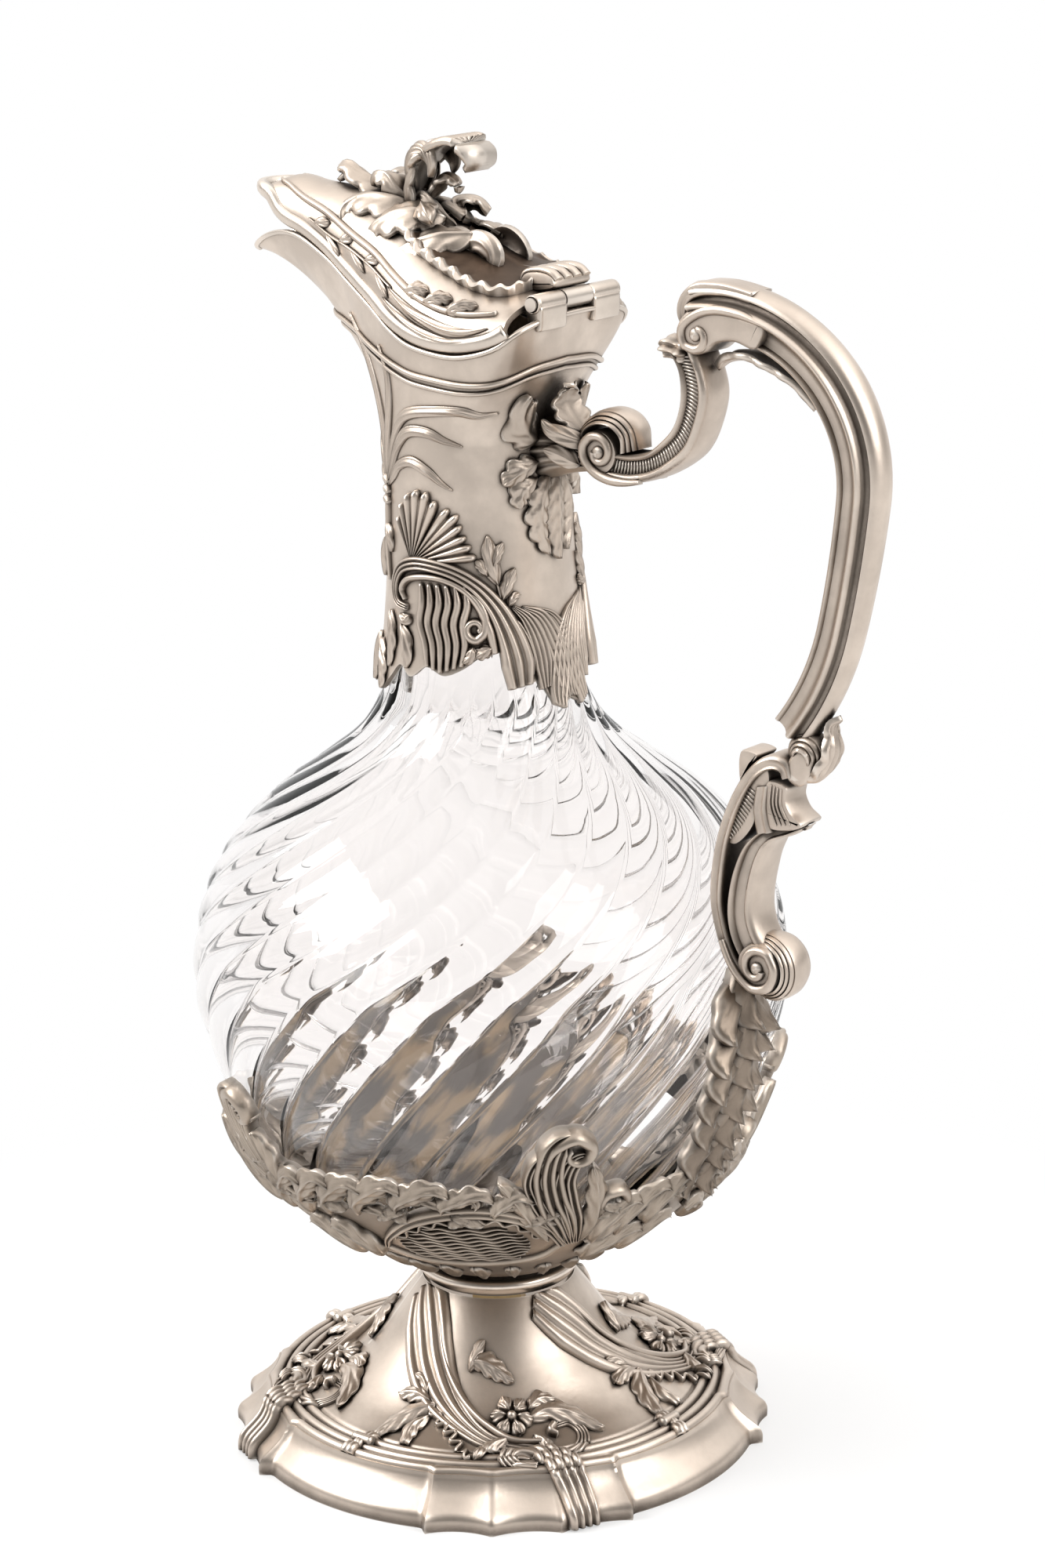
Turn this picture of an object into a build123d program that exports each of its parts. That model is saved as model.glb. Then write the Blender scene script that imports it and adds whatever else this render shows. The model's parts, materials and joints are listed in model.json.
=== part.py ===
from build123d import *
import os
from math import cos, hypot, radians, sin

# Silver-mounted crystal carafe with a hinged lid.
# Millimetres, Z up. The origin is where the axis of the foot meets the table.
# The handle is on the +X side, the spout on the -X side, and the hinge runs along Y.

os.makedirs("parts", exist_ok=True)

# Clearances
seat_gap = 0.15
running_gap = 0.35
pin_gap = 0.05
level_match = 0.001
flat_enough = 0.05

# Foot
foot_radius = 57.7
foot_rim_height = 4.5
foot_wall = 1.6
foot_ring_width = 3.2
cove_rise = 6.0
cove_run = 4.4
reed_width = 2.4
reed_rise = 1.1
reed_count = 3
stem_radius = 17.0
stem_height = 36.0
corner_half_angle = 21.5
corner_lap = 2.6
strap_thickness = 1.5
strap_width = 9.0

# Stem collar and the screw that holds the foot
collar_radius = 17.9
collar_height = 5.0
stud_radius = 3.0
stud_length = 17.0
washer_radius = 8.0
washer_thickness = 1.6
nut_width = 11.0
nut_thickness = 5.0

# Crystal
lobe_count = 28
lobe_depth = 1.8
lobe_crest = 0.22
swirl_low = 0.80
swirl_high = 1.30
swirl_knee_rise = 12.0
belly_radius = 65.1
belly_rise = 62.0
shoulder_rise = 64.0
glass_wall = 4.0
glass_floor = 9.0
glass_neck_radius = 17.8
glass_neck_top = 182.0

# Silver over the crystal
bedding = 0.7
calyx_wall = 1.3
calyx_height = 28.0
calyx_scallops = 14
calyx_scallop_radius = 7.0
mount_wall = 1.1
mount_skirt_rise = 1.0
neck_length = 69.0
relief = 1.5

# Mouth and spout
spout_reach = 61.1
spout_tip_half_width = 2.0
mouth_half_width = 21.6
rim_wire = 1.0
moulding_width = 2.4
moulding_proud = 1.0

# Hinge
hinge_x = 26.0
hinge_rise = 23.4
knuckle_radius = 2.0
knuckle_length = 8.8
pin_radius = 1.0
pin_head_radius = 1.4
pin_head_length = 0.8
bracket_depth = 3.6

# Lid
lid_wall = 1.1
lid_rim_height = 3.4
lid_rim_proud = 0.5
lid_lift = 0.6
leaf_thickness = 1.6
thumbpiece_width = 15.0

# Handle
handle_reach = 97.6
scroll_clear = 32.5
grip_depth = 10.8
grip_half_width = 5.5
scroll_half_width = 4.6
volute_half_width = 5.6
channel_depth = 1.1
channel_rim = 1.5
drop_thickness = 3.0

# Levels that follow from the sizes above
glass_base_z = stem_height + collar_height + calyx_wall + bedding + 1.0
belly_z = glass_base_z + belly_rise
glass_top_z = glass_base_z + glass_neck_top
shoulder_z = belly_z + shoulder_rise
horn_z = belly_z + shoulder_rise + neck_length - 6.0
hinge_z = horn_z + hinge_rise
neck_radius = glass_neck_radius + bedding + mount_wall
knuckle_half_span = 1.5 * knuckle_length


# Shapes that several pieces share

def moved_out(profile, distance):
    """A radius and height profile moved square to itself, outwards where distance is positive."""
    moved = []
    for index, (radius, height) in enumerate(profile):
        normals = []
        if index > 0:
            run = radius - profile[index - 1][0]
            rise = height - profile[index - 1][1]
            normals.append((rise / hypot(run, rise), -run / hypot(run, rise)))
        if index < len(profile) - 1:
            run = profile[index + 1][0] - radius
            rise = profile[index + 1][1] - height
            normals.append((rise / hypot(run, rise), -run / hypot(run, rise)))
        if len(normals) == 1:
            normals.append(normals[0])
        square = 1 + normals[0][0] * normals[1][0] + normals[0][1] * normals[1][1]
        step_out = distance * (normals[0][0] + normals[1][0]) / square
        step_up = distance * (normals[0][1] + normals[1][1]) / square
        moved.append((radius + step_out, height + step_up))
    return moved


def between(profile, low, high):
    """The stretch of a rising profile between two heights, with its ends on those heights."""
    stretch = []
    for index, (radius, height) in enumerate(profile):
        if index > 0:
            last_radius, last_height = profile[index - 1]
            for level in (low, high):
                if last_height < level - level_match and height > level + level_match:
                    share = (level - last_height) / (height - last_height)
                    stretch.append((last_radius + (radius - last_radius) * share, level))
        if low - level_match <= height <= high + level_match:
            stretch.append((radius, height))
    return stretch


def height_on(curve, x):
    """Height of a polyline of x and z points at one x."""
    points = sorted(curve)
    if x <= points[0][0]:
        return points[0][1]
    for (x0, z0), (x1, z1) in zip(points, points[1:]):
        if x <= x1:
            return z0 + (z1 - z0) * (x - x0) / (x1 - x0)
    return points[-1][1]


def turned(inner, outer):
    """A ring turned from two radius and height profiles."""
    with BuildPart(mode=Mode.PRIVATE) as ring:
        with BuildSketch(Plane.XZ):
            with BuildLine():
                Polyline(*inner, *reversed(outer), close=True)
            make_face()
        revolve(axis=Axis.Z)
    return ring.part


def arcs_round(points):
    """A closed outline of arcs, each through three of the points, with a line over a flat stretch."""
    for first in range(0, len(points) - 1, 2):
        start, middle, end = points[first], points[first + 1], points[(first + 2) % len(points)]
        turn = (middle[0] - start[0]) * (end[1] - middle[1]) - (middle[1] - start[1]) * (end[0] - middle[0])
        if abs(turn) > flat_enough:
            ThreePointArc(start, middle, end)
        else:
            Polyline(start, middle, end)
    if len(points) % 2 == 1:
        Line(points[-1], points[0])


def facing(azimuth, height=0.0):
    """A plane on the axis that faces out at an azimuth, with its own Y up."""
    out = (cos(radians(azimuth)), sin(radians(azimuth)), 0)
    along = (-sin(radians(azimuth)), cos(radians(azimuth)), 0)
    return Plane(origin=(0, 0, height), x_dir=along, z_dir=out)


def plate_on(ring, plane, outline, reach):
    """The part of a turned ring that lies behind a closed outline."""
    with BuildPart(mode=Mode.PRIVATE) as plate:
        with BuildSketch(plane):
            with BuildLine():
                Polyline(*outline, close=True)
            make_face()
        extrude(amount=reach)
        add(ring, mode=Mode.INTERSECT)
    return plate.part


# Outer surface of the crystal over its lobe crests, from the middle of its base to its lip.
# Below the belly in shares of belly radius and rise, above it in shares of what narrows.
lower_shape = [(0.277, 0), (0.481, 0.124), (0.650, 0.234), (0.733, 0.323), (0.799, 0.419)]
lower_shape += [(0.865, 0.548), (0.949, 0.774), (1, 1)]
upper_shape = [(0.983, 0.19), (0.905, 0.375), (0.763, 0.531), (0.590, 0.656), (0.381, 0.766)]
upper_shape += [(0.199, 0.875), (0.095, 1.0), (0.047, 1.156), (0, 1.594)]
glass_profile = [(0, glass_base_z)]
for share_out, share_up in lower_shape:
    glass_profile.append((share_out * belly_radius, glass_base_z + share_up * belly_rise))
for share_out, share_up in upper_shape:
    level_radius = glass_neck_radius + share_out * (belly_radius - glass_neck_radius)
    glass_profile.append((level_radius, belly_z + share_up * shoulder_rise))
glass_profile.append((glass_neck_radius, glass_top_z))

# Outer surface of the calyx and of the neck mount
calyx_profile = moved_out(glass_profile, bedding + calyx_wall)
skirt_z = shoulder_z + mount_skirt_rise
calyx_top_z = glass_base_z + calyx_height
mount_profile = between(moved_out(glass_profile, bedding + mount_wall), skirt_z, glass_top_z)
mount_profile.append((neck_radius, horn_z))

# Mouth edge in side view: the lip at the spout, the low middle and the rise to the hinge
front_edge = [(1.02, 27.4), (0.926, 30.4), (0.794, 32.5), (0.689, 32.6), (0.542, 29.0)]
front_edge += [(0.393, 24.5), (0.25, 20.1), (0.123, 16.1), (0, 13.6)]
back_edge = [(0.342, 12.5), (0.608, 13.1), (0.846, 15.1), (0.96, 17.6), (1.06, 20.6)]
mouth_edge = [(-spout_reach * share, horn_z + rise) for share, rise in front_edge]
mouth_edge += [(hinge_x * share, horn_z + rise) for share, rise in back_edge]
far_back = hinge_x + 3 * knuckle_radius
mouth_edge.append((far_back, mouth_edge[-1][1]))

# Half width of the mouth seen from above, from the spout tip to the hinge
front_widths = [(1.0, 0.0), (0.926, 0.095), (0.794, 0.23), (0.689, 0.315), (0.542, 0.415)]
front_widths += [(0.393, 0.56), (0.25, 0.71), (0.123, 0.855), (0, 0.96)]
back_widths = [(0.342, 1.0), (0.608, 1.0), (0.846, 0.95), (0.977, 0.83)]
spread = mouth_half_width - spout_tip_half_width
mouth_widths = []
for share, width in front_widths:
    mouth_widths.append((-spout_reach * share, spout_tip_half_width + spread * width))
for share, width in back_widths:
    mouth_widths.append((hinge_x * share, spout_tip_half_width + spread * width))

# Bottom of the spout trough in side view
trough_shape = [(1.0, 26.0), (0.926, 25.2), (0.77, 25.2), (0.692, 23.3), (0.60, 18.0)]
trough_shape += [(0.525, 9.5), (0.42, 4.0), (0.33, 0.8), (0.16, -1.5)]
trough_bottom = [(-spout_reach * share, horn_z + rise) for share, rise in trough_shape]

# Outline of the flared neck from above at four heights: rise, back reach, half width, fullness
flare_levels = [(-0.5, 0.0, 0.0, 2.0), (7.0, 0.8, 0.4, 2.2), (13.5, 3.6, 1.0, 2.6)]
flare_levels += [(19.5, 6.7, 1.8, 3.0), (34.0, 8.2, 2.0, 3.0)]
flare_corners = 24
above_all = horn_z + 60.0


def section_curve(back, front, half_width, fullness):
    """Corner points of the neck's outline from above, rounder where fullness is near 2."""
    points = []
    for corner in range(flare_corners):
        angle = radians(360 * (corner + 0.5) / flare_corners)
        along = abs(cos(angle)) ** (2 / fullness)
        across = abs(sin(angle)) ** (2 / fullness)
        reach = back if cos(angle) > 0 else -front
        points.append((reach * along, half_width * across * (1 if sin(angle) > 0 else -1)))
    return points


def horn_space(grow):
    """The flared neck and the spout trough as one full shape, moved out by grow."""
    with BuildPart(mode=Mode.PRIVATE) as neck_space:
        for rise, back, wide, fullness in flare_levels:
            level_back = neck_radius + back + grow
            level_wide = neck_radius + wide + grow
            with BuildSketch(Plane.XY.offset(horn_z + rise)):
                front = neck_radius + min(wide, back) + grow
                Polygon(*section_curve(level_back, front, level_wide, fullness), align=None)
        loft(ruled=True)
    with BuildPart(mode=Mode.PRIVATE) as trough_space:
        for x, bottom in sorted(trough_bottom):
            half = height_on(mouth_widths, x) + grow
            floor = bottom - grow
            reach = x - grow if x == min(trough_bottom)[0] and grow > 0 else x
            with BuildSketch(Plane.YZ.offset(reach)):
                right = [(half, floor + half), (0.86 * half, floor + 0.45 * half)]
                right.append((0.5 * half, floor + 0.12 * half))
                left = [(-y, z) for y, z in reversed(right)]
                Polygon((half, above_all), *right, (0, floor), *left, (-half, above_all), align=None)
        loft(ruled=True)
    return neck_space.part + trough_space.part


def side_slab(low, high, half_width):
    """A slab across Y between two side view curves with the same x range."""
    with BuildPart(mode=Mode.PRIVATE) as slab:
        with BuildSketch(Plane.XZ):
            with BuildLine():
                Polyline(*low, *reversed(high), close=True)
            make_face()
        extrude(amount=half_width, both=True)
    return slab.part


def raised(curve, rise):
    return [(x, z + rise) for x, z in curve]


def flat_curve(curve, height):
    return [(x, height) for x, z in curve]


wide_enough = 2 * mouth_half_width
far_front = -spout_reach - 5.0
mouth_edge.insert(0, (far_front, mouth_edge[0][1] - 1.0))
mouth_edge.append((far_back + 10, mouth_edge[-1][1]))
horn_outer = horn_space(0)
horn_inner = horn_space(-mount_wall)

# Foot: a hollow raised shell with a cove, three reeds and a trumpet stem

reed_start = foot_radius - 1.5 - cove_run
cove_top_z = foot_rim_height + cove_rise
foot_outside = [(foot_radius, 0), (foot_radius, 0.5 * foot_rim_height)]
foot_outside.append((foot_radius - 1.5, foot_rim_height))
foot_outside.append((reed_start + 0.35 * cove_run, foot_rim_height + 0.4 * cove_rise))
foot_outside.append((reed_start, cove_top_z))
for reed in range(reed_count):
    reed_outer = reed_start - reed * reed_width
    foot_outside.append((reed_outer - 0.5 * reed_width, cove_top_z + reed_rise + 0.35 * reed))
    foot_outside.append((reed_outer - reed_width, cove_top_z + 0.35 * (reed + 1)))
field_radius = reed_start - reed_count * reed_width
field_z = cove_top_z + 0.35 * reed_count + 0.6
trumpet_run = field_radius - stem_radius
trumpet_rise = stem_height - field_z
foot_surface = [(field_radius - 0.16 * trumpet_run, field_z + 0.08 * trumpet_rise)]
foot_surface.append((field_radius - 0.44 * trumpet_run, field_z + 0.30 * trumpet_rise))
foot_surface.append((field_radius - 0.74 * trumpet_run, field_z + 0.63 * trumpet_rise))
foot_surface.append((field_radius - 0.92 * trumpet_run, field_z + 0.85 * trumpet_rise))
foot_surface.append((stem_radius, stem_height))
foot_outside += foot_surface
foot_inside = [(foot_radius - foot_ring_width, 0), (foot_radius - foot_ring_width - 1, foot_rim_height)]
foot_inside.append((reed_start - 1.2 * foot_wall, cove_top_z - foot_wall))
foot_inside += moved_out(foot_surface, -foot_wall)[:-1]
foot_inside.append((stem_radius - 1.6 * foot_wall, stem_height - foot_wall))
foot_inside.append((stud_radius + pin_gap, stem_height - foot_wall))
foot_inside.append((stud_radius + pin_gap, stem_height))

with BuildPart() as foot:
    add(turned(foot_inside, foot_outside))
foot.part.label = "foot"
export_step(foot.part, "parts/foot.step")

# Foot corners: a cluster of three cusps over the rim, with a strap that climbs to the stem

plain_rim = [(foot_radius, 0), (foot_radius, 0.5 * foot_rim_height)]
plain_rim += foot_outside[2:5]
reed_cover = [(reed_start - 0.5 * reed_width, cove_top_z + reed_rise)]
reed_cover.append((field_radius, cove_top_z + reed_rise + 0.35 * reed_count))
casting_inside = plain_rim + reed_cover + foot_surface[1::2] + foot_surface[-1:]
casting_outside = moved_out(casting_inside, strap_thickness)
casting_outside[0] = (foot_radius + corner_lap, 0)
casting_outside[1] = (foot_radius + corner_lap, 0.5 * foot_rim_height)
casting_outside[2] = (foot_radius + 0.4 * corner_lap, foot_rim_height + strap_thickness)
casting_ring = turned(casting_inside, casting_outside)


def polar(radius, azimuth):
    return (radius * cos(radians(azimuth)), radius * sin(radians(azimuth)))


def corner_outline(middle):
    """Plan of one corner: three cusps on the rim, then the strap curving up to the stem."""
    spread_out = corner_half_angle
    cusp = foot_radius + corner_lap
    notch = foot_radius + 0.35 * corner_lap
    strap_half = strap_width / 2
    points = [polar(cusp - 1.2, middle - spread_out), polar(notch, middle - 0.62 * spread_out)]
    points += [polar(cusp - 0.3, middle - 0.40 * spread_out), polar(notch + 0.6, middle - 0.2 * spread_out)]
    points += [polar(cusp, middle), polar(notch + 0.6, middle + 0.2 * spread_out)]
    points += [polar(cusp - 0.3, middle + 0.40 * spread_out), polar(notch, middle + 0.62 * spread_out)]
    points += [polar(cusp - 1.2, middle + spread_out), polar(reed_start, middle + 0.9 * spread_out)]
    for radius, lean in ((field_radius - 1, 2), (field_radius - 9, 10), (stem_radius + 7, 24)):
        points.append(polar(radius, middle + lean + 57.3 * strap_half / radius))
    for radius, lean in ((stem_radius + 7, 24), (field_radius - 9, 10), (field_radius - 1, 2)):
        points.append(polar(radius, middle + lean - 57.3 * strap_half / radius))
    points.append(polar(reed_start, middle - 0.9 * spread_out))
    return points


with BuildPart() as foot_corner_scrolls:
    with BuildSketch(Plane.XY):
        for corner in range(4):
            Polygon(*corner_outline(45 + 90 * corner), align=None)
    extrude(amount=stem_height)
    add(casting_ring, mode=Mode.INTERSECT)
foot_corner_scrolls.part.label = "foot_corner_scrolls"
export_step(foot_corner_scrolls.part, "parts/foot_corner_scrolls.step")

# Stem collar between the foot and the calyx

collar_waist = 0.86 * collar_radius
collar_top_z = stem_height + collar_height
with BuildPart() as stem_collar:
    with BuildSketch(Plane.XZ):
        with BuildLine():
            Polyline(
                (stud_radius + pin_gap, stem_height),
                (collar_waist, stem_height),
                (collar_radius, stem_height + 0.3 * collar_height),
                (collar_radius, stem_height + 0.6 * collar_height),
                (collar_waist, collar_top_z),
                (stud_radius + pin_gap, collar_top_z),
                close=True,
            )
        make_face()
    revolve(axis=Axis.Z)
stem_collar.part.label = "stem_collar"
export_step(stem_collar.part, "parts/stem_collar.step")

# Screw that draws the foot up against the calyx: stud, washer and nut inside the stem

stud_low_z = collar_top_z - stud_length
with BuildPart() as fixing_stud:
    with BuildSketch(Plane.XY.offset(stud_low_z)):
        Circle(stud_radius)
    extrude(amount=stud_length)
    chamfer(fixing_stud.faces().sort_by(Axis.Z)[0].edges(), 0.2 * stud_radius)
fixing_stud.part.label = "fixing_stud"
export_step(fixing_stud.part, "parts/fixing_stud.step")

washer_top_z = stem_height - foot_wall
with BuildPart() as fixing_washer:
    with BuildSketch(Plane.XY.offset(washer_top_z - washer_thickness)):
        Circle(washer_radius)
        Circle(stud_radius + pin_gap, mode=Mode.SUBTRACT)
    extrude(amount=washer_thickness)
fixing_washer.part.label = "fixing_washer"
export_step(fixing_washer.part, "parts/fixing_washer.step")

with BuildPart() as fixing_nut:
    with BuildSketch(Plane.XY.offset(washer_top_z - washer_thickness - nut_thickness)):
        RegularPolygon(nut_width / 2, 6, major_radius=False)
        Circle(stud_radius + pin_gap, mode=Mode.SUBTRACT)
    extrude(amount=nut_thickness)
fixing_nut.part.label = "fixing_nut"
export_step(fixing_nut.part, "parts/fixing_nut.step")

# Crystal: a swirled and lobed body with a plain base and neck, hollow inside

lobe_pitch = 360 / lobe_count
swirl_low_z = glass_base_z + 0.234 * belly_rise
swirl_top_z = belly_z + shoulder_rise


swirl_knee_z = belly_z + swirl_knee_rise


def swirl(z):
    """How far the lobes have turned at a height, in degrees; they turn faster on the shoulder."""
    low_part = min(z, swirl_knee_z) - swirl_low_z
    return swirl_low * low_part + swirl_high * max(0.0, z - swirl_knee_z)


def lobe_ring(radius, z):
    """Corner points of one level: for each lobe a valley and the two sides of its crest."""
    rise = (z - swirl_low_z) / (swirl_top_z - swirl_low_z)
    depth = lobe_depth * min(1.0, 0.25 + 4.5 * rise, 0.3 + 2.2 * (1 - rise))
    points = []
    for lobe in range(lobe_count):
        for place, inward in ((-0.5, depth), (-lobe_crest, 0), (lobe_crest, 0)):
            angle = radians(swirl(z) + (lobe + place) * lobe_pitch)
            points.append((
                (radius - inward) * cos(angle),
                (radius - inward) * sin(angle),
                z,
            ))
    return points


swirl_rows = [lobe_ring(r, z) for r, z in between(glass_profile, swirl_low_z - 0.01, swirl_top_z + 0.01)]
swirl_faces = [Face(Wire.make_polygon(swirl_rows[0])), Face(Wire.make_polygon(swirl_rows[-1]))]
for row, next_row in zip(swirl_rows, swirl_rows[1:]):
    for index in range(len(row)):
        after = (index + 1) % len(row)
        swirl_faces.append(Face(Wire.make_polygon([row[index], row[after], next_row[index]])))
        swirl_faces.append(Face(Wire.make_polygon([row[after], next_row[after], next_row[index]])))
swirl_body = Solid(Shell(swirl_faces))

swirl_base_radius = swirl_rows[0][1]
base_profile = [point for point in glass_profile if point[1] < swirl_low_z - 0.5]
base_end = hypot(swirl_base_radius[0], swirl_base_radius[1]) * cos(radians(lobe_crest * lobe_pitch))
base_profile.append((base_end, swirl_rows[0][0][2]))
neck_start = hypot(swirl_rows[-1][1][0], swirl_rows[-1][1][1]) - 0.5 * lobe_depth
neck_profile = [(neck_start, swirl_rows[-1][0][2])]
neck_profile += [point for point in glass_profile if point[1] > swirl_top_z + 0.5]
cavity_floor_z = glass_base_z + glass_floor
cavity_guide = glass_profile[:12:2] + glass_profile[12:]
cavity_profile = between(moved_out(cavity_guide, -glass_wall), cavity_floor_z, glass_top_z)
cavity_profile[-1] = (cavity_profile[-1][0], glass_top_z)

with BuildPart() as crystal_body:
    add(swirl_body)
    with BuildSketch(Plane.XZ):
        with BuildLine():
            Polyline(*base_profile, (0, base_profile[-1][1]), close=True)
        make_face()
        with BuildLine():
            Polyline((0, neck_profile[0][1]), *neck_profile, (0, glass_top_z), close=True)
        make_face()
    revolve(axis=Axis.Z)
    with BuildSketch(Plane.XZ):
        with BuildLine():
            Polyline((0, cavity_floor_z), *cavity_profile, (0, glass_top_z), close=True)
        make_face()
    revolve(axis=Axis.Z, mode=Mode.SUBTRACT)
crystal_body.part.label = "crystal_body"
export_step(crystal_body.part, "parts/crystal_body.step")

# Plaster that beds the crystal in the calyx and in the neck mount

bed_low_top_z = swirl_low_z - 1.0
bed_face = moved_out(glass_profile, bedding)
with BuildPart() as calyx_bedding:
    add(turned(
        between(glass_profile, glass_base_z, bed_low_top_z),
        between(bed_face, glass_base_z - bedding, bed_low_top_z),
    ))
calyx_bedding.part.label = "calyx_bedding"
export_step(calyx_bedding.part, "parts/calyx_bedding.step")

bed_high_low_z = swirl_top_z + 1.0
with BuildPart() as neck_bedding:
    add(turned(
        between(glass_profile, bed_high_low_z, glass_top_z),
        between(bed_face, bed_high_low_z, glass_top_z),
    ))
neck_bedding.part.label = "neck_bedding"
export_step(neck_bedding.part, "parts/neck_bedding.step")

# Calyx: the silver cup under the crystal, with a scalloped edge

calyx_bottom_z = glass_base_z - bedding - calyx_wall
calyx_cup_out = between(calyx_profile, calyx_bottom_z, calyx_top_z)
calyx_cup_in = between(bed_face, glass_base_z - bedding, calyx_top_z)
calyx_edge_radius = calyx_cup_out[-1][0]
with BuildPart() as calyx:
    add(turned(calyx_cup_in, calyx_cup_out))
    with BuildSketch(Plane.XY.offset(collar_top_z)):
        Circle(0.97 * stem_radius)
    extrude(amount=calyx_bottom_z - collar_top_z)
    for scallop in range(calyx_scallops):
        azimuth = 360 * (scallop + 0.5) / calyx_scallops
        with BuildSketch(facing(azimuth, calyx_top_z + 0.72 * calyx_scallop_radius)):
            RegularPolygon(calyx_scallop_radius, 8)
        extrude(amount=2 * calyx_edge_radius, mode=Mode.SUBTRACT)
calyx.part.label = "calyx"
export_step(calyx.part, "parts/calyx.step")

# Four oval cartouches on the calyx

cartouche_ring = turned(
    between(calyx_profile, calyx_bottom_z + 1.0, calyx_top_z - 2.5),
    between(moved_out(calyx_profile, relief), calyx_bottom_z + 0.2, calyx_top_z - 2.5),
)
cartouche_z = 0.5 * (calyx_bottom_z + calyx_top_z) + 5.0
cartouche_outline = [(-17, 0), (-11, 5.5), (-4, 5.0), (0, 7.0), (4, 5.0), (11, 5.5), (17, 0)]
cartouche_outline += [(12, -5), (5, -7), (0, -8.5), (-5, -7), (-12, -5)]
with BuildPart() as calyx_cartouches:
    for azimuth in (-123, -57, 57, 123):
        plane = facing(azimuth, cartouche_z)
        add(plate_on(cartouche_ring, plane, cartouche_outline, 2 * belly_radius))
calyx_cartouches.part.label = "calyx_cartouches"
export_step(calyx_cartouches.part, "parts/calyx_cartouches.step")

# Four plumes that rise from the calyx edge on to the crystal

glass_skin = moved_out(glass_profile, seat_gap)
plume_low_z = calyx_top_z + 0.05
plume_ring = turned(
    between(glass_skin, plume_low_z, belly_z),
    between(moved_out(glass_profile, seat_gap + bedding + calyx_wall), plume_low_z, belly_z),
)
plume_outline = [(-7.5, -3), (-8, 2.5), (-4.8, 6), (-4.6, 12), (-0.5, 18.5), (3.6, 13), (4.8, 6)]
plume_outline += [(8, 2.5), (7.5, -3), (0, -4)]
with BuildPart() as calyx_plumes:
    for azimuth in (-118, -36, 36, 118):
        plane = facing(azimuth, calyx_top_z)
        add(plate_on(plume_ring, plane, plume_outline, 2 * belly_radius))
calyx_plumes.part.label = "calyx_plumes"
export_step(calyx_plumes.part, "parts/calyx_plumes.step")

# Neck mount: skirt, straight neck and the flared horn with its spout, one raised shell

mount_inside = between(bed_face, skirt_z, glass_top_z)
mount_inside.append((neck_radius - mount_wall, horn_z))
edge_below_wire = raised(mouth_edge, -rim_wire)
horn_cut = side_slab(edge_below_wire, flat_curve(mouth_edge, above_all + 20), wide_enough)
horn_below_edge = horn_outer - horn_cut
skirt_lobes = 9
skirt_notch = 5.5
with BuildPart() as neck_mount:
    add(horn_outer)
    with BuildSketch(Plane.XZ):
        with BuildLine():
            Polyline((0, skirt_z), *mount_profile, (0, horn_z), close=True)
        make_face()
    revolve(axis=Axis.Z)
    add(horn_inner, mode=Mode.SUBTRACT)
    with BuildSketch(Plane.XZ):
        with BuildLine():
            Polyline((0, skirt_z), *mount_inside, (0, horn_z), close=True)
        make_face()
    revolve(axis=Axis.Z, mode=Mode.SUBTRACT)
    add(horn_cut, mode=Mode.SUBTRACT)
    for lobe in range(skirt_lobes):
        with BuildSketch(facing(360 * lobe / skirt_lobes, skirt_z - 1.0)):
            RegularPolygon(skirt_notch, 6)
        extrude(amount=belly_radius, mode=Mode.SUBTRACT)
neck_mount.part.label = "neck_mount"
export_step(neck_mount.part, "parts/neck_mount.step")

# Wires round the mouth: the edge wire and the double moulding below it

rim_outer = horn_space(0.4)
rim_band = side_slab(edge_below_wire, mouth_edge, wide_enough)
rim_inner = horn_space(-mount_wall - 0.3)
with BuildPart() as mouth_rim:
    add(rim_outer)
    add(rim_inner, mode=Mode.SUBTRACT)
    add(rim_band, mode=Mode.INTERSECT)
mouth_rim.part.label = "mouth_rim"
export_step(mouth_rim.part, "parts/mouth_rim.step")

moulding_back_x = neck_radius + 0.8
moulding_front_x = -neck_radius - 10.5
moulding_line = [(moulding_front_x, 19.0), (-neck_radius, 11.5), (-8, 7.6), (0, 6.6), (9, 5.9)]
moulding_line += [(16, 6.8), (moulding_back_x, 9.6)]
moulding_curve = [(x, horn_z + rise) for x, rise in moulding_line]
moulding_band = side_slab(
    raised(moulding_curve, -moulding_width / 2),
    raised(moulding_curve, moulding_width / 2),
    wide_enough,
)
moulding_outer = horn_space(moulding_proud)
with BuildPart() as mouth_moulding:
    add(moulding_outer)
    add(horn_outer, mode=Mode.SUBTRACT)
    add(moulding_band, mode=Mode.INTERSECT)
mouth_moulding.part.label = "mouth_moulding"
export_step(mouth_moulding.part, "parts/mouth_moulding.step")

# Ornament on the neck mount: a cartouche on each side and a spray of leaves under the spout

neck_relief_ring = turned(
    mount_profile,
    between(moved_out(mount_profile, relief), mount_profile[0][1], horn_z - 0.5),
)
side_cartouche = [(-13, 1), (-15, 9), (-9, 15), (-9.5, 24), (-4, 33), (3, 38), (6, 31), (10, 24)]
side_cartouche += [(9, 15), (15, 9), (14, 1), (6, 3.5), (0, 1), (-6, 3.5)]
with BuildPart() as neck_cartouches:
    for azimuth in (-76, 76):
        plane = facing(azimuth, skirt_z + 5.0)
        add(plate_on(neck_relief_ring, plane, side_cartouche, 2 * belly_radius))
neck_cartouches.part.label = "neck_cartouches"
export_step(neck_cartouches.part, "parts/neck_cartouches.step")

spray = [(-2.2, 0), (-3.4, 10), (-9, 19), (-8.5, 24), (-4, 17), (-2.4, 27), (0, 31), (2.4, 27)]
spray += [(4, 17), (8.5, 24), (9, 19), (3.4, 10), (2.2, 0)]
with BuildPart() as spout_spray:
    add(plate_on(neck_relief_ring, facing(180, horn_z - 34.0), spray, 2 * neck_radius))
spout_spray.part.label = "spout_spray"
export_step(spout_spray.part, "parts/spout_spray.step")

# Hinge: a bracket with two knuckles on the mount, one knuckle on the lid, and the pin

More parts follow.
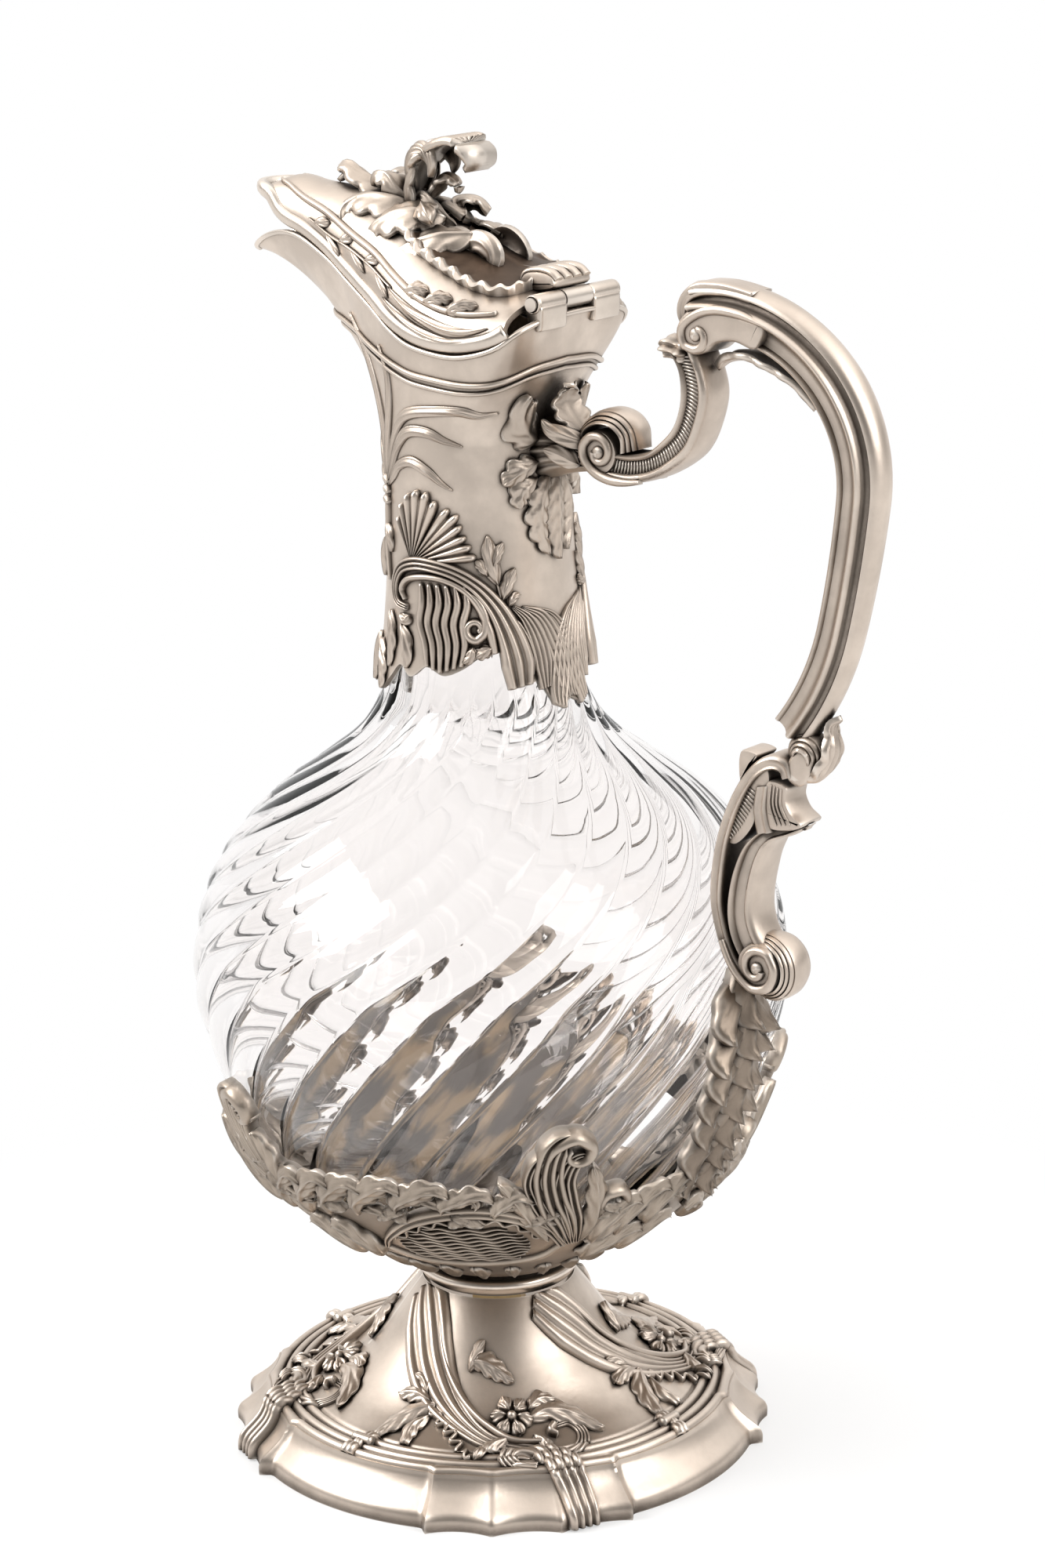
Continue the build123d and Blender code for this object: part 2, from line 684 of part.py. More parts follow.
apron_top_z = hinge_z - knuckle_radius - running_gap
apron_outer_x = hinge_x + knuckle_radius + bracket_depth - 1.4
apron_inner_x = hinge_x - knuckle_radius + 0.1
apron = [(neck_radius - 0.4, horn_z + 5.0), (neck_radius + 2.4, horn_z + 10.5)]
apron += [(hinge_x + 0.5, horn_z + 15.5), (apron_outer_x - 0.8, apron_top_z - 2.0)]
apron += [(apron_outer_x, apron_top_z), (apron_inner_x, apron_top_z), (apron_inner_x, horn_z + 13.5)]
apron.append((neck_radius - 0.4, horn_z + 12.0))
cheek = [(apron_inner_x, apron_top_z - 1.0), (apron_outer_x - 0.6, apron_top_z - 1.0)]
cheek += [(hinge_x + knuckle_radius - 0.1, hinge_z - 0.2), (hinge_x - knuckle_radius + 0.1, hinge_z - 0.2)]
knuckle_bore = pin_radius + pin_gap
lid_knuckle_length = knuckle_length - 2 * seat_gap
with BuildPart() as hinge_bracket:
    with BuildSketch(Plane.XZ):
        with BuildLine():
            Polyline(*apron, close=True)
        make_face()
    extrude(amount=knuckle_half_span, both=True)
    with BuildSketch(Plane.XZ):
        with BuildLine():
            Polyline(*cheek, close=True)
        make_face()
        with Locations((hinge_x, hinge_z)):
            Circle(knuckle_radius)
    extrude(amount=knuckle_half_span, both=True)
    with BuildSketch(Plane.XZ):
        with Locations((hinge_x, apron_top_z + 2 * knuckle_length)):
            Rectangle(8 * knuckle_radius, 4 * knuckle_length)
    extrude(amount=knuckle_length / 2, both=True, mode=Mode.SUBTRACT)
    with BuildSketch(Plane.XZ):
        with Locations((hinge_x, hinge_z)):
            Circle(knuckle_bore)
    extrude(amount=2 * knuckle_half_span, both=True, mode=Mode.SUBTRACT)
    add(horn_below_edge, mode=Mode.SUBTRACT)
    add(mouth_rim.part, mode=Mode.SUBTRACT)
    add(mouth_moulding.part, mode=Mode.SUBTRACT)
hinge_bracket.part.label = "hinge_bracket"
export_step(hinge_bracket.part, "parts/hinge_bracket.step")

with BuildPart() as hinge_pin:
    with BuildSketch(Plane.XZ):
        with Locations((hinge_x, hinge_z)):
            Circle(pin_radius)
    extrude(amount=knuckle_half_span + pin_head_length / 2, both=True)
    for side in (-1, 1):
        with BuildSketch(Plane.XZ.offset(side * (knuckle_half_span + pin_head_length / 2 + 0.05))):
            with Locations((hinge_x, hinge_z)):
                Circle(pin_head_radius)
        extrude(amount=pin_head_length / 2, both=True)
hinge_pin.part.label = "hinge_pin"
export_step(hinge_pin.part, "parts/hinge_pin.step")

# Lid: a domed leaf-shaped cover that follows the mouth, with a beak over the spout

lid_edge = [(x, z + lid_lift) for x, z in mouth_edge if x > -0.66 * spout_reach]
lid_beak = [(0.733, 33.6), (0.79, 35.8), (0.826, 39.0), (0.93, 40.2)]
lid_front_edge = [(-spout_reach * share, horn_z + rise) for share, rise in reversed(lid_beak)]
lid_edge = lid_front_edge + lid_edge
lid_edge.insert(0, (far_front, lid_edge[0][1] + 0.4))
crest_shape = [(0.92, 41.0), (0.885, 42.2), (0.80, 44.2), (0.66, 43.4), (0.49, 42.4), (0.33, 40.5)]
crest_shape += [(0.16, 37.5), (0, 33.5)]
lid_crest = [(-spout_reach * share, horn_z + rise) for share, rise in crest_shape]
lid_back_x = hinge_x - knuckle_radius - running_gap
lid_crest += [(0.38 * hinge_x, horn_z + 29.5), (0.77 * hinge_x, horn_z + 25.6)]
lid_crest.append((lid_back_x, horn_z + 24.4))
beak_half_width = 3.4


def lid_space(grow, back_x):
    """The space under the dome, moved out by grow and closed off at back_x."""
    with BuildPart(mode=Mode.PRIVATE) as dome:
        for x, crest in lid_crest:
            if x == lid_crest[0][0]:
                x -= grow
            if x == lid_crest[-1][0]:
                x = back_x
            half = max(height_on(mouth_widths, x), beak_half_width) + grow
            spring = height_on(lid_edge, x) + 0.6 * lid_rim_height
            rise = crest + grow - spring
            if rise < 1.0:
                spring = crest + grow - 1.0
                rise = 1.0
            with BuildSketch(Plane.YZ.offset(x)):
                right = [(half * cos(radians(a)), spring + rise * sin(radians(a))) for a in (0, 27, 50, 70)]
                left = [(-y, z) for y, z in reversed(right)]
                Polygon((half, horn_z), *right, (0, spring + rise), *left, (-half, horn_z), align=None)
        loft(ruled=True)
    return dome.part


lid_outer = lid_space(0, lid_back_x)
lid_inner = lid_space(-lid_wall, lid_back_x - lid_wall)
lid_band_top = raised(lid_edge, lid_rim_height)
lid_above = side_slab(lid_band_top, flat_curve(lid_edge, above_all), wide_enough)
lid_band = side_slab(lid_edge, lid_band_top, wide_enough)
with BuildPart() as lid_shell:
    add(lid_outer)
    add(lid_inner, mode=Mode.SUBTRACT)
    add(lid_above, mode=Mode.INTERSECT)
lid_shell.part.label = "lid_shell"
export_step(lid_shell.part, "parts/lid_shell.step")

lid_rim_outer = lid_space(lid_rim_proud, lid_back_x)
with BuildPart() as lid_rim:
    add(lid_rim_outer)
    add(lid_inner, mode=Mode.SUBTRACT)
    add(lid_band, mode=Mode.INTERSECT)
lid_rim.part.label = "lid_rim"
export_step(lid_rim.part, "parts/lid_rim.step")

# Lid knuckle with its leaf against the back of the lid

with BuildPart() as lid_knuckle:
    with BuildSketch(Plane.XZ):
        with Locations((hinge_x, hinge_z)):
            Circle(knuckle_radius)
        with Locations((0.5 * (lid_back_x + hinge_x), hinge_z - 0.5 * leaf_thickness)):
            Rectangle(hinge_x - lid_back_x, leaf_thickness)
        with Locations((hinge_x, hinge_z)):
            Circle(knuckle_bore, mode=Mode.SUBTRACT)
    extrude(amount=lid_knuckle_length / 2, both=True)
lid_knuckle.part.label = "lid_knuckle"
export_step(lid_knuckle.part, "parts/lid_knuckle.step")

# Ornament on the lid: acanthus leaves, thumbpiece plume, ruffled shell and heel scroll


def side_plate(outline, half_width):
    """A plate cut to a side view outline and as thick as twice half_width."""
    with BuildPart(mode=Mode.PRIVATE) as plate:
        with BuildSketch(Plane.XZ):
            with BuildLine():
                arcs_round(outline)
            make_face()
        extrude(amount=half_width, both=True)
    return plate.part


leaf_cover = lid_space(relief, lid_back_x)
leaf_top = [(-36, 0), (-33, 5.5), (-27, 6), (-24, 10), (-18, 9), (-13, 12.5), (-7, 10), (-4, 4)]
leaf_plan = leaf_top + [(x, -y) for x, y in reversed(leaf_top[1:])]
with BuildPart() as lid_acanthus:
    with BuildSketch(Plane.XY.offset(horn_z + 25.0)):
        with BuildLine():
            arcs_round(leaf_plan)
        make_face()
    extrude(amount=30.0)
    add(leaf_cover, mode=Mode.INTERSECT)
    add(lid_outer, mode=Mode.SUBTRACT)
lid_acanthus.part.label = "lid_acanthus"
export_step(lid_acanthus.part, "parts/lid_acanthus.step")

plume = [(-17.5, 36.0), (-16.5, 44.0), (-15.3, 49.7), (-12, 53.1), (-6, 54.6), (-0.3, 54.9)]
plume += [(4.2, 50.9), (1.5, 48.0), (-5.0, 50.0), (-6.2, 46.5), (-5.0, 41.0), (-5.0, 35.0)]
plume_side = [(x, horn_z + rise) for x, rise in plume]
plume_right = [(0, 56.0), (3.2, 55.6), (5.8, 54.0), (7.4, 50.0), (5.4, 45.5), (4.0, 40.0), (3.6, 33.0)]
plume_front = [(y, horn_z + rise) for y, rise in plume_right]
plume_front += [(-y, z) for y, z in reversed(plume_front[1:])]
with BuildPart() as lid_thumbpiece:
    add(side_plate(plume_side, thumbpiece_width / 2))
    with BuildSketch(Plane.YZ.offset(-25.0)):
        with BuildLine():
            Polyline(*plume_front, close=True)
        make_face()
    extrude(amount=40.0, mode=Mode.INTERSECT)
    add(leaf_cover, mode=Mode.SUBTRACT)
lid_thumbpiece.part.label = "lid_thumbpiece"
export_step(lid_thumbpiece.part, "parts/lid_thumbpiece.step")

ruffle_top = [(-3.4, 0), (-1, 7), (4, 8.5), (7, 12), (12, 10.5), (15, 6), (15.5, 0)]
ruffle_plan = ruffle_top + [(x, -y) for x, y in reversed(ruffle_top[1:-1])]
ruffle_cover = lid_space(2.0 * relief, lid_back_x)
with BuildPart() as lid_ruffle:
    with BuildSketch(Plane.XY.offset(horn_z + 20.0)):
        with BuildLine():
            arcs_round(ruffle_plan)
        make_face()
    extrude(amount=35.0)
    add(ruffle_cover, mode=Mode.INTERSECT)
    add(lid_outer, mode=Mode.SUBTRACT)
    add(lid_acanthus.part, mode=Mode.SUBTRACT)
    add(lid_thumbpiece.part, mode=Mode.SUBTRACT)
lid_ruffle.part.label = "lid_ruffle"
export_step(lid_ruffle.part, "parts/lid_ruffle.step")

heel_radius = knuckle_radius + running_gap
heel = [(-9.5, 1.8), (-8.5, 5.6), (-5, 6.4), (-1.5, 6.1), (0.3, 4.9), (0.6, 2.9), (0, 0), (-4, 0)]
with BuildPart() as lid_heel_scroll:
    add(side_plate([(hinge_x + x, hinge_z + z) for x, z in heel], 0.72 * knuckle_length))
    with BuildSketch(Plane.XZ):
        with Locations((hinge_x, hinge_z)):
            Circle(heel_radius)
        with Locations((hinge_x, hinge_z - knuckle_length)):
            Rectangle(6 * knuckle_radius, 2 * knuckle_length)
    extrude(amount=knuckle_length, both=True, mode=Mode.SUBTRACT)
    add(lid_outer, mode=Mode.SUBTRACT)
    add(lid_ruffle.part, mode=Mode.SUBTRACT)
lid_heel_scroll.part.label = "lid_heel_scroll"
export_step(lid_heel_scroll.part, "parts/lid_heel_scroll.step")

# Handle: leaf socket on the neck, upper scroll, moulded grip, lower scroll and leaf drop

grip_top_z = horn_z + 24.0
scroll_x = belly_radius + scroll_clear
head_radius = 5.6
head_x = 58.5
head_z = grip_top_z - 0.4
bead = 0.27 * grip_depth
half_depth = grip_depth / 2
grip_section = [(-half_depth, 0.45 * grip_half_width), (-0.12 * grip_depth, grip_half_width)]
grip_section += [(0.05 * grip_depth, 0.9 * grip_half_width), (0.18 * grip_depth, 0.55 * grip_half_width)]
grip_section += [(half_depth - bead, bead), (half_depth - 0.3 * bead, 0.71 * bead), (half_depth, 0.0)]
grip_outline = grip_section + [(x, -y) for x, y in reversed(grip_section[:-1])]
grip_bends = [(handle_reach - 7.3, 0, grip_top_z - 11.6), (handle_reach + 0.3, 0, grip_top_z - 36.0)]
grip_bends += [(handle_reach - 4.6, 0, grip_top_z - 61.5), (scroll_x - 16.5, 0, grip_top_z - 84.5)]
with BuildPart() as handle_grip:
    with BuildLine() as grip_path:
        top_arc = TangentArc((head_x, 0, head_z), grip_bends[0], tangent=(1, 0, 0.16))
        outer_arc = TangentArc(grip_bends[0], grip_bends[1], tangent=top_arc % 1)
        lower_arc = TangentArc(grip_bends[1], grip_bends[2], tangent=outer_arc % 1)
        TangentArc(grip_bends[2], grip_bends[3], tangent=lower_arc % 1)
    grip_heading = grip_path.line % 0
    grip_outward = Vector(0, -1, 0).cross(grip_heading) * -1
    with BuildSketch(Plane(origin=(head_x, 0, head_z), x_dir=grip_outward, z_dir=grip_heading)):
        Polygon(*grip_outline, align=None)
    sweep(path=grip_path.line)
    with BuildSketch(Plane.XZ):
        with Locations((head_x, head_z)):
            Circle(head_radius)
    extrude(amount=volute_half_width, both=True)
handle_grip.part.label = "handle_grip"
export_step(handle_grip.part, "parts/handle_grip.step")


def drawn_in(outline, distance):
    """A closed outline moved inwards, each point square to the line between its neighbours."""
    area = sum(x0 * y1 - x1 * y0 for (x0, y0), (x1, y1) in zip(outline, outline[1:] + outline[:1]))
    inward = distance if area > 0 else -distance
    moved = []
    for index, (x, y) in enumerate(outline):
        last_x, last_y = outline[index - 1]
        next_x, next_y = outline[(index + 1) % len(outline)]
        chord = hypot(next_x - last_x, next_y - last_y)
        moved.append((x - inward * (next_y - last_y) / chord, y + inward * (next_x - last_x) / chord))
    return moved


def scroll_plate(outline, volutes, half_width, volute_half):
    """A cast scroll: a web between raised rims that follow its outline, and its volutes."""
    with BuildSketch(Plane.XZ, mode=Mode.PRIVATE) as whole:
        with BuildLine():
            arcs_round(outline)
        make_face()
    with BuildSketch(Plane.XZ, mode=Mode.PRIVATE) as sunk:
        with BuildLine():
            Polyline(*drawn_in(outline, channel_rim), close=True)
        make_face()
    with BuildPart(mode=Mode.PRIVATE) as scroll:
        extrude(whole.sketch, amount=half_width - channel_depth, both=True)
        extrude(whole.sketch - sunk.sketch, amount=half_width, both=True)
        for x, z, radius in volutes:
            with BuildSketch(Plane.XZ):
                with Locations((x, z)):
                    Circle(radius)
            extrude(amount=volute_half, both=True)
    return scroll.part


socket_ring = turned(
    between(mount_profile, horn_z - 40.0, horn_z),
    between(moved_out(mount_profile, relief), horn_z - 40.0, horn_z),
)
socket_leaf = [(-3, -31), (-7, -26), (-6.5, -20), (-11, -17), (-11.5, -10), (-8, -6), (-6, -1.5)]
socket_leaf += [(0, -3.5), (6, -1.5), (8, -6), (11.5, -10), (11, -17), (6.5, -20), (7, -26), (3, -31)]
socket_side = [(neck_radius - 1.0, -24), (neck_radius + 5, -22.5), (neck_radius + 12, -17)]
socket_side += [(neck_radius + 15.5, -12.5), (neck_radius + 15, -6), (neck_radius + 10, -0.5)]
socket_side += [(neck_radius + 5.5, 3.0), (neck_radius + 1.5, 0.5), (neck_radius - 1.0, -3.0)]
with BuildPart() as handle_socket:
    add(plate_on(socket_ring, facing(0, horn_z), socket_leaf, 2 * neck_radius))
    add(side_plate([(x, horn_z + rise) for x, rise in socket_side], 1.3 * scroll_half_width))
    add(neck_mount.part, mode=Mode.SUBTRACT)
    with BuildSketch(Plane.XY.offset(horn_z - 45.0)):
        Circle(neck_radius)
    extrude(amount=45.0, mode=Mode.SUBTRACT)
    add(mouth_moulding.part, mode=Mode.SUBTRACT)
    add(hinge_bracket.part, mode=Mode.SUBTRACT)
handle_socket.part.label = "handle_socket"
export_step(handle_socket.part, "parts/handle_socket.step")

arch = [(neck_radius + 13, -14.2), (43.4, -14.0), (50.8, -11.6), (57.4, -4.5), (61.4, 5.5), (62.4, 13)]
arch += [(60.5, 18.8), (55.0, 17.5), (53.6, 12.5), (55.5, 5.0), (52.2, -2.2), (45.0, -6.0)]
arch += [(neck_radius + 13, -6.8)]
upper_scroll = scroll_plate(
    [(x, horn_z + rise) for x, rise in arch],
    [(neck_radius + 20, horn_z - 9.2, 5.4)],
    scroll_half_width,
    volute_half_width,
)
with BuildPart() as handle_upper_scroll:
    add(upper_scroll)
    add(handle_grip.part, mode=Mode.SUBTRACT)
    add(handle_socket.part, mode=Mode.SUBTRACT)
handle_upper_scroll.part.label = "handle_upper_scroll"
export_step(handle_upper_scroll.part, "parts/handle_upper_scroll.step")

drop_low_z = calyx_top_z + 0.1
drop_top_z = belly_z + 11.0
drop_inside = between(glass_skin, drop_low_z, drop_top_z)
drop_bulge = 4.0
drop_outside = []
for radius, height in drop_inside:
    swell = (height - drop_low_z) / (drop_top_z - drop_low_z)
    drop_outside.append((radius + drop_thickness + drop_bulge * swell ** 2, height))
drop_leaf = [(-3, 0.4), (-5, 7), (-4, 11), (-7, 18), (-5, 23), (-9, 31), (-7, 37), (-10, 45), (-6, 51)]
drop_leaf += [(6, 51), (10, 45), (7, 37), (9, 31), (5, 23), (7, 18), (4, 11), (5, 7), (3, 0.4)]
with BuildPart() as handle_leaf_drop:
    add(plate_on(turned(drop_inside, drop_outside), facing(0, drop_low_z), drop_leaf, 2 * belly_radius))
handle_leaf_drop.part.label = "handle_leaf_drop"
export_step(handle_leaf_drop.part, "parts/handle_leaf_drop.step")

lower_inner = [(-20.5, -91.0), (-26.5, -97), (-31.1, -105), (-34.2, -114), (-35.4, -122), (-35.2, -129)]
lower_inner += [(-33.2, -136), (-30.5, -141.5)]
lower_outer = [(-25, -144), (-18.5, -142), (-15.5, -135.5), (-19.5, -130.5), (-24.5, -127.5)]
lower_outer += [(-25.0, -121), (-22.5, -113), (-19.0, -108.5), (-13.6, -105.5), (-15.5, -99)]
lower_outer += [(-13.0, -92.0), (-12.0, -86.5), (-15.5, -83.5)]
lower_side = [(scroll_x + x, grip_top_z + rise) for x, rise in lower_inner + lower_outer]
lower_scroll = scroll_plate(
    lower_side,
    [(scroll_x - 23.4, grip_top_z - 136.0, 7.4)],
    scroll_half_width,
    volute_half_width,
)
with BuildPart() as handle_lower_scroll:
    add(lower_scroll)
    add(handle_grip.part, mode=Mode.SUBTRACT)
    add(handle_leaf_drop.part, mode=Mode.SUBTRACT)
handle_lower_scroll.part.label = "handle_lower_scroll"
export_step(handle_lower_scroll.part, "parts/handle_lower_scroll.step")
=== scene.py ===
import json
import math
import bmesh
import bpy
import numpy as np
from mathutils import Matrix, Vector


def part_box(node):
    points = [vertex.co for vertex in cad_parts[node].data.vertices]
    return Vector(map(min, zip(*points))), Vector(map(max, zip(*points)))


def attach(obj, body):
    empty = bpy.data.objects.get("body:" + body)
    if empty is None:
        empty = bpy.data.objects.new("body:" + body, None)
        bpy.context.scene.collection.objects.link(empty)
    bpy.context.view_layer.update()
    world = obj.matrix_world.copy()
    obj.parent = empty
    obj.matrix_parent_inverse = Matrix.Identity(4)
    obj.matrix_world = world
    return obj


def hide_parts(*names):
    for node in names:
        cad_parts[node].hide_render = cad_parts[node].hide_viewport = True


# Silver-mounted crystal jug with a hinged lid.
# Sizes are millimetres until a mesh is made. The handle is on +X and the spout on -X.
# Azimuths are degrees round the axis, counter-clockwise from +X seen from above.

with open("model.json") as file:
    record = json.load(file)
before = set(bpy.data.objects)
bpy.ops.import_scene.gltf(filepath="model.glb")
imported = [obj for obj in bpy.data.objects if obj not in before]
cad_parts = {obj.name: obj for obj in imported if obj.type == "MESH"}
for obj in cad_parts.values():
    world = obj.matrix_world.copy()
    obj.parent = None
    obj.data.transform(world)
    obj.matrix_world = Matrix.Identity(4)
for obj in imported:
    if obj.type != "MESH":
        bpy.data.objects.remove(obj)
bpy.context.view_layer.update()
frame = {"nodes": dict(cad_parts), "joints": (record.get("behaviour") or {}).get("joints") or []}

MM = 0.001
JUG, LID = "jug", "lid"


def node_box(node):
    """Lowest and highest corner of a node, in millimetres."""
    low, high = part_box(node)
    return np.array(low) / MM, np.array(high) / MM


# Driving sizes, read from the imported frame
foot_radius = node_box("foot")[1][0]
stem_height = node_box("foot")[1][2]
collar_top = node_box("stem_collar")[1][2]
collar_radius = node_box("stem_collar")[1][0]
glass_base, glass_top = node_box("crystal_body")[0][2], node_box("crystal_body")[1][2]
belly_radius = node_box("crystal_body")[1][0]
hinge = np.array(frame["joints"][0]["pos_m"]) / MM

# Sizes of the crystal and its mounts
belly_rise, shoulder_rise = 62.0, 64.0
crystal_wall, crystal_floor = 4.0, 9.0
neck_glass_radius = 17.8
bedding, calyx_wall, mount_wall = 0.7, 1.3, 1.1
belly_z = glass_base + belly_rise
shoulder_z = belly_z + shoulder_rise
# The mouth, the lid and the handle are drawn with heights over this level, low in the flare of the neck
horn_drop = 23.4
horn_z = hinge[2] - horn_drop
neck_radius = neck_glass_radius + bedding + mount_wall
lobe_count, lobe_depth = 28, 1.8
turn_low, turn_high, turn_knee = 0.80, 1.30, belly_z + 12.0
swirl_start, swirl_end = glass_base + 14.5, belly_z + shoulder_rise


# Lines, frames and meshes

def walked(points):
    """The length walked along a path up to each of its points."""
    return np.concatenate([[0], np.cumsum(np.linalg.norm(np.diff(points, axis=0), axis=1))])


def resampled(points, count):
    """Points evenly spaced along a polyline."""
    points = np.asarray(points, float)
    along = walked(points)
    at = np.linspace(0, along[-1], count)
    return np.stack([np.interp(at, along, points[:, k]) for k in range(points.shape[1])], 1)


def smooth_line(points, count, closed=False):
    """Points evenly spaced along a smooth curve through the given points."""
    p = np.asarray(points, float)
    if closed:
        p = np.vstack([p[-1], p, p[0], p[1]])
    else:
        p = np.vstack([2 * p[0] - p[1], p, 2 * p[-1] - p[-2]])
    knots = np.concatenate([[0], np.cumsum(np.linalg.norm(np.diff(p, axis=0), axis=1) ** 0.5)])
    dense = []
    for i in range(1, len(p) - 2):
        t0, t1, t2, t3 = knots[i - 1:i + 3]
        t = np.linspace(t1, t2, 17)[:, None]
        a1 = (t1 - t) / (t1 - t0) * p[i - 1] + (t - t0) / (t1 - t0) * p[i]
        a2 = (t2 - t) / (t2 - t1) * p[i] + (t - t1) / (t2 - t1) * p[i + 1]
        a3 = (t3 - t) / (t3 - t2) * p[i + 1] + (t - t2) / (t3 - t2) * p[i + 2]
        b1 = (t2 - t) / (t2 - t0) * a1 + (t - t0) / (t2 - t0) * a2
        b2 = (t3 - t) / (t3 - t1) * a2 + (t - t1) / (t3 - t1) * a3
        dense.append(((t2 - t) / (t2 - t1) * b1 + (t - t1) / (t2 - t1) * b2)[:-1])
    dense.append(p[-2:-1])
    return resampled(np.vstack(dense), count)


def eased(stations, values, at):
    """Values at places along a smooth curve through stations, flat past its ends."""
    stations, values = np.asarray(stations, float), np.asarray(values, float)
    slopes = np.gradient(values, stations)
    at = np.clip(np.asarray(at, float), stations[0], stations[-1])
    k = np.clip(np.searchsorted(stations, at, side="right") - 1, 0, len(stations) - 2)
    span = stations[k + 1] - stations[k]
    t = (at - stations[k]) / span
    part = values[k] * (1 + 2 * t) * (1 - t) ** 2 + values[k + 1] * (3 - 2 * t) * t ** 2
    return part + span * (slopes[k] * t * (1 - t) ** 2 - slopes[k + 1] * t ** 2 * (1 - t))


def unit(vectors):
    """Vectors made one long."""
    return vectors / np.maximum(np.linalg.norm(vectors, axis=-1, keepdims=True), 1e-9)


def headings(path):
    """The direction of a path at each of its points."""
    return unit(np.gradient(path, axis=0))


class Casting:
    """Gathers the shapes that make up one piece."""

    def __init__(self):
        self.points, self.faces, self.size = [], [], 0

    def add(self, points, faces):
        self.points.append(np.asarray(points, float).reshape(-1, 3))
        self.faces += [tuple(int(i) + self.size for i in face) for face in faces]
        self.size += len(self.points[-1])

    def grid(self, rows, along_closed=False, across_closed=False, caps=False):
        """A sheet of rows of points; it can close along its rows, across them, or with end caps."""
        n, m = rows.shape[:2]
        faces = []
        for i in range(n if along_closed else n - 1):
            for j in range(m if across_closed else m - 1):
                i2, j2 = (i + 1) % n, (j + 1) % m
                faces.append((i * m + j, i * m + j2, i2 * m + j2, i2 * m + j))
        if caps:
            faces.append(tuple(range(m)))
            faces.append(tuple((n - 1) * m + j for j in reversed(range(m))))
        self.add(rows, faces)

    def lay(self, mapping, form):
        """Adds a form of rows of (across, along, height), put in place by a mapping."""
        self.grid(mapping(form), across_closed=True, caps=True)

    def strip(self, mapping, *drawing):
        self.lay(mapping, strip_form(*drawing))

    def leaf(self, mapping, *drawing, **shape):
        self.lay(mapping, leaf_form(*drawing, **shape))

    def bead(self, mapping, *drawing):
        self.lay(mapping, bead_form(*drawing))

    def mesh(self, name):
        made = bpy.data.meshes.new(name)
        made.from_pydata((np.vstack(self.points) * MM).tolist(), [], self.faces)
        work = bmesh.new()
        work.from_mesh(made)
        bmesh.ops.remove_doubles(work, verts=work.verts, dist=1e-6)
        bmesh.ops.dissolve_degenerate(work, edges=work.edges, dist=1e-6)
        bmesh.ops.recalc_face_normals(work, faces=work.faces)
        work.to_mesh(made)
        work.free()
        made.polygons.foreach_set("use_smooth", [True] * len(made.polygons))
        made.update()
        return made


def finished(name, casting, body, material, nodes=(), sharp=None):
    """Makes a casting a piece of the object, in place of the nodes that it stands for."""
    piece = bpy.data.objects.new(name, casting.mesh(name) if isinstance(casting, Casting) else casting)
    bpy.context.scene.collection.objects.link(piece)
    if sharp:
        piece.data.set_sharp_from_angle(angle=math.radians(sharp))
    piece.data.materials.clear()
    piece.data.materials.append(material)
    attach(piece, body)
    if nodes:
        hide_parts(*nodes)
    return piece


# Materials: node groups first, then one material for each finish

def group_of(name, inputs, outputs):
    """A new shader node group with named sockets: (name, kind, value) each."""
    tree = bpy.data.node_groups.new(name, "ShaderNodeTree")
    for label, kind, value in inputs:
        made = tree.interface.new_socket(label, in_out="INPUT", socket_type=kind)
        made.default_value = value
    for label, kind in outputs:
        tree.interface.new_socket(label, in_out="OUTPUT", socket_type=kind)
    return tree, tree.nodes.new("NodeGroupInput"), tree.nodes.new("NodeGroupOutput")


def node(tree, kind, values=None, links=None, **settings):
    """A node with its settings, its sockets' values and what its sockets are linked from."""
    made = tree.nodes.new(kind)
    for key, value in settings.items():
        setattr(made, key, value)
    for key, value in (values or {}).items():
        made.inputs[key].default_value = value
    for key, source in (links or {}).items():
        tree.links.new(source, made.inputs[key])
    return made


def mixed(tree, factor, first, second):
    """A colour mix; each of its three parts is a socket or a plain value."""
    made = tree.nodes.new("ShaderNodeMix")
    made.data_type = "RGBA"
    for socket, value in ((made.inputs[0], factor), (made.inputs[6], first), (made.inputs[7], second)):
        if isinstance(value, bpy.types.NodeSocket):
            tree.links.new(value, socket)
        else:
            socket.default_value = value
    return made.outputs[2]


def remapped(tree, source, low, high, to_low=0.0, to_high=1.0):
    """A value eased from one range to another."""
    made = node(tree, "ShaderNodeMapRange", {1: low, 2: high, 3: to_low, 4: to_high}, {0: source})
    made.interpolation_type = "SMOOTHSTEP"
    return made.outputs[0]


def combined(tree, operation, *values):
    """A maths node; each of its values is a socket or a plain number."""
    made = tree.nodes.new("ShaderNodeMath")
    made.operation = operation
    for socket, value in zip(made.inputs, values):
        if isinstance(value, bpy.types.NodeSocket):
            tree.links.new(value, socket)
        else:
            socket.default_value = value
    return made.outputs[0]


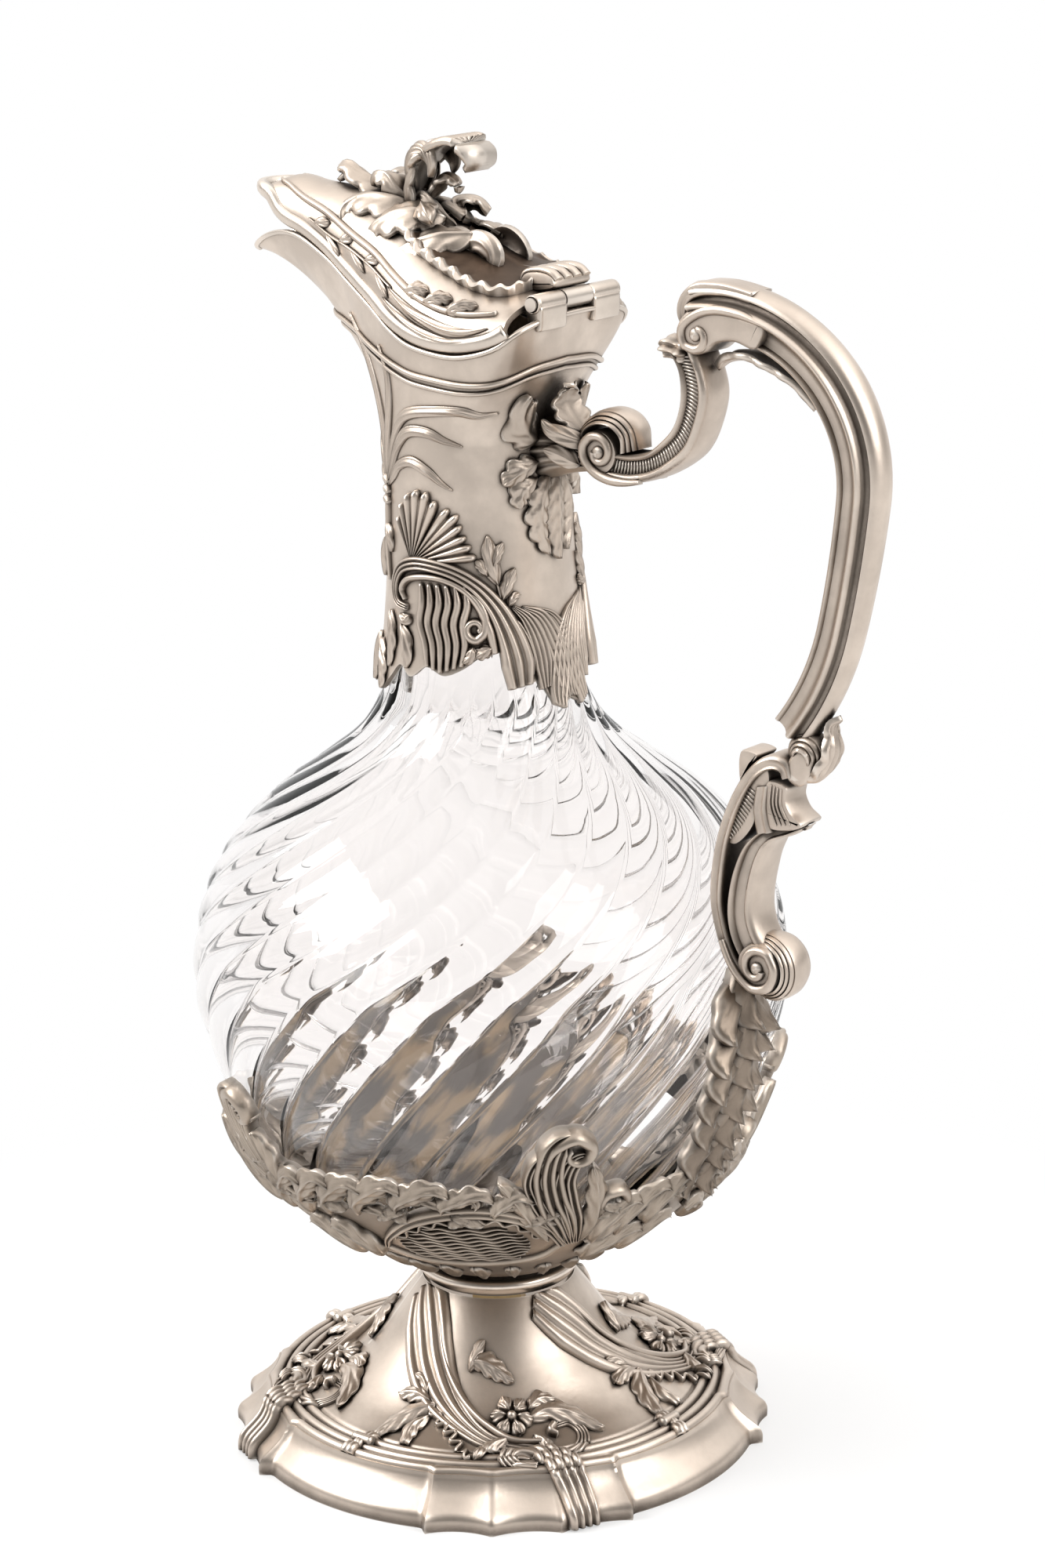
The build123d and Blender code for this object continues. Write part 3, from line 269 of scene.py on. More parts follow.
def tarnish_and_shade_group():
    """Aged silver: dark in its hollows from oxide and from painted shade, bright where it is rubbed, with
    faint clouds and scratches.
    """
    tree, given, out = group_of("aged_shaded_silver", [
        ("Bright", "NodeSocketColor", (0.8, 0.78, 0.74, 1)),
        ("Dark", "NodeSocketColor", (0.1, 0.08, 0.06, 1)),
        ("Hollow Reach", "NodeSocketFloat", 0.002),
        ("Hollow Depth", "NodeSocketFloat", 1.0),
        ("Cloud Scale", "NodeSocketFloat", 60.0),
        ("Grain Scale", "NodeSocketFloat", 900.0),
        ("Grain Height", "NodeSocketFloat", 0.1),
        ("Roughness", "NodeSocketFloat", 0.3),
    ], [("Color", "NodeSocketColor"), ("Roughness", "NodeSocketFloat"), ("Normal", "NodeSocketVector")])
    place = node(tree, "ShaderNodeTexCoord").outputs["Object"]
    # Ambient occlusion darkens the hollows: partly the oxide that lies in them, partly painted shade.
    hollow = node(tree, "ShaderNodeAmbientOcclusion", samples=6)
    tree.links.new(given.outputs["Hollow Reach"], hollow.inputs["Distance"])
    open_share = remapped(tree, hollow.outputs["AO"], 0.30, 0.97)
    cloud = node(tree, "ShaderNodeTexNoise", {"Detail": 5.0, "Roughness": 0.6},
                 {"Vector": place, "Scale": given.outputs["Cloud Scale"]})
    cloud_share = remapped(tree, cloud.outputs["Fac"], 0.35, 0.7)
    shut = combined(tree, "SUBTRACT", 1.0, open_share)
    # The occluded share, scaled by the depth: oxide in the hollows together with painted shade.
    patina_and_shade = combined(tree, "MULTIPLY", shut, given.outputs["Hollow Depth"])
    cloudy = combined(tree, "MULTIPLY", combined(tree, "SUBTRACT", 1.0, cloud_share), 0.22)
    dark_share = combined(tree, "MINIMUM", combined(tree, "ADD", patina_and_shade, cloudy), 1.0)
    colour = mixed(tree, dark_share, given.outputs["Bright"], given.outputs["Dark"])
    edge = remapped(tree, node(tree, "ShaderNodeNewGeometry").outputs["Pointiness"], 0.53, 0.62)
    worn = mixed(tree, combined(tree, "MULTIPLY", edge, 0.55), colour, (0.93, 0.86, 0.78, 1))
    tree.links.new(worn, out.inputs["Color"])
    rough = combined(tree, "ADD", given.outputs["Roughness"], combined(tree, "MULTIPLY", dark_share, 0.3))
    tree.links.new(rough, out.inputs["Roughness"])
    grain = node(tree, "ShaderNodeTexNoise", {"Detail": 3.0},
        {"Vector": place, "Scale": given.outputs["Grain Scale"]})
    bump = node(tree, "ShaderNodeBump", {"Distance": 0.0002},
                {"Strength": given.outputs["Grain Height"], "Height": grain.outputs["Fac"]})
    tree.links.new(bump.outputs["Normal"], out.inputs["Normal"])
    return tree


aged_shaded_silver = tarnish_and_shade_group()


def new_material(name):
    """A material with its node tree and its main shader."""
    made = bpy.data.materials.new(name)
    made.use_nodes = True
    return made, made.node_tree, made.node_tree.nodes["Principled BSDF"]


def silver_finish(name, bright, dark, reach, depth, roughness):
    """Silver whose hollows go dark over a reach in metres."""
    made, tree, shader = new_material(name)
    finish = tree.nodes.new("ShaderNodeGroup")
    finish.node_tree = aged_shaded_silver
    for label, value in (
            ("Bright", bright),
            ("Dark", dark),
            ("Hollow Reach", reach),
            ("Hollow Depth", depth),
            ("Roughness", roughness)):
        finish.inputs[label].default_value = value
    shader.inputs["Metallic"].default_value = 1.0
    tree.links.new(finish.outputs["Color"], shader.inputs["Base Color"])
    tree.links.new(finish.outputs["Roughness"], shader.inputs["Roughness"])
    tree.links.new(finish.outputs["Normal"], shader.inputs["Normal"])
    return made


# The dark colours below are oxide in the hollows and painted shade from ambient occlusion; the wide reach
# of satin_silver paints shade on the plain silver round the ornament.
warm_silver = (0.79, 0.68, 0.582, 1)
oxide_and_shade, leaf_oxide_and_shade = (0.045, 0.032, 0.024, 1), (0.025, 0.017, 0.012, 1)
calyx_oxide_and_shade, shade_sheet_dark = (0.028, 0.02, 0.015, 1), (0.015, 0.01, 0.008, 1)
brown_oxide_and_shade = (0.02, 0.014, 0.01, 1)
satin_silver = silver_finish("satin_silver", warm_silver, oxide_and_shade, 0.0070, 0.95, 0.33)
chased_silver = silver_finish("chased_silver", (0.75, 0.642, 0.548, 1), oxide_and_shade, 0.0045, 1.0, 0.35)
bright_silver = silver_finish("bright_silver", (0.87, 0.765, 0.665, 1), oxide_and_shade, 0.0018, 0.9, 0.28)
leaf_silver = silver_finish("leaf_silver", (0.68, 0.58, 0.49, 1), leaf_oxide_and_shade, 0.0065, 1.0, 0.36)
calyx_silver = silver_finish("calyx_silver", (0.50, 0.42, 0.345, 1), calyx_oxide_and_shade, 0.0036, 1.0, 0.38)
# Nearly black silver for the sheet inside the lid's shell; it paints the shade of the hollow.
shade_sheet_silver = silver_finish("shade_sheet_silver", (0.13, 0.09, 0.065, 1), shade_sheet_dark, 0.0040, 1.0, 0.45)
dark_silver = silver_finish("dark_silver", (0.37, 0.30, 0.24, 1), brown_oxide_and_shade, 0.0040, 1.0, 0.40)


def crystal_finish():
    """Clear crystal that lets most light through its shadow."""
    made, tree, shader = new_material("polished_crystal")
    place = node(tree, "ShaderNodeTexCoord").outputs["Object"]
    ripple = node(tree, "ShaderNodeTexNoise", {"Scale": 55.0, "Detail": 2.0}, {"Vector": place})
    bump = node(tree, "ShaderNodeBump", {"Strength": 0.05, "Distance": 0.001},
        {"Height": ripple.outputs["Fac"]})
    tree.links.new(bump.outputs["Normal"], shader.inputs["Normal"])
    shader.inputs["Base Color"].default_value = (0.99, 0.968, 0.958, 1)
    shader.inputs["Roughness"].default_value = 0.0
    shader.inputs["IOR"].default_value = 1.38
    shader.inputs["Specular IOR Level"].default_value = 0.3
    shader.inputs["Transmission Weight"].default_value = 1.0
    clear = node(tree, "ShaderNodeBsdfTransparent", {"Color": (0.93, 0.92, 0.91, 1)})
    seen = node(tree, "ShaderNodeLightPath")
    blend = node(tree, "ShaderNodeMixShader", links={0: seen.outputs["Is Shadow Ray"], 1: shader.outputs[0],
        2: clear.outputs[0]})
    tree.links.new(blend.outputs[0], tree.nodes["Material Output"].inputs["Surface"])
    return made


def plaster_finish(name, ground, patches, scale):
    """Old cement seen through the crystal, with patches of another colour."""
    made, tree, shader = new_material(name)
    place = node(tree, "ShaderNodeTexCoord").outputs["Object"]
    patch = node(tree, "ShaderNodeTexNoise", {"Scale": scale, "Detail": 3.0}, {"Vector": place})
    share = remapped(tree, patch.outputs["Fac"], 0.42, 0.62)
    tree.links.new(mixed(tree, share, ground, patches), shader.inputs["Base Color"])
    shader.inputs["Roughness"].default_value = 0.6
    return made


def brass_finish():
    """Turned brass, for the fixings inside."""
    made, tree, shader = new_material("turned_brass")
    place = node(tree, "ShaderNodeTexCoord").outputs["Object"]
    rings = node(tree, "ShaderNodeTexNoise", {"Scale": 500.0, "Detail": 2.0}, {"Vector": place})
    colour = mixed(tree, rings.outputs["Fac"], (0.55, 0.42, 0.22, 1), (0.72, 0.58, 0.34, 1))
    tree.links.new(colour, shader.inputs["Base Color"])
    shader.inputs["Metallic"].default_value = 1.0
    shader.inputs["Roughness"].default_value = 0.35
    return made


crystal, brass = crystal_finish(), brass_finish()
cement = plaster_finish("old_cement", (0.066, 0.058, 0.051, 1), (0.24, 0.18, 0.112, 1), 62.0)
pale_plaster = plaster_finish("pale_plaster", (0.80, 0.78, 0.75, 1), (0.70, 0.67, 0.62, 1), 90.0)
for name, part in frame["nodes"].items():
    finish = brass if name.startswith("fixing") else cement if "bedding" in name else satin_silver
    part.data.materials.clear()
    part.data.materials.append(finish)


# Turned surfaces, and skins for ornament to lie on

lower_shape = [(0.277, 0), (0.481, 0.124), (0.650, 0.234), (0.733, 0.323), (0.799, 0.419), (0.865, 0.548),
    (0.949, 0.774), (1, 1)]
upper_shape = [(0.983, 0.19), (0.905, 0.375), (0.763, 0.531), (0.590, 0.656), (0.381, 0.766),
    (0.199, 0.875), (0.095, 1.0), (0.047, 1.156), (0.0, 1.594)]
crystal_line = [(share * belly_radius, glass_base + rise * belly_rise) for share, rise in lower_shape]
for share, rise in upper_shape:
    narrowing = neck_glass_radius + share * (belly_radius - neck_glass_radius)
    crystal_line.append((narrowing, belly_z + rise * shoulder_rise))
crystal_line.append((neck_glass_radius, glass_top))
crystal_curve = smooth_line(crystal_line, 400)


def moved_out(curve, distance):
    """A radius and height curve moved square to itself."""
    along = headings(curve)
    return curve + distance * np.stack([along[:, 1], -along[:, 0]], 1)


def stretch(curve, low, high, count):
    """The part of a rising curve between two heights."""
    z = np.linspace(low, high, 200)
    r = np.interp(z, curve[:, 1], curve[:, 0])
    return resampled(np.stack([r, z], 1), count)


def ring_rows(curve, count=128):
    """Rows of points of a turned shape: one row for each point of its radius and height curve."""
    angle = np.arange(count) * 2 * math.pi / count
    r, z = curve[:, 0][:, None], curve[:, 1][:, None]
    return np.stack([r * np.cos(angle), r * np.sin(angle), z + 0 * angle], 2)


def within_turn(azimuth):
    """An azimuth brought between -180 and 180 degrees."""
    return (azimuth + 180) % 360 - 180


class Skin:
    """A surface that ornament lies on: a grid of points with columns at azimuths and rows at levels."""

    def __init__(self, azimuths, levels, points):
        self.azimuths, self.levels, self.points = azimuths, levels, points
        along, up = np.gradient(points, axis=0), np.gradient(points, axis=1)
        self.normals = unit(np.cross(along, up))

    def at(self, azimuth, level, height):
        """Points over the skin."""
        a = np.interp(azimuth, self.azimuths, np.arange(len(self.azimuths)))
        b = np.interp(level, self.levels, np.arange(len(self.levels)))
        i = np.clip(a.astype(int), 0, len(self.azimuths) - 2)
        j = np.clip(b.astype(int), 0, len(self.levels) - 2)
        u, v = (a - i)[..., None], (b - j)[..., None]

        def between(field):
            low = field[i, j] * (1 - v) + field[i, j + 1] * v
            high = field[i + 1, j] * (1 - v) + field[i + 1, j + 1] * v
            return low * (1 - u) + high * u

        return between(self.points) + between(self.normals) * height[..., None]


def turned_skin(curve, levels=None):
    """The skin of a turned shape. Its levels are the heights of the curve unless others are given."""
    azimuths = np.linspace(-180, 180, 361)
    rows = np.stack([
        np.cos(np.radians(azimuths))[:, None] * curve[:, 0],
        np.sin(np.radians(azimuths))[:, None] * curve[:, 0],
        np.ones(len(azimuths))[:, None] * curve[:, 1],
    ], 2)
    return Skin(azimuths, curve[:, 1] if levels is None else levels, rows)


# Geometry node trees

def geometry_tree(name, *sockets):
    """A new tree that takes a geometry and some named values; also its inputs and its output."""
    tree = bpy.data.node_groups.new(name, "GeometryNodeTree")
    for label, kind in (("Geometry", "Geometry"),) + sockets:
        tree.interface.new_socket(label, in_out="INPUT", socket_type="NodeSocket" + kind)
    tree.interface.new_socket("Geometry", in_out="OUTPUT", socket_type="NodeSocketGeometry")
    given, out = tree.nodes.new("NodeGroupInput"), tree.nodes.new("NodeGroupOutput")
    return tree, given.outputs, out.inputs[0]


def hand_out(tree, geometry, material, out):
    """Makes copies real, gives them their material and links them to the tree's output."""
    real = node(tree, "GeometryNodeRealizeInstances", links={0: geometry})
    painted = node(tree, "GeometryNodeSetMaterial",
        links={"Geometry": real.outputs[0], "Material": material})
    tree.links.new(painted.outputs[0], out)
    return tree


def grown_mesh(holder, tree, values):
    """Runs a geometry node tree on an object, and gives what it makes as a plain mesh."""
    step = holder.modifiers.new(tree.name, "NODES")
    step.node_group = tree
    for item in tree.interface.items_tree:
        if getattr(item, "in_out", "") == "INPUT" and item.name in values:
            step[item.identifier] = values[item.name]
    bpy.context.view_layer.update()
    made = bpy.data.meshes.new_from_object(holder.evaluated_get(bpy.context.evaluated_depsgraph_get()))
    bpy.data.objects.remove(holder)
    made.polygons.foreach_set("use_smooth", [True] * len(made.polygons))
    return made


# Crystal

def crystal_piece():
    """The swirled crystal body: a turned wall whose lobes are cut by a geometry node tree."""
    outside = stretch(crystal_curve, glass_base, glass_top, 170)
    inner_curve = moved_out(crystal_curve, -crystal_wall)
    floor_z = glass_base + crystal_floor
    inside = stretch(inner_curve, floor_z, glass_top, 90)[::-1]
    wall = np.vstack([[(0.4, glass_base)], outside, inside, [(0.4, floor_z)]])
    shares = np.concatenate([[0], np.ones(len(outside)), np.zeros(len(inside)), [0]])
    columns = lobe_count * 12
    casting = Casting()
    rows = ring_rows(wall, columns)
    casting.grid(rows, across_closed=True, caps=True)
    mesh = bpy.data.meshes.new("crystal_wall")
    mesh.from_pydata((np.vstack(casting.points) * MM).tolist(), [], casting.faces)
    share = mesh.attributes.new("lobe_share", "FLOAT", "POINT")
    share.data.foreach_set("value", np.repeat(shares, columns).astype(np.float32))
    blank = bpy.data.objects.new("crystal_blank", mesh)
    bpy.context.scene.collection.objects.link(blank)
    cut = grown_mesh(blank, lobe_tree(), {"Lobes": float(lobe_count), "Depth": lobe_depth * MM,
        "Start": swirl_start * MM, "End": swirl_end * MM, "Knee": turn_knee * MM,
        "Turn Low": math.radians(turn_low) / MM, "Turn High": math.radians(turn_high) / MM,
        "Material": crystal})
    return finished("swirled_crystal", cut, JUG, crystal, ["crystal_body"])


def lobe_tree():
    """Turns each level of a wall about the axis and sinks it between the lobes."""
    sizes = ("Lobes", "Depth", "Start", "End", "Knee", "Turn Low", "Turn High")
    sockets = [(label, "Float") for label in sizes] + [("Material", "Material")]
    tree, g, out = geometry_tree("cut_lobes", *sockets)

    def maths(operation, *values):
        return combined(tree, operation, *values)

    position = tree.nodes.new("GeometryNodeInputPosition").outputs[0]
    x, y, z = node(tree, "ShaderNodeSeparateXYZ", links={0: position}).outputs
    radius = maths("SQRT", maths("ADD", maths("MULTIPLY", x, x), maths("MULTIPLY", y, y)))
    angle = maths("ARCTAN2", y, x)
    level = maths("MINIMUM", maths("MAXIMUM", z, g["Start"]), g["End"])
    slow = maths("MULTIPLY", maths("SUBTRACT", maths("MINIMUM", level, g["Knee"]), g["Start"]),
        g["Turn Low"])
    fast = maths("MULTIPLY", maths("MAXIMUM", maths("SUBTRACT", level, g["Knee"]), 0.0), g["Turn High"])
    turned = maths("ADD", angle, maths("ADD", slow, fast))
    cycle = maths("ADD", maths("DIVIDE", maths("MULTIPLY", angle, g["Lobes"]), 2 * math.pi), 0.5)
    off_crest = maths("MULTIPLY", maths("ABSOLUTE", maths("SUBTRACT", maths("FRACT", cycle), 0.5)), 2.0)
    rise = maths("DIVIDE", maths("SUBTRACT", z, g["Start"]), maths("SUBTRACT", g["End"], g["Start"]))
    # The lobes are shallow at the calyx and grow shallow again towards the neck
    fade_in = maths("ADD", 0.25, maths("MULTIPLY", rise, 4.5))
    fade_out = maths("ADD", 0.22, maths("MULTIPLY", maths("SUBTRACT", 1.0, rise), 1.2))
    fade = maths("MINIMUM", maths("MINIMUM", fade_in, fade_out), 1.0)
    fade = maths("MAXIMUM", fade, 0.0)
    named = node(tree, "GeometryNodeInputNamedAttribute", {"Name": "lobe_share"}, data_type="FLOAT")
    sink = maths("MULTIPLY", maths("POWER", off_crest, 2.0), maths("MULTIPLY", g["Depth"], fade))
    sink = maths("MULTIPLY", sink, named.outputs[0])
    sunk = maths("SUBTRACT", radius, sink)
    place = node(tree, "ShaderNodeCombineXYZ", links={0: maths("MULTIPLY", sunk, maths("COSINE", turned)),
        1: maths("MULTIPLY", sunk, maths("SINE", turned)), 2: z})
    moved = node(tree, "GeometryNodeSetPosition",
        links={"Geometry": g["Geometry"], "Position": place.outputs[0]})
    return hand_out(tree, moved.outputs[0], g["Material"], out)


crystal_piece()


# Foot

def foot_curve():
    """Radius and height from the rim in to the stem, with a cove and three reeds."""
    rim = [(0, 0.0), (0, 2.2), (0.5, 3.4), (1.6, 4.5), (2.6, 5.4), (4.3, 7.2), (5.5, 9.2), (5.9, 10.4)]
    line = [(foot_radius - inwards, z) for inwards, z in rim]
    start = foot_radius - 6.1
    for reed in range(3):
        outer, base = start - 2.4 * reed, 10.3 + 0.35 * reed
        reed_line = [(0, 0), (0.35, 0.8), (1.15, 1.25), (1.95, 0.8), (2.3, 0.15)]
        line += [(outer - inwards, base + z) for inwards, z in reed_line]
    line += [(43.8, 11.9), (42.9, 12.2), (41.0, 12.9), (37.0, 14.6), (33.0, 17.1), (29.0, 20.6),
        (25.5, 24.3), (22.8, 28.0), (20.4, 31.4), (18.2, 34.4), (17.0, stem_height)]
    return smooth_line(line, 150)


corner_half_angle = 21.7
cusp_reach, niche_depth = 2.6, 2.3
swell_from = 49.0


def corner_swell(azimuth):
    """How far the rim stands out at an azimuth: four cusps with hollows between, at each corner."""
    off = np.asarray(azimuth) % 90 - 45
    cusps = np.array([-corner_half_angle, -8.0, 6.5, corner_half_angle])
    niche = np.clip(np.searchsorted(cusps, off) - 1, 0, 2)
    share = np.clip((off - cusps[niche]) / (cusps[niche + 1] - cusps[niche]), 0, 1)
    hollow = np.sin(share * math.pi) ** 0.7
    inside = (np.abs(off) < corner_half_angle) * 1.0
    edge = np.exp(-((np.abs(off) - corner_half_angle) / 0.9) ** 2) * (1 - inside)
    return inside * (cusp_reach - niche_depth * hollow) + edge * cusp_reach


foot_line = foot_curve()
foot_columns = 541
foot_azimuths = np.linspace(-180, 180, foot_columns)
foot_reach = np.clip((foot_line[:, 0] - swell_from) / (foot_radius - swell_from), 0, 1)
foot_grow = corner_swell(foot_azimuths)[:, None] * foot_reach[None, :] ** 0.8
foot_r = foot_line[:, 0][None, :] + foot_grow
foot_points = np.stack([
    foot_r * np.cos(np.radians(foot_azimuths))[:, None],
    foot_r * np.sin(np.radians(foot_azimuths))[:, None],
    np.ones(foot_columns)[:, None] * foot_line[:, 1],
], 2)
foot_levels = walked(foot_line)
foot_skin = Skin(foot_azimuths, foot_levels, foot_points)


def foot_piece():
    """The foot: its chased top, and a plain hollow under it."""
    casting = Casting()
    hollow = [(17.0, stem_height), (15.5, stem_height - 1.6), (21.0, 28.0), (30.0, 18.0), (42.0, 10.5),
        (50.0, 8.0), (54.0, 3.0), (54.5, 0.0)]
    under = ring_rows(np.array(hollow), foot_columns - 1)
    under = np.transpose(under, (1, 0, 2))
    turn = np.radians(-180)
    spun = under.copy()
    spun[..., 0] = under[..., 0] * math.cos(turn) - under[..., 1] * math.sin(turn)
    spun[..., 1] = under[..., 0] * math.sin(turn) + under[..., 1] * math.cos(turn)
    casting.grid(np.concatenate([foot_points[:-1], spun], axis=1), along_closed=True, across_closed=True)
    return finished("chased_foot", casting, JUG, satin_silver, ["foot", "foot_corner_scrolls"],
        sharp=50)


foot_piece()


def turned_piece(name, line, material, nodes):
    """A closed ring turned from a line of radius and height."""
    casting = Casting()
    casting.grid(ring_rows(np.asarray(line, float), 160), along_closed=True, across_closed=True)
    return finished(name, casting, JUG, material, nodes, sharp=40)


collar_mould = smooth_line([
    (15.6, stem_height), (16.6, stem_height + 0.5), (17.2, stem_height + 1.2), (collar_radius, 38.6),
    (17.6, 39.6), (16.4, 40.2), (15.9, 40.6), (15.6, collar_top)], 40)
collar_line = np.vstack([[(3.2, stem_height), (15.6, stem_height)], collar_mould, [(3.2, collar_top)]])
turned_piece("collar", collar_line, bright_silver, ["stem_collar"])

# Calyx

calyx_curve = moved_out(crystal_curve, bedding + calyx_wall)
calyx_edge_z = glass_base + 28.0
calyx_low = glass_base - bedding - calyx_wall
scallops, scallop_depth = 14, 2.6


def calyx_edge(azimuths):
    """Height of the scalloped edge of the cup."""
    wave = 0.5 + 0.5 * np.cos(np.radians(azimuths * scallops))
    return calyx_edge_z - 1.2 - scallop_depth * (1 - wave ** 0.6)


def uneven_rings(lines):
    """A closed wall of rings. Each line gives a radius and a height for each of its azimuths."""
    lines = np.array(lines)
    c, s = np.cos(np.radians(calyx_azimuths)), np.sin(np.radians(calyx_azimuths))
    casting = Casting()
    rings = np.stack([lines[..., 0] * c, lines[..., 0] * s, lines[..., 1]], 2)
    casting.grid(rings, along_closed=True, across_closed=True)
    return casting


def ring_on(curve, z):
    """Radius and height of a curve at a height for each azimuth."""
    return np.stack([np.interp(z, curve[:, 1], curve[:, 0]), z], 1)


calyx_azimuths = np.arange(280) * 360 / 280


def calyx_piece():
    """The cup that holds the crystal, with a hole for the stud."""
    edge = calyx_edge(calyx_azimuths)
    rows = [ring_on(calyx_curve, calyx_low + (edge - calyx_low) * share) for share in np.linspace(0, 1, 40)]
    inner = moved_out(crystal_curve, bedding + 0.1)
    for share in np.linspace(1, 0, 20):
        rows.append(ring_on(inner, calyx_low + 1.2 + (edge - 0.1 - calyx_low - 1.2) * share))
    for radius, z in ((3.5, calyx_low + 1.2), (3.5, collar_top), (16.4, collar_top)):
        rows.append(np.stack([0 * edge + radius, 0 * edge + z], 1))
    return finished("calyx_cup", uneven_rings(rows), JUG, dark_silver, ["calyx"], sharp=50)


calyx_piece()


def calyx_cement():
    """The cement between the cup and the crystal; it ends under the scalloped edge."""
    top = calyx_edge(calyx_azimuths) - 0.7
    rows = []
    for gap, shares in ((bedding, np.linspace(0, 1, 30)), (0.04, np.linspace(1, 0, 30))):
        line = moved_out(crystal_curve, gap)
        rows += [ring_on(line, line[0, 1] + 0.3 + (top - line[0, 1] - 0.3) * share) for share in shares]
    return finished("calyx_cement", uneven_rings(rows), JUG, cement, ["calyx_bedding"])


calyx_cement()

# Neck mount with its flared mouth and spout

edge_points = [(27.6, 0.0, 20.6), (27.4, 8.0, 20.3), (27.0, 14.0, 19.5), (25.4, 18.3, 17.8),
    (22.0, 20.5, 15.1), (15.8, 21.5, 13.1), (8.9, 21.5, 12.5), (0.0, 20.8, 13.6), (-7.5, 18.8, 16.1),
    (-15.3, 15.9, 20.1), (-24.0, 13.0, 24.5), (-33.1, 10.1, 29.0), (-42.1, 8.2, 32.4), (-48.5, 6.5, 32.6),
    (-56.0, 4.0, 30.6), (-59.7, 2.1, 28.6), (-60.8, 0.0, 27.6)]
edge_azimuths = [0, 20, 38, 50, 60, 72, 84, 95, 108, 121, 134, 147, 156, 163, 171, 176, 180]
# Where the wall comes from below each of those points: forward or back, to the side, and down
edge_slopes = [(-3.2, 0, -8.5), (-3.0, -0.4, -8), (-2.6, -1.2, -7.5), (-2, -1.8, -7), (-1.0, -2.0, -6),
    (-0.4, -1.6, -5), (0, -1.0, -5), (0.4, -0.8, -5.5), (1.2, -0.8, -6), (2.2, -0.8, -7), (3.6, -1.0, -8.5),
    (5, -1.6, -9), (7, -2.2, -9.5), (9, -2.6, -9.5), (15, -2.4, -6.5), (19, -1.4, -4), (22, 0, -3.0)]
edge_rises = [6, 6, 6, 5.5, 5, 4.5, 4.5, 5, 6, 6.5, 7, 7, 7, 6.5, 6.5, 6.5, 6.5]
throat_z, skirt_low_z = horn_z - 7.0, belly_z + 60.0


def full_round(values, mirror=1.0):
    """Stations from the hinge to the spout, carried round the far side."""
    values = np.asarray(values, float)
    return np.concatenate([mirror * values[:0:-1], values])


def horn_skin():
    """The neck from its skirt up to the mouth edge, as columns at azimuths."""
    azimuths = np.linspace(-180, 180, 361)
    stations = np.concatenate([-np.array(edge_azimuths[:0:-1]), edge_azimuths])
    edge = np.array(edge_points)
    slope = np.array(edge_slopes)

    def across(field, mirror):
        return eased(stations, full_round(field, mirror), azimuths)

    top = np.stack([across(edge[:, 0], 1), across(edge[:, 1], -1), horn_z + across(edge[:, 2], 1)], 1)
    lean = np.stack([across(slope[:, 0], 1), across(slope[:, 1], -1), across(slope[:, 2], 1)], 1)
    rise = across(edge_rises, 1)
    a = np.radians(azimuths)
    ring = np.stack([neck_radius * np.cos(a), neck_radius * np.sin(a), 0 * a + throat_z], 1)
    straight = ring + np.stack([0 * a, 0 * a, rise], 1)
    # A level is called by the height of the neck at azimuth 84
    level_place = 180 + 84
    levels, columns = [], []
    mount_curve = moved_out(crystal_curve, bedding + mount_wall)
    for z in np.linspace(skirt_low_z, throat_z, 90)[:-1]:
        r = np.interp(z, mount_curve[:, 1], mount_curve[:, 0]) if z < glass_top - 1 else neck_radius
        columns.append(np.stack([r * np.cos(a), r * np.sin(a), 0 * a + z], 1))
        levels.append(z)
    for t in np.linspace(0, 1, 70):
        low_part = (1 - t) ** 3 * ring + 3 * (1 - t) ** 2 * t * straight
        columns.append(low_part + 3 * (1 - t) * t ** 2 * (top + lean) + t ** 3 * top)
        levels.append(columns[-1][level_place, 2])
    return Skin(azimuths, np.array(levels), np.transpose(np.array(columns), (1, 0, 2)))


neck_skin = horn_skin()
mouth_level = neck_skin.levels[-1]
mouth_line = neck_skin.points[:-1, -1]


def skirt_edge(azimuth):
    """Height of the irregular lower edge of the mount."""
    stations = [0, 10, 19, 27, 36, 44, 52, 62, 73, 84, 95, 104, 112, 122, 134, 148, 162, 180]
    heights = [171.5, 170.5, 176, 176, 182, 183, 182, 179.5, 178, 179.5, 177, 179, 176, 172.5, 173.5, 172,
        175, 173]
    return eased(stations, heights, np.abs(azimuth))


def neck_wall(parts):
    """A closed wall round the neck: each part gives its low and high levels, its shares and its height."""
    azimuths = neck_skin.azimuths[:-1]
    columns = []
    for low, high, shares, height in parts:
        for share in shares:
            columns.append(neck_skin.at(azimuths, low + (high - low) * share, 0 * azimuths + height))
    casting = Casting()
    casting.grid(np.array(columns), along_closed=True, across_closed=True)
    return casting


def neck_piece():
    """The mount from its irregular lower edge up to the mouth, and down again inside."""
    low = skirt_edge(neck_skin.azimuths[:-1])
    wall = neck_wall([
        (low, throat_z, np.linspace(0, 1, 60)[:-1], 0),
        (throat_z, mouth_level, np.linspace(0, 1, 70), 0),
        (throat_z, mouth_level, np.linspace(1, 0, 40), -mount_wall),
        (low + 0.2, throat_z, np.linspace(1, 0, 30)[1:], -mount_wall),
    ])
    return finished("neck_and_spout", wall, JUG, satin_silver, ["neck_mount"], sharp=50)


neck_piece()


def neck_plaster():
    """The plaster between the mount and the crystal; it ends inside the irregular edge."""
    low, high = skirt_edge(neck_skin.azimuths[:-1]) + 0.8, glass_top - 4.0
    wall = neck_wall([(low, high, np.linspace(0, 1, 40), -mount_wall - 0.02),
                      (low, high, np.linspace(1, 0, 40), -mount_wall - bedding + 0.04)])
    return finished("neck_plaster", wall, JUG, pale_plaster, ["neck_bedding"])


neck_plaster()


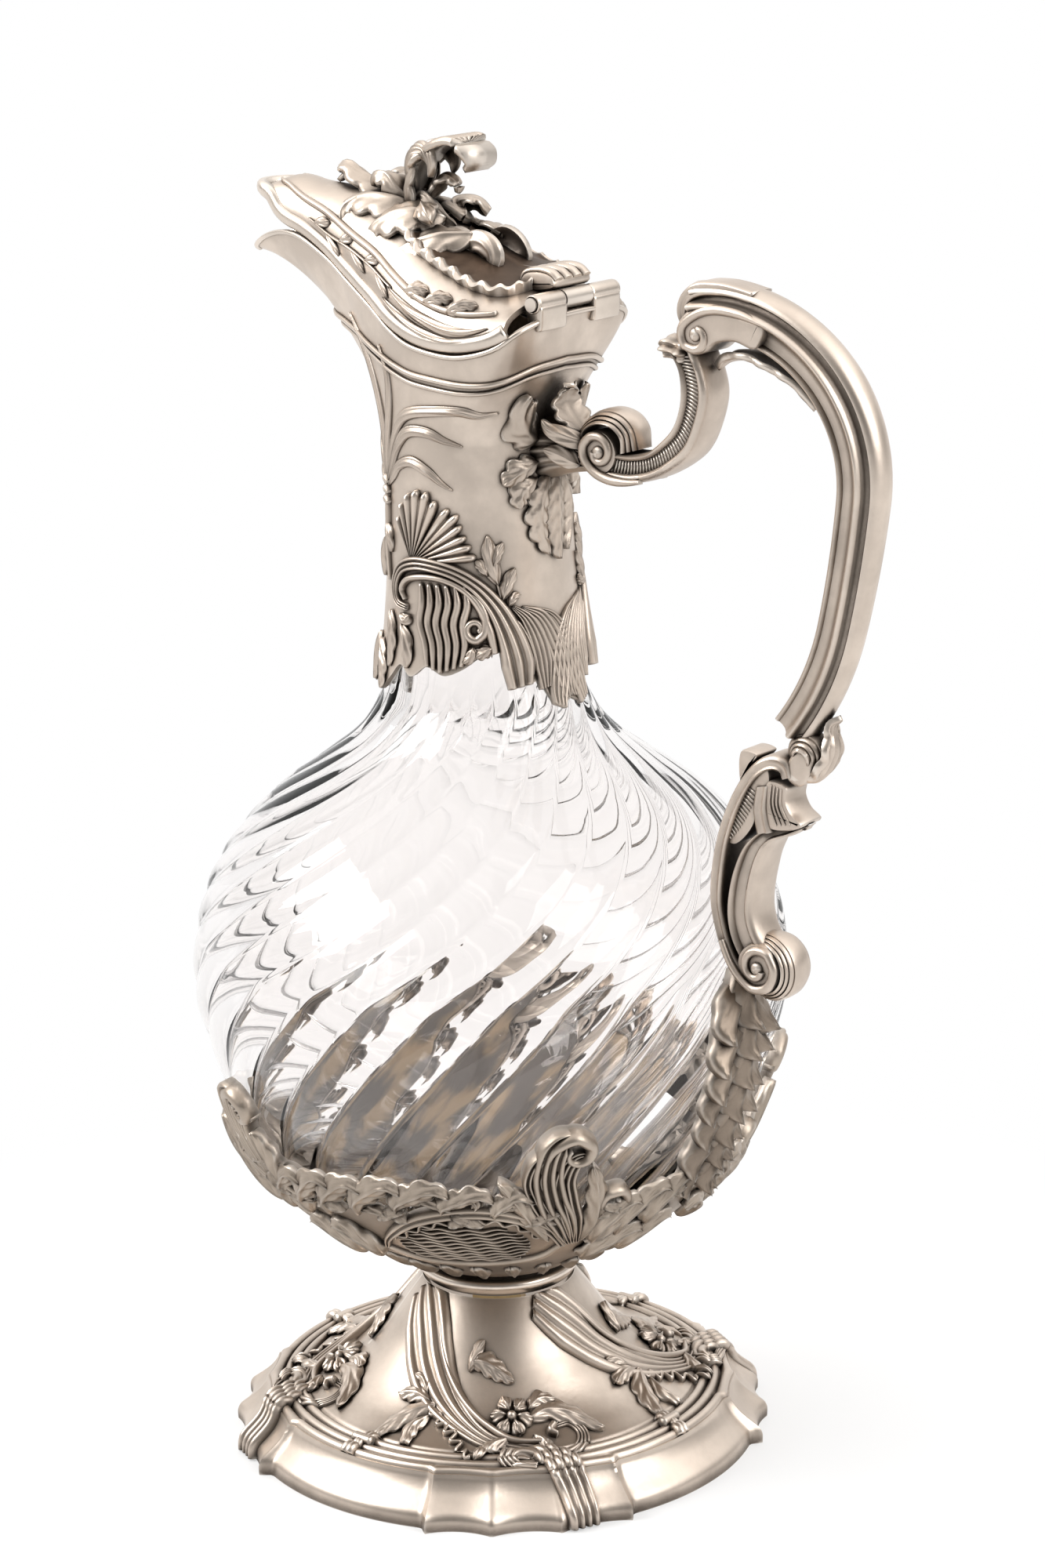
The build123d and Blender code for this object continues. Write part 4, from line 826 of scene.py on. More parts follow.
def swept(path, outwards, section, closed=False):
    """Rows of a closed section of (outwards, sideways) points carried along a path.
    The section may be one list, or one for each point of the path."""
    path = np.asarray(path, float)
    if closed:
        along = unit(np.roll(path, -1, axis=0) - np.roll(path, 1, axis=0))
    else:
        along = headings(path)
    out = unit(outwards - np.sum(outwards * along, axis=1, keepdims=True) * along)
    side = np.cross(along, out)
    section = np.asarray(section, float)
    if section.ndim == 2:
        section = np.repeat(section[None], len(path), axis=0)
    return path[:, None] + section[..., 0, None] * out[:, None] + section[..., 1, None] * side[:, None]


def round_section(radius):
    """The section of a round wire."""
    angle = np.arange(10) * 2 * math.pi / 10
    return np.stack([radius * np.cos(angle), radius * np.sin(angle)], 1)


def mouth_wire_piece():
    """The wire along the edge of the mouth."""
    edge = resampled(np.vstack([mouth_line, mouth_line[:1]]), 420)[:-1]
    out = edge - np.stack([0.25 * edge[:, 0], 0 * edge[:, 1], edge[:, 2]], 1)
    casting = Casting()
    casting.grid(swept(edge, out, round_section(0.55), closed=True), along_closed=True, across_closed=True)
    return finished("mouth_wire", casting, JUG, bright_silver, ["mouth_rim"])


mouth_wire_piece()


def level_at_height(skin, azimuth, height):
    """The level of a skin's column whose point is at a height."""
    column = skin.at(np.full(len(skin.levels), azimuth), skin.levels, np.zeros(len(skin.levels)))
    return np.interp(height, column[:, 2], skin.levels)


def moulding_piece():
    """Two wires with a dark groove between, round the neck under the mouth."""
    casting = Casting()
    stations = [0, 30, 50, 70, 90, 105, 120, 135, 150, 165, 180]
    rises = [9.6, 8.6, 6.8, 5.9, 6.6, 7.8, 9.4, 11.4, 13.4, 15.0, 15.6]
    azimuths = np.linspace(-179, 179, 240)
    for offset, proud, radius in ((0.9, 0.25, 0.62), (-0.95, 0.2, 0.5)):
        levels = []
        for azimuth in azimuths:
            height = horn_z + eased(stations, rises, abs(azimuth)) + offset
            levels.append(level_at_height(neck_skin, azimuth, height))
        path = neck_skin.at(azimuths, np.array(levels), np.full(len(azimuths), proud))
        base = neck_skin.at(azimuths, np.array(levels), np.full(len(azimuths), proud - 1.0))
        casting.grid(swept(path, path - base, round_section(radius)), across_closed=True, caps=True)
    return finished("neck_moulding", casting, JUG, satin_silver, ["mouth_moulding"])


moulding_piece()

# Lid

lid_back_x = hinge[0] - 2.35
lid_nose_x = -57.2
lid_thickness = 1.1
lid_rim_height = 3.4


def lid_stations():
    """For each place along the lid: x, half width, edge height and crest height."""
    nose = lid_nose_x + 3.0 * (1 - np.cos(np.linspace(0, math.pi / 2, 20)))
    x = np.concatenate([nose, np.linspace(-54.2, lid_back_x, 110)[1:]])
    widths = [(lid_nose_x, 6.3), (-54.2, 6.4), (-50.0, 6.9), (-48.5, 7.2), (-42.1, 8.1), (-33.1, 10.0),
        (-24.0, 12.9), (-15.3, 15.8), (-7.5, 18.7), (0.0, 20.7), (8.9, 21.4), (15.8, 21.4), (20.5, 20.8),
        (lid_back_x, 19.8)]
    edges = [(lid_nose_x, 40.0), (-54.2, 39.8), (-50.5, 38.2), (-48.3, 35.8), (-44.8, 33.9), (-42.1, 33.1),
        (-33.1, 29.6), (-24.0, 25.1), (-15.3, 20.7), (-7.5, 16.7), (0.0, 14.2), (8.9, 13.1), (15.8, 13.7),
        (22.0, 15.7), (lid_back_x, 16.8)]
    crests = [(lid_nose_x, 40.9), (-54.1, 42.2), (-48.9, 44.2), (-40.3, 43.4), (-29.9, 42.4), (-20.2, 40.5),
        (-9.8, 37.5), (0, 33.5), (9.9, 29.5), (20.0, 25.6), (lid_back_x, 24.4)]
    tip = np.clip((x - lid_nose_x) / 5.0, 0, 1)
    half = eased(*zip(*widths), x) * np.sqrt(1 - 0.9999 * (1 - tip) ** 2)
    return x, half, horn_z + eased(*zip(*edges), x), horn_z + eased(*zip(*crests), x)


lid_x, lid_half, lid_edge, lid_crest = lid_stations()


def dome_spring(edge, crest):
    """Height at which the dome of the lid starts, over its edge and under its crest."""
    return np.minimum(edge + 0.6 * lid_rim_height, crest - 1.0)


def lid_height(x, y):
    """Height of the domed lid over a point of the plan."""
    half = np.interp(x, lid_x, lid_half)
    crest = np.interp(x, lid_x, lid_crest)
    spring = dome_spring(np.interp(x, lid_x, lid_edge), crest)
    return spring + (crest - spring) * np.sqrt(np.clip(1 - (y / half) ** 2, 0, 1))


def lid_shell_piece():
    """The dome of the lid with its plain underside."""
    turns = np.radians(np.linspace(0, 180, 61))
    inside_turns = turns[::-3]
    rows = []
    for x, half, edge, crest in zip(lid_x, lid_half, lid_edge, lid_crest):
        spring = dome_spring(edge, crest)
        outer = np.stack([half * np.cos(turns), spring + (crest - spring) * np.sin(turns)], 1)
        inner_half = max(half - lid_thickness, 0.5 * half)
        inner_rise = crest - lid_thickness - spring + 0.6
        inner_z = spring - 0.6 + inner_rise * np.sin(inside_turns)
        inner = np.stack([inner_half * np.cos(inside_turns), inner_z], 1)
        foot = edge + 0.4
        ring = np.vstack([outer, [(-half, foot), (-inner_half, foot)], inner,
            [(inner_half, foot), (half, foot)]])
        rows.append(np.stack([np.full(len(ring), x), ring[:, 0], ring[:, 1]], 1))
    casting = Casting()
    casting.grid(np.array(rows), across_closed=True, caps=True)
    return finished("lid_dome", casting, LID, satin_silver, ["lid_shell"], sharp=50)


def lid_wire_piece():
    """The heavy wire along the lid's edge."""
    casting = Casting()
    side = np.stack([lid_x, lid_half, lid_edge + 1.9], 1)
    other = side[::-1] * np.array([1, -1, 1])
    path = resampled(np.vstack([side[::-1], other[::-1]]), 300)
    out = path * np.array([0.0, 1.0, 0.0])
    front, reach = -50.0, 6.0
    forward = np.where(path[:, 0] < front, -1.0, 0.0)
    out[:, 0] = forward * np.clip((front - path[:, 0]) / reach, 0, 1) * reach
    out = unit(out + 1e-6)
    wire = [(0.75, 0.0), (0.62, 0.9), (0.15, 1.6), (-0.5, 1.8), (-1.2, 1.7), (-1.2, -1.5), (0.1, -1.45),
        (0.6, -0.9)]
    casting.grid(swept(path, out, wire), across_closed=True, caps=True)
    return finished("lid_edge_wire", casting, LID, bright_silver, ["lid_rim"])


lid_shell_piece()
lid_wire_piece()

# Handle: its lines lie in the plane of the jug's axis, as x and height

def arcs_on(start, heading, ends):
    """A path of arcs, each tangent to the one before, through the given ends."""
    start, heading = np.array(start, float), unit(np.array(heading, float))
    path = [start]
    for end in ends:
        chord = np.array(end, float) - start
        normal = np.array([-heading[1], heading[0]])
        radius = chord @ chord / (2 * (chord @ normal))
        centre = start + radius * normal
        first = math.atan2(*(start - centre)[::-1])
        swing = math.atan2(*(np.array(end) - centre)[::-1]) - first
        turn = 1 if radius > 0 else -1
        swing = (swing * turn) % (2 * math.pi) * turn
        angles = first + swing * np.linspace(0, 1, 24)[1:]
        path += [centre + abs(radius) * np.array([math.cos(t), math.sin(t)]) for t in angles]
        heading = turn * np.array([-math.sin(angles[-1]), math.cos(angles[-1])])
        start = np.array(end, float)
    return np.array(path)


def upright(path):
    """A path of x and height points in the plane of the axis, as points in space."""
    return np.stack([path[:, 0], 0 * path[:, 0], path[:, 1]], 1)


grip_bends = [(90.3, 245.4), (97.9, 221.0), (93.0, 195.5), (81.1, 172.5)]
grip_path = arcs_on((58.5, 256.6), (1, 0.16), grip_bends)


def grip_piece():
    """The moulded grip: a flat inner face, a sharp ridge, a hollow and a round bead outside."""
    half = [(-5.4, 0.0), (-5.4, 2.5), (-5.2, 3.3), (-4.7, 3.6), (-4.3, 3.35), (-4.0, 2.75), (-3.0, 2.55),
        (-1.8, 2.85), (-0.8, 3.7), (-0.1, 4.9), (0.35, 5.4), (0.75, 5.5), (1.1, 5.2), (1.35, 4.2),
        (1.6, 3.2), (2.1, 2.6), (2.6, 2.5), (2.8, 3.1), (3.2, 3.6), (3.8, 3.55), (4.5, 2.9), (5.1, 1.7),
        (5.4, 0.0)]
    half = np.array(half)
    section = np.vstack([half, (half * np.array([1, -1]))[-2:0:-1]])
    path = upright(resampled(grip_path, 150))
    along = headings(path)
    out = np.cross(along, np.array([0, 1.0, 0]))
    share = np.linspace(0, 1, len(path))
    scale = 1.0 - 0.32 * np.clip((share - 0.35) / 0.65, 0, 1)
    sections = section[None] * np.stack([0.5 + 0.5 * scale, scale], 1)[:, None]
    casting = Casting()
    casting.grid(swept(path, out, sections), across_closed=True, caps=True)
    return finished("moulded_grip", casting, JUG, satin_silver, ["handle_grip"], sharp=40)


grip_piece()

# Ornament: each form is rows of points (across, along, height) closed underneath, laid by a mapping

def drawn(line, count):
    """A smooth path through a few drawn points; a path of many points is only spaced evenly."""
    return smooth_line(line, count) if len(line) < 30 else resampled(line, count)


def strip_form(line, widths, section, sunk=0.7, count=48):
    """A band along a drawn line. The section gives heights at shares of the half width."""
    path = drawn(line, count)
    along = headings(path)
    side = np.stack([along[:, 1], -along[:, 0]], 1)
    place = np.linspace(0, 1, count)
    half = np.interp(place, np.linspace(0, 1, len(widths)), widths)
    section = np.vstack([section, (1, -sunk), (-1, -sunk)])
    spread = path[:, None] + side[:, None] * (half[:, None] * section[:, 0])[..., None]
    shrink = np.clip(half / max(widths), 0.05, 1)[:, None] ** 0.6
    height = np.where(section[:, 1] > -sunk, section[:, 1] * shrink, -sunk)
    return np.concatenate([spread, height[..., None]], 2)


def rounded(high=1.0):
    """A section with one rounded ridge."""
    turn = np.linspace(math.pi, 0, 9)
    return [(math.cos(t), high * math.sin(t)) for t in turn]


def ridged(ridges, high=1.0, base=0.4):
    """A section with a number of ridges side by side."""
    share = np.linspace(-1, 1, ridges * 6 + 1)
    wave = np.abs(np.sin((share + 1) / 2 * ridges * math.pi)) ** 0.8
    return [(s, high * (base + (1 - base) * w)) for s, w in zip(share, wave)]


def leaf_form(line, width, lobes=3, high=1.0, rib=0.3, curl=0.0, cup=0.0, sunk=0.6, count=26, columns=15,
        full=0.8, cut=0.3):
    """A leaf with a lobed outline, a middle rib and side veins."""
    path = drawn(line, count)
    along = headings(path)
    side = np.stack([along[:, 1], -along[:, 0]], 1)
    t = np.linspace(0, 1, count)[:, None]
    swell = np.sin(math.pi * t ** full) ** 0.7
    notch = np.abs(np.sin(lobes * math.pi * t)) ** 0.7 if lobes else 1.0
    half = width * (0.06 + 0.94 * swell * (1 - cut + cut * notch))
    v = np.linspace(-1, 1, columns)[None]
    forward = 0.35 * half * np.abs(v) ** 1.5
    spread = path[:, None] + side[:, None] * (half * v)[..., None] + along[:, None] * forward[..., None]
    veins = 0.16 * np.cos(2 * math.pi * (max(lobes, 2) * t - 1.3 * np.abs(v))) * np.abs(v) ** 0.6
    dome = 0.35 + 0.65 * (1 - np.abs(v) ** 2.4)
    height = high * (dome + veins + rib * np.exp(-(v / 0.14) ** 2)) * (0.45 + 0.55 * swell)
    height = height + curl * np.clip((t - 0.6) / 0.4, 0, 1) ** 2 + cup * v ** 2
    top = np.concatenate([spread, height[..., None]], 2)
    under = top[:, ::-4].copy()
    under[..., 2] -= sunk
    if cup == 0 and curl == 0:
        under[..., 2] = np.minimum(under[..., 2], -sunk)
    return np.concatenate([top, under], 1)


def fan_form(centre, start, stop, reach, ribs, high, scallop):
    """A shell with ribs that fan out from a point, between two angles in degrees."""
    count = ribs * 10 + 1
    place = np.linspace(0, 1, count)
    angle = np.radians(start + (stop - start) * place)
    wave = np.abs(np.sin(place * ribs * math.pi))
    far = np.interp(place, np.linspace(0, 1, len(reach)), reach) * (1 - scallop + scallop * wave ** 0.6)
    share = np.concatenate([np.linspace(0.1, 0.96, 12), [1.0]])
    r = far[:, None] * share
    border = np.where(share > 0.99, 0.45, 1)
    height = high * (0.3 + 0.7 * wave[:, None] ** 0.8) * (0.35 + 0.65 * share) * border
    flat = np.stack([centre[0] + r * np.cos(angle)[:, None], centre[1] + r * np.sin(angle)[:, None],
        height], 2)
    under = flat[:, ::-6].copy()
    under[..., 2] = -0.7
    return np.concatenate([flat, under], 1)


def bead_form(centre, radius, high):
    """A domed round bead."""
    turn = np.arange(20) * 2 * math.pi / 20
    rings = [(1.0, -0.4), (1.0, 0.0), (0.93, 0.4), (0.75, 0.72), (0.45, 0.92), (0.02, 1.0)]
    rows = [np.stack([centre[0] + radius * share * np.cos(turn), centre[1] + radius * share * np.sin(turn),
                      0 * turn + (lift * high if lift > 0 else lift)], 1) for share, lift in rings]
    return np.array(rows)


def curled_line(points, centre, turns, end):
    """A drawn line that goes on as a spiral round a centre; turns are counter-clockwise when positive."""
    path = smooth_line(points, 40)
    arm = path[-1] - np.array(centre, float)
    reach, first = np.linalg.norm(arm), math.atan2(arm[1], arm[0])
    t = np.linspace(0, 1, 26)[1:]
    angle = first + turns * 2 * math.pi * t
    r = reach * (1 - (1 - end) * t)
    coil = np.array(centre) + np.stack([r * np.cos(angle), r * np.sin(angle)], 1)
    return np.vstack([path, coil])


def on_skin(skin, azimuth, level, flip=1):
    """Lays forms round a place of a skin, mirrored when flip is -1."""
    def mapping(form):
        levels = level + form[..., 1]
        base = skin.at(0 * levels + azimuth, levels, 0 * levels)
        reach = np.maximum(np.hypot(base[..., 0], base[..., 1]), 8.0)
        turned = azimuth + flip * np.degrees(form[..., 0] / reach)
        return skin.at(within_turn(turned), levels, form[..., 2])
    return mapping


def on_side(side, half):
    """Lays forms drawn as x and z on a side of the handle; the side is 1 or -1."""
    def mapping(form):
        return np.stack([form[..., 0], side * (half + form[..., 2]), form[..., 1]], -1)
    return mapping


def along_spine(spine, up, count=60):
    """Lays forms along a bent line in space: their second coordinate is a share of its length."""
    path = smooth_line(spine, count)
    lift = np.asarray(up, float)
    lift = resampled(lift, count) if lift.ndim > 1 else np.tile(lift, (count, 1))
    along = headings(path)
    lift = unit(lift - np.sum(lift * along, axis=1, keepdims=True) * along)
    side = np.cross(along, lift)
    place = np.linspace(0, 1, count)

    def mapping(form):
        share = np.clip(form[..., 1], 0, 1)

        def read(field):
            return np.stack([np.interp(share, place, field[:, k]) for k in range(3)], -1)

        return read(path) + read(side) * form[..., 0][..., None] + read(lift) * form[..., 2][..., None]
    return mapping


def free_leaf(casting, spine, up, width, lobes=4, high=0.8, rib=0.3, cup=0.0, thick=0.9, full=0.8, ribs=0,
        cut=0.3):
    """A leaf that stands free along a bent line."""
    form = leaf_form([(0, 0.0), (0, 0.5), (0, 1.0)], width, lobes, high, rib, 0.0, cup or 1e-6, thick, 34,
        17, full, cut)
    form[..., 1] = np.clip(form[..., 1], 0, 1)
    steps = np.linspace(0, 1, len(form))[:, None]
    form[..., 1] = steps + 0 * form[..., 1]
    if ribs:
        half = np.maximum(np.abs(form[..., 0]).max(axis=1, keepdims=True), 0.01)
        form[..., 2] += 0.25 * np.cos(math.pi * ribs * form[..., 0] / half) * np.clip(half / width, 0, 1)
    casting.lay(along_spine(spine, up), form)


def band(casting, inner, outer, half, section, count=60):
    """A solid between two lines drawn in the plane of the handle, with a section across them."""
    first, second = upright(drawn(inner, count)), upright(drawn(outer, count))
    section = np.array(section, float)
    shape = np.vstack([section, (section * np.array([1, -1]))[-2:0:-1]])
    depth = np.interp(np.linspace(0, 1, count), np.linspace(0, 1, np.size(half)), np.atleast_1d(half))
    rows = first[:, None] + shape[:, 0, None] * (second - first)[:, None]
    rows[..., 1] = shape[:, 1] * depth[:, None]
    casting.grid(rows, across_closed=True, caps=True)


def slab(casting, outline, half, soft=0.5, middle=0.0):
    """A drawn outline cut through the handle, with softened edges."""
    edge = smooth_line(outline, 90, closed=True)[:-1]
    along = unit(np.roll(edge, -1, axis=0) - np.roll(edge, 1, axis=0))
    turn = np.sum(edge[:, 0] * np.roll(edge[:, 1], -1) - edge[:, 1] * np.roll(edge[:, 0], -1))
    inward = np.stack([-along[:, 1], along[:, 0]], 1) * (1 if turn > 0 else -1)
    rows = []
    for inset, depth in ((1.0, 1.0), (0.3, 0.97), (0.0, 0.84), (0.0, -0.84), (0.3, -0.97), (1.0, -1.0)):
        ring = upright(edge + inward * inset * soft)
        ring[:, 1] = middle + depth * half
        rows.append(ring)
    casting.grid(np.array(rows), across_closed=True, caps=True)


# Copies set out by a geometry node tree

def copies_tree():
    """Sets a copy of one object on each point, turned and sized by the point's own values."""
    tree, g, out = geometry_tree("set_out_copies", ("Copy", "Object"), ("Size", "Float"),
        ("Uneven", "Float"), ("Seed", "Int"), ("Material", "Material"))
    copy = node(tree, "GeometryNodeObjectInfo", links={"Object": g["Copy"]})
    aim = node(tree, "GeometryNodeInputNamedAttribute", {"Name": "aim"}, data_type="FLOAT_VECTOR")
    size = node(tree, "GeometryNodeInputNamedAttribute", {"Name": "size"}, data_type="FLOAT_VECTOR")
    least = node(tree, "ShaderNodeMath", {0: 1.0}, {1: g["Uneven"]}, operation="SUBTRACT")
    most = node(tree, "ShaderNodeMath", {0: 1.0}, {1: g["Uneven"]}, operation="ADD")
    chance = node(tree, "FunctionNodeRandomValue", links={2: least.outputs[0], 3: most.outputs[0],
        "Seed": g["Seed"]}, data_type="FLOAT")
    scale = node(tree, "ShaderNodeMath", links={0: chance.outputs[1], 1: g["Size"]}, operation="MULTIPLY")
    grown = node(tree, "ShaderNodeVectorMath", links={0: size.outputs[0], "Scale": scale.outputs[0]},
        operation="SCALE")
    turned = node(tree, "FunctionNodeEulerToRotation", links={0: aim.outputs[0]})
    placed = node(tree, "GeometryNodeInstanceOnPoints", links={
        "Points": g["Geometry"], "Instance": copy.outputs["Geometry"], "Rotation": turned.outputs[0],
        "Scale": grown.outputs[0]})
    return hand_out(tree, placed.outputs[0], g["Material"], out)


set_out = copies_tree()


def stand(mapping, x, y, turn, size, lift=0.0):
    """A place for a copy: its point, how it is turned and its size along each axis."""
    c, s, step = math.cos(turn), math.sin(turn), 0.05
    spots = np.array([(x, y, lift), (x - s * step, y + c * step, lift), (x, y, lift + step)])
    origin, ahead, above = mapping(spots)
    length = unit(ahead - origin)
    across = unit(np.cross(length, above - origin))
    aim = Matrix(np.stack([across, length, np.cross(across, length)], 1).tolist()).to_euler()
    return origin, tuple(aim), size


def copies(name, unit_casting, places, body, material, uneven=0.0, nodes=()):
    """A piece made of copies of one small shape, each at its own place."""
    points = bpy.data.meshes.new(name + "_places")
    points.from_pydata([tuple(place[0] * MM) for place in places], [], [])
    for label, part in (("aim", 1), ("size", 2)):
        field = points.attributes.new(label, "FLOAT_VECTOR", "POINT")
        field.data.foreach_set("vector", np.array([place[part] for place in places], np.float32).ravel())
    holder = bpy.data.objects.new(name + "_places", points)
    small = bpy.data.objects.new(name + "_copy", unit_casting.mesh(name + "_copy"))
    for made in (holder, small):
        bpy.context.scene.collection.objects.link(made)
    result = grown_mesh(holder, set_out, {"Copy": small, "Size": 1.0, "Uneven": uneven, "Seed": 7,
        "Material": material})
    bpy.data.objects.remove(small)
    return finished(name, result, body, material, nodes)


def flat_mapping(form):
    """Leaves a form as it is drawn."""
    return np.array(form, float)


def unit_bar():
    """A bar one unit long along x and one wide, for hatching."""
    casting = Casting()
    turn = np.linspace(0, math.pi, 5)
    ring = np.stack([0.5 * np.cos(turn), 0.9 * np.sin(turn)], 1)
    rows = np.array([np.stack([0 * turn + x, ring[:, 0], ring[:, 1]], 1) for x in (-0.5, 0.5)])
    casting.grid(rows, across_closed=True, caps=True)
    return casting


def unit_leaf(lobes=0, high=0.32, full=0.85, curl=0.0):
    """A leaf one unit long from its foot along y."""
    casting = Casting()
    form = leaf_form([(0, 0.0), (0, 0.5), (0, 1.0)], 0.36, lobes, high, 0.3, curl, 0.0, 0.15, 12, 9, full)
    casting.lay(flat_mapping, form)
    return casting


# Handle scrolls. Drawn points are x and height over horn_z.

def up_by(points):
    """Drawn points of x and height over horn_z, with their real heights."""
    return [(x, height + horn_z) for x, height in points]


def over_horn(points, side=1):
    """Points drawn in space with heights over horn_z, mirrored when the side is -1."""
    return [(x, side * y, horn_z + z) for x, y, z in points]


rim_section = [(0, 0), (0, 0.70), (0.03, 0.92), (0.09, 1.0), (0.17, 0.95), (0.24, 0.76), (0.66, 0.76),
    (0.72, 0.94), (0.80, 1.0), (0.92, 0.95), (1.0, 0.72), (1.04, 0.35), (1.05, 0)]
lined_section = [(0, 0), (0, 0.95), (0.1, 1.0), (0.25, 0.95), (0.30, 0.82), (0.40, 0.87), (0.52, 0.82),
    (0.57, 0.68), (0.67, 0.73), (0.80, 0.67), (0.84, 0.52), (0.93, 0.52), (1.03, 0.38), (1.06, 0)]
plain_section = [(0, 0), (0.0, 0.72), (0.08, 0.94), (0.22, 1.0), (0.4, 0.9), (0.6, 0.9), (0.78, 1.0),
    (0.92, 0.94), (1.0, 0.72), (1.0, 0)]


def ribbed(share):
    """Half width of a round section with ribs, at a share of the way across it."""
    return math.sqrt(max(0, 1 - (2 * share - 1) ** 2)) * (0.86 + 0.14 * abs(math.cos(share * 6 * math.pi)))


ribbed_section = [(share, ribbed(share)) for share in np.linspace(0, 1, 37)]

arch_outer = up_by([(33, -11.8), (37.8, -12.9), (42.8, -13.1), (48.8, -11.6), (53.8, -9.1), (58.2, -5.5),
    (61.2, 0.4), (62.6, 6.1), (61.8, 10.7), (59.4, 16)])
arch_inner = up_by([(36.5, -8.5), (39.3, -7.4), (42.9, -7.2), (47.3, -6.3), (51.3, -3.5), (54.3, -0.3),
    (55.9, 3.9), (56.2, 7.5), (55.4, 11.7), (53.1, 15)])


def waved(points, count, depth, waves):
    """A smooth line through points that sways to both sides."""
    line = smooth_line(points, count)
    across = headings(line)[:, ::-1] * np.array([-1, 1])
    return line + across * (depth * np.sin(np.linspace(0, 2 * math.pi * waves, count)))[:, None]


def circle_line(centre, radius, start, stop, count=12):
    """Points on a circle between two angles in degrees."""
    turn = np.radians(np.linspace(start, stop, count))
    return [(centre[0] + radius * math.cos(t), centre[1] + radius * math.sin(t)) for t in turn]


def upper_scroll_piece():
    """The C-scroll that carries the head of the grip, with its coil and its ear."""
    casting = Casting()
    band(casting, arch_inner, arch_outer, [4.2, 4.6, 4.8, 4.8, 4.7, 4.5], rim_section, 80)
    slab(casting, up_by(circle_line((35.2, -7.4), 4.6, 0, 330)), 4.5, 0.8)
    hood_inner = up_by([(29.8, -5.6), (31.9, -3.1), (35.4, -1.5), (39, -1.9), (41, -4), (40.6, -7.2)])
    hood_outer = up_by([(28.0, -4.2), (31.3, -0.9), (35.4, 1.2), (40.1, 0.8), (43.2, -1.8), (44.4, -6.2)])
    band(casting, hood_inner, hood_outer, [3.4, 4.6, 5.4, 5.4, 5.0, 4.2], lined_section)
    coil = curled_line(up_by([(46.0, -12.4), (41.8, -12.9), (37.4, -12.6), (34.0, -11.2), (31.7, -8.6),
        (31.6, -6.2), (33.2, -4.4)]), (35.4, horn_z - 7.4), -0.85, 0.3)
    for side in (-1, 1):
        casting.strip(on_side(side, 4.5), coil, [0.5, 1.0, 1.1, 1.1, 1.0, 0.9, 0.9], rounded(1.0), 0.9, 90)
        casting.bead(on_side(side, 4.5), (35.4, horn_z - 7.4), 1.5, 0.8)
    ear = along_spine([(57.5, 0, horn_z + 14.6), (54.5, 0, horn_z + 15.0), (51.6, 0, horn_z + 15.4),
        (49.6, 0, horn_z + 14.4)], (0, 0, 1.0))
    turn = np.linspace(0, 2 * math.pi, 49)[:-1]
    wave = 1 + 0.12 * np.cos(8 * turn)
    sizes = (0.9, 1.1, 1.2, 1.15, 1.05, 1.0, 1.0, 1.05, 1.1, 1.1, 1.0, 0.85, 0.55, 0.1)
    rows = []
    for share, size in zip(np.linspace(0, 1, len(sizes)), sizes):
        rows.append(np.stack([4.6 * size * wave * np.cos(turn), 0 * turn + share,
            2.1 * size * wave * np.sin(turn)], 1))
    casting.lay(ear, np.array(rows))
    return finished("handle_arch", casting, JUG, chased_silver, ["handle_upper_scroll"], sharp=50)


def arch_hatching():
    """Short bars across the sides of the upper scroll."""
    inner, outer = drawn(arch_inner, 56), drawn(arch_outer, 56)
    places = []
    for side in (-1, 1):
        face = on_side(side, 4.6 * 0.76)
        for a, b in zip(inner[3:-2], outer[3:-2]):
            middle, across = a + 0.45 * (b - a), b - a
            turn = math.atan2(across[1], across[0])
            places.append(stand(face, middle[0], middle[1], turn,
                (0.44 * np.linalg.norm(across), 0.5, 0.5)))
    copies("handle_hatching", unit_bar(), places, JUG, satin_silver)


def socket_piece():
    """The bar that carries the handle from the neck, dressed with leaves."""
    casting = Casting()
    top = up_by([(18.6, -1.0), (22.5, -1.8), (26, -3.4), (29, -5.4), (33.0, -7.0)])
    low = up_by([(18.4, -16.2), (22, -14.4), (27, -13.0), (31.5, -12.4), (36, -12.2)])
    band(casting, top, low, [6.2, 5.2, 4.6, 4.2, 3.6], ribbed_section)
    crest = over_horn([(29, 0, -5), (25.5, 0, -2.2), (23.2, 0, 1.4), (24.2, 0, 4.4), (26.2, 0, 5.0)])
    free_leaf(casting, crest, (1, 0, 0.4), 5.4, 4, 0.7, cup=0.9)
    for side in (-1, 1):
        upper = over_horn([(31.5, 2.5, -6.5), (27.5, 5.4, -4.6), (24, 6.4, -3.2), (22.6, 6.8, -1.4)], side)
        free_leaf(casting, upper, (0, side, 0.5), 2.0, 0, 0.9)
        lower = over_horn([(30, 4, -10.5), (26.0, 5.2, -8.6), (22.8, 6.8, -7.6)], side)
        free_leaf(casting, lower, (0, side, 0.3), 2.2, 0, 1.0)
        spot = on_skin(neck_skin, 0, horn_z - 10, side)
        for line, width, lobes, high, curl in (
                ([(4.5, 3.5), (8, 5.5), (10.3, 8.5), (10.2, 11.4)], 4.2, 3, 1.9, 1.0),
                ([(4.5, -0.5), (8.5, -2.0), (12.5, -4.8)], 3.3, 3, 1.9, 0.8),
                ([(5, -4), (8.5, -6.5), (9.5, -10.0)], 3.0, 3, 1.9, 1.0),
                ([(1.5, -3), (4.5, -10), (4.5, -15.5), (2.8, -20.5)], 3.4, 5, 1.7, 0.9)):
            casting.leaf(spot, line, width, lobes, high, curl=curl, cut=0.42)
    spot = on_skin(neck_skin, 0, horn_z - 10)
    casting.leaf(spot, [(0, -2), (0, -10), (0, -22)], 3.6, 6, 2.0, curl=0.9, cut=0.42)
    return finished("handle_socket_leaves", casting, JUG, leaf_silver, ["handle_socket"])


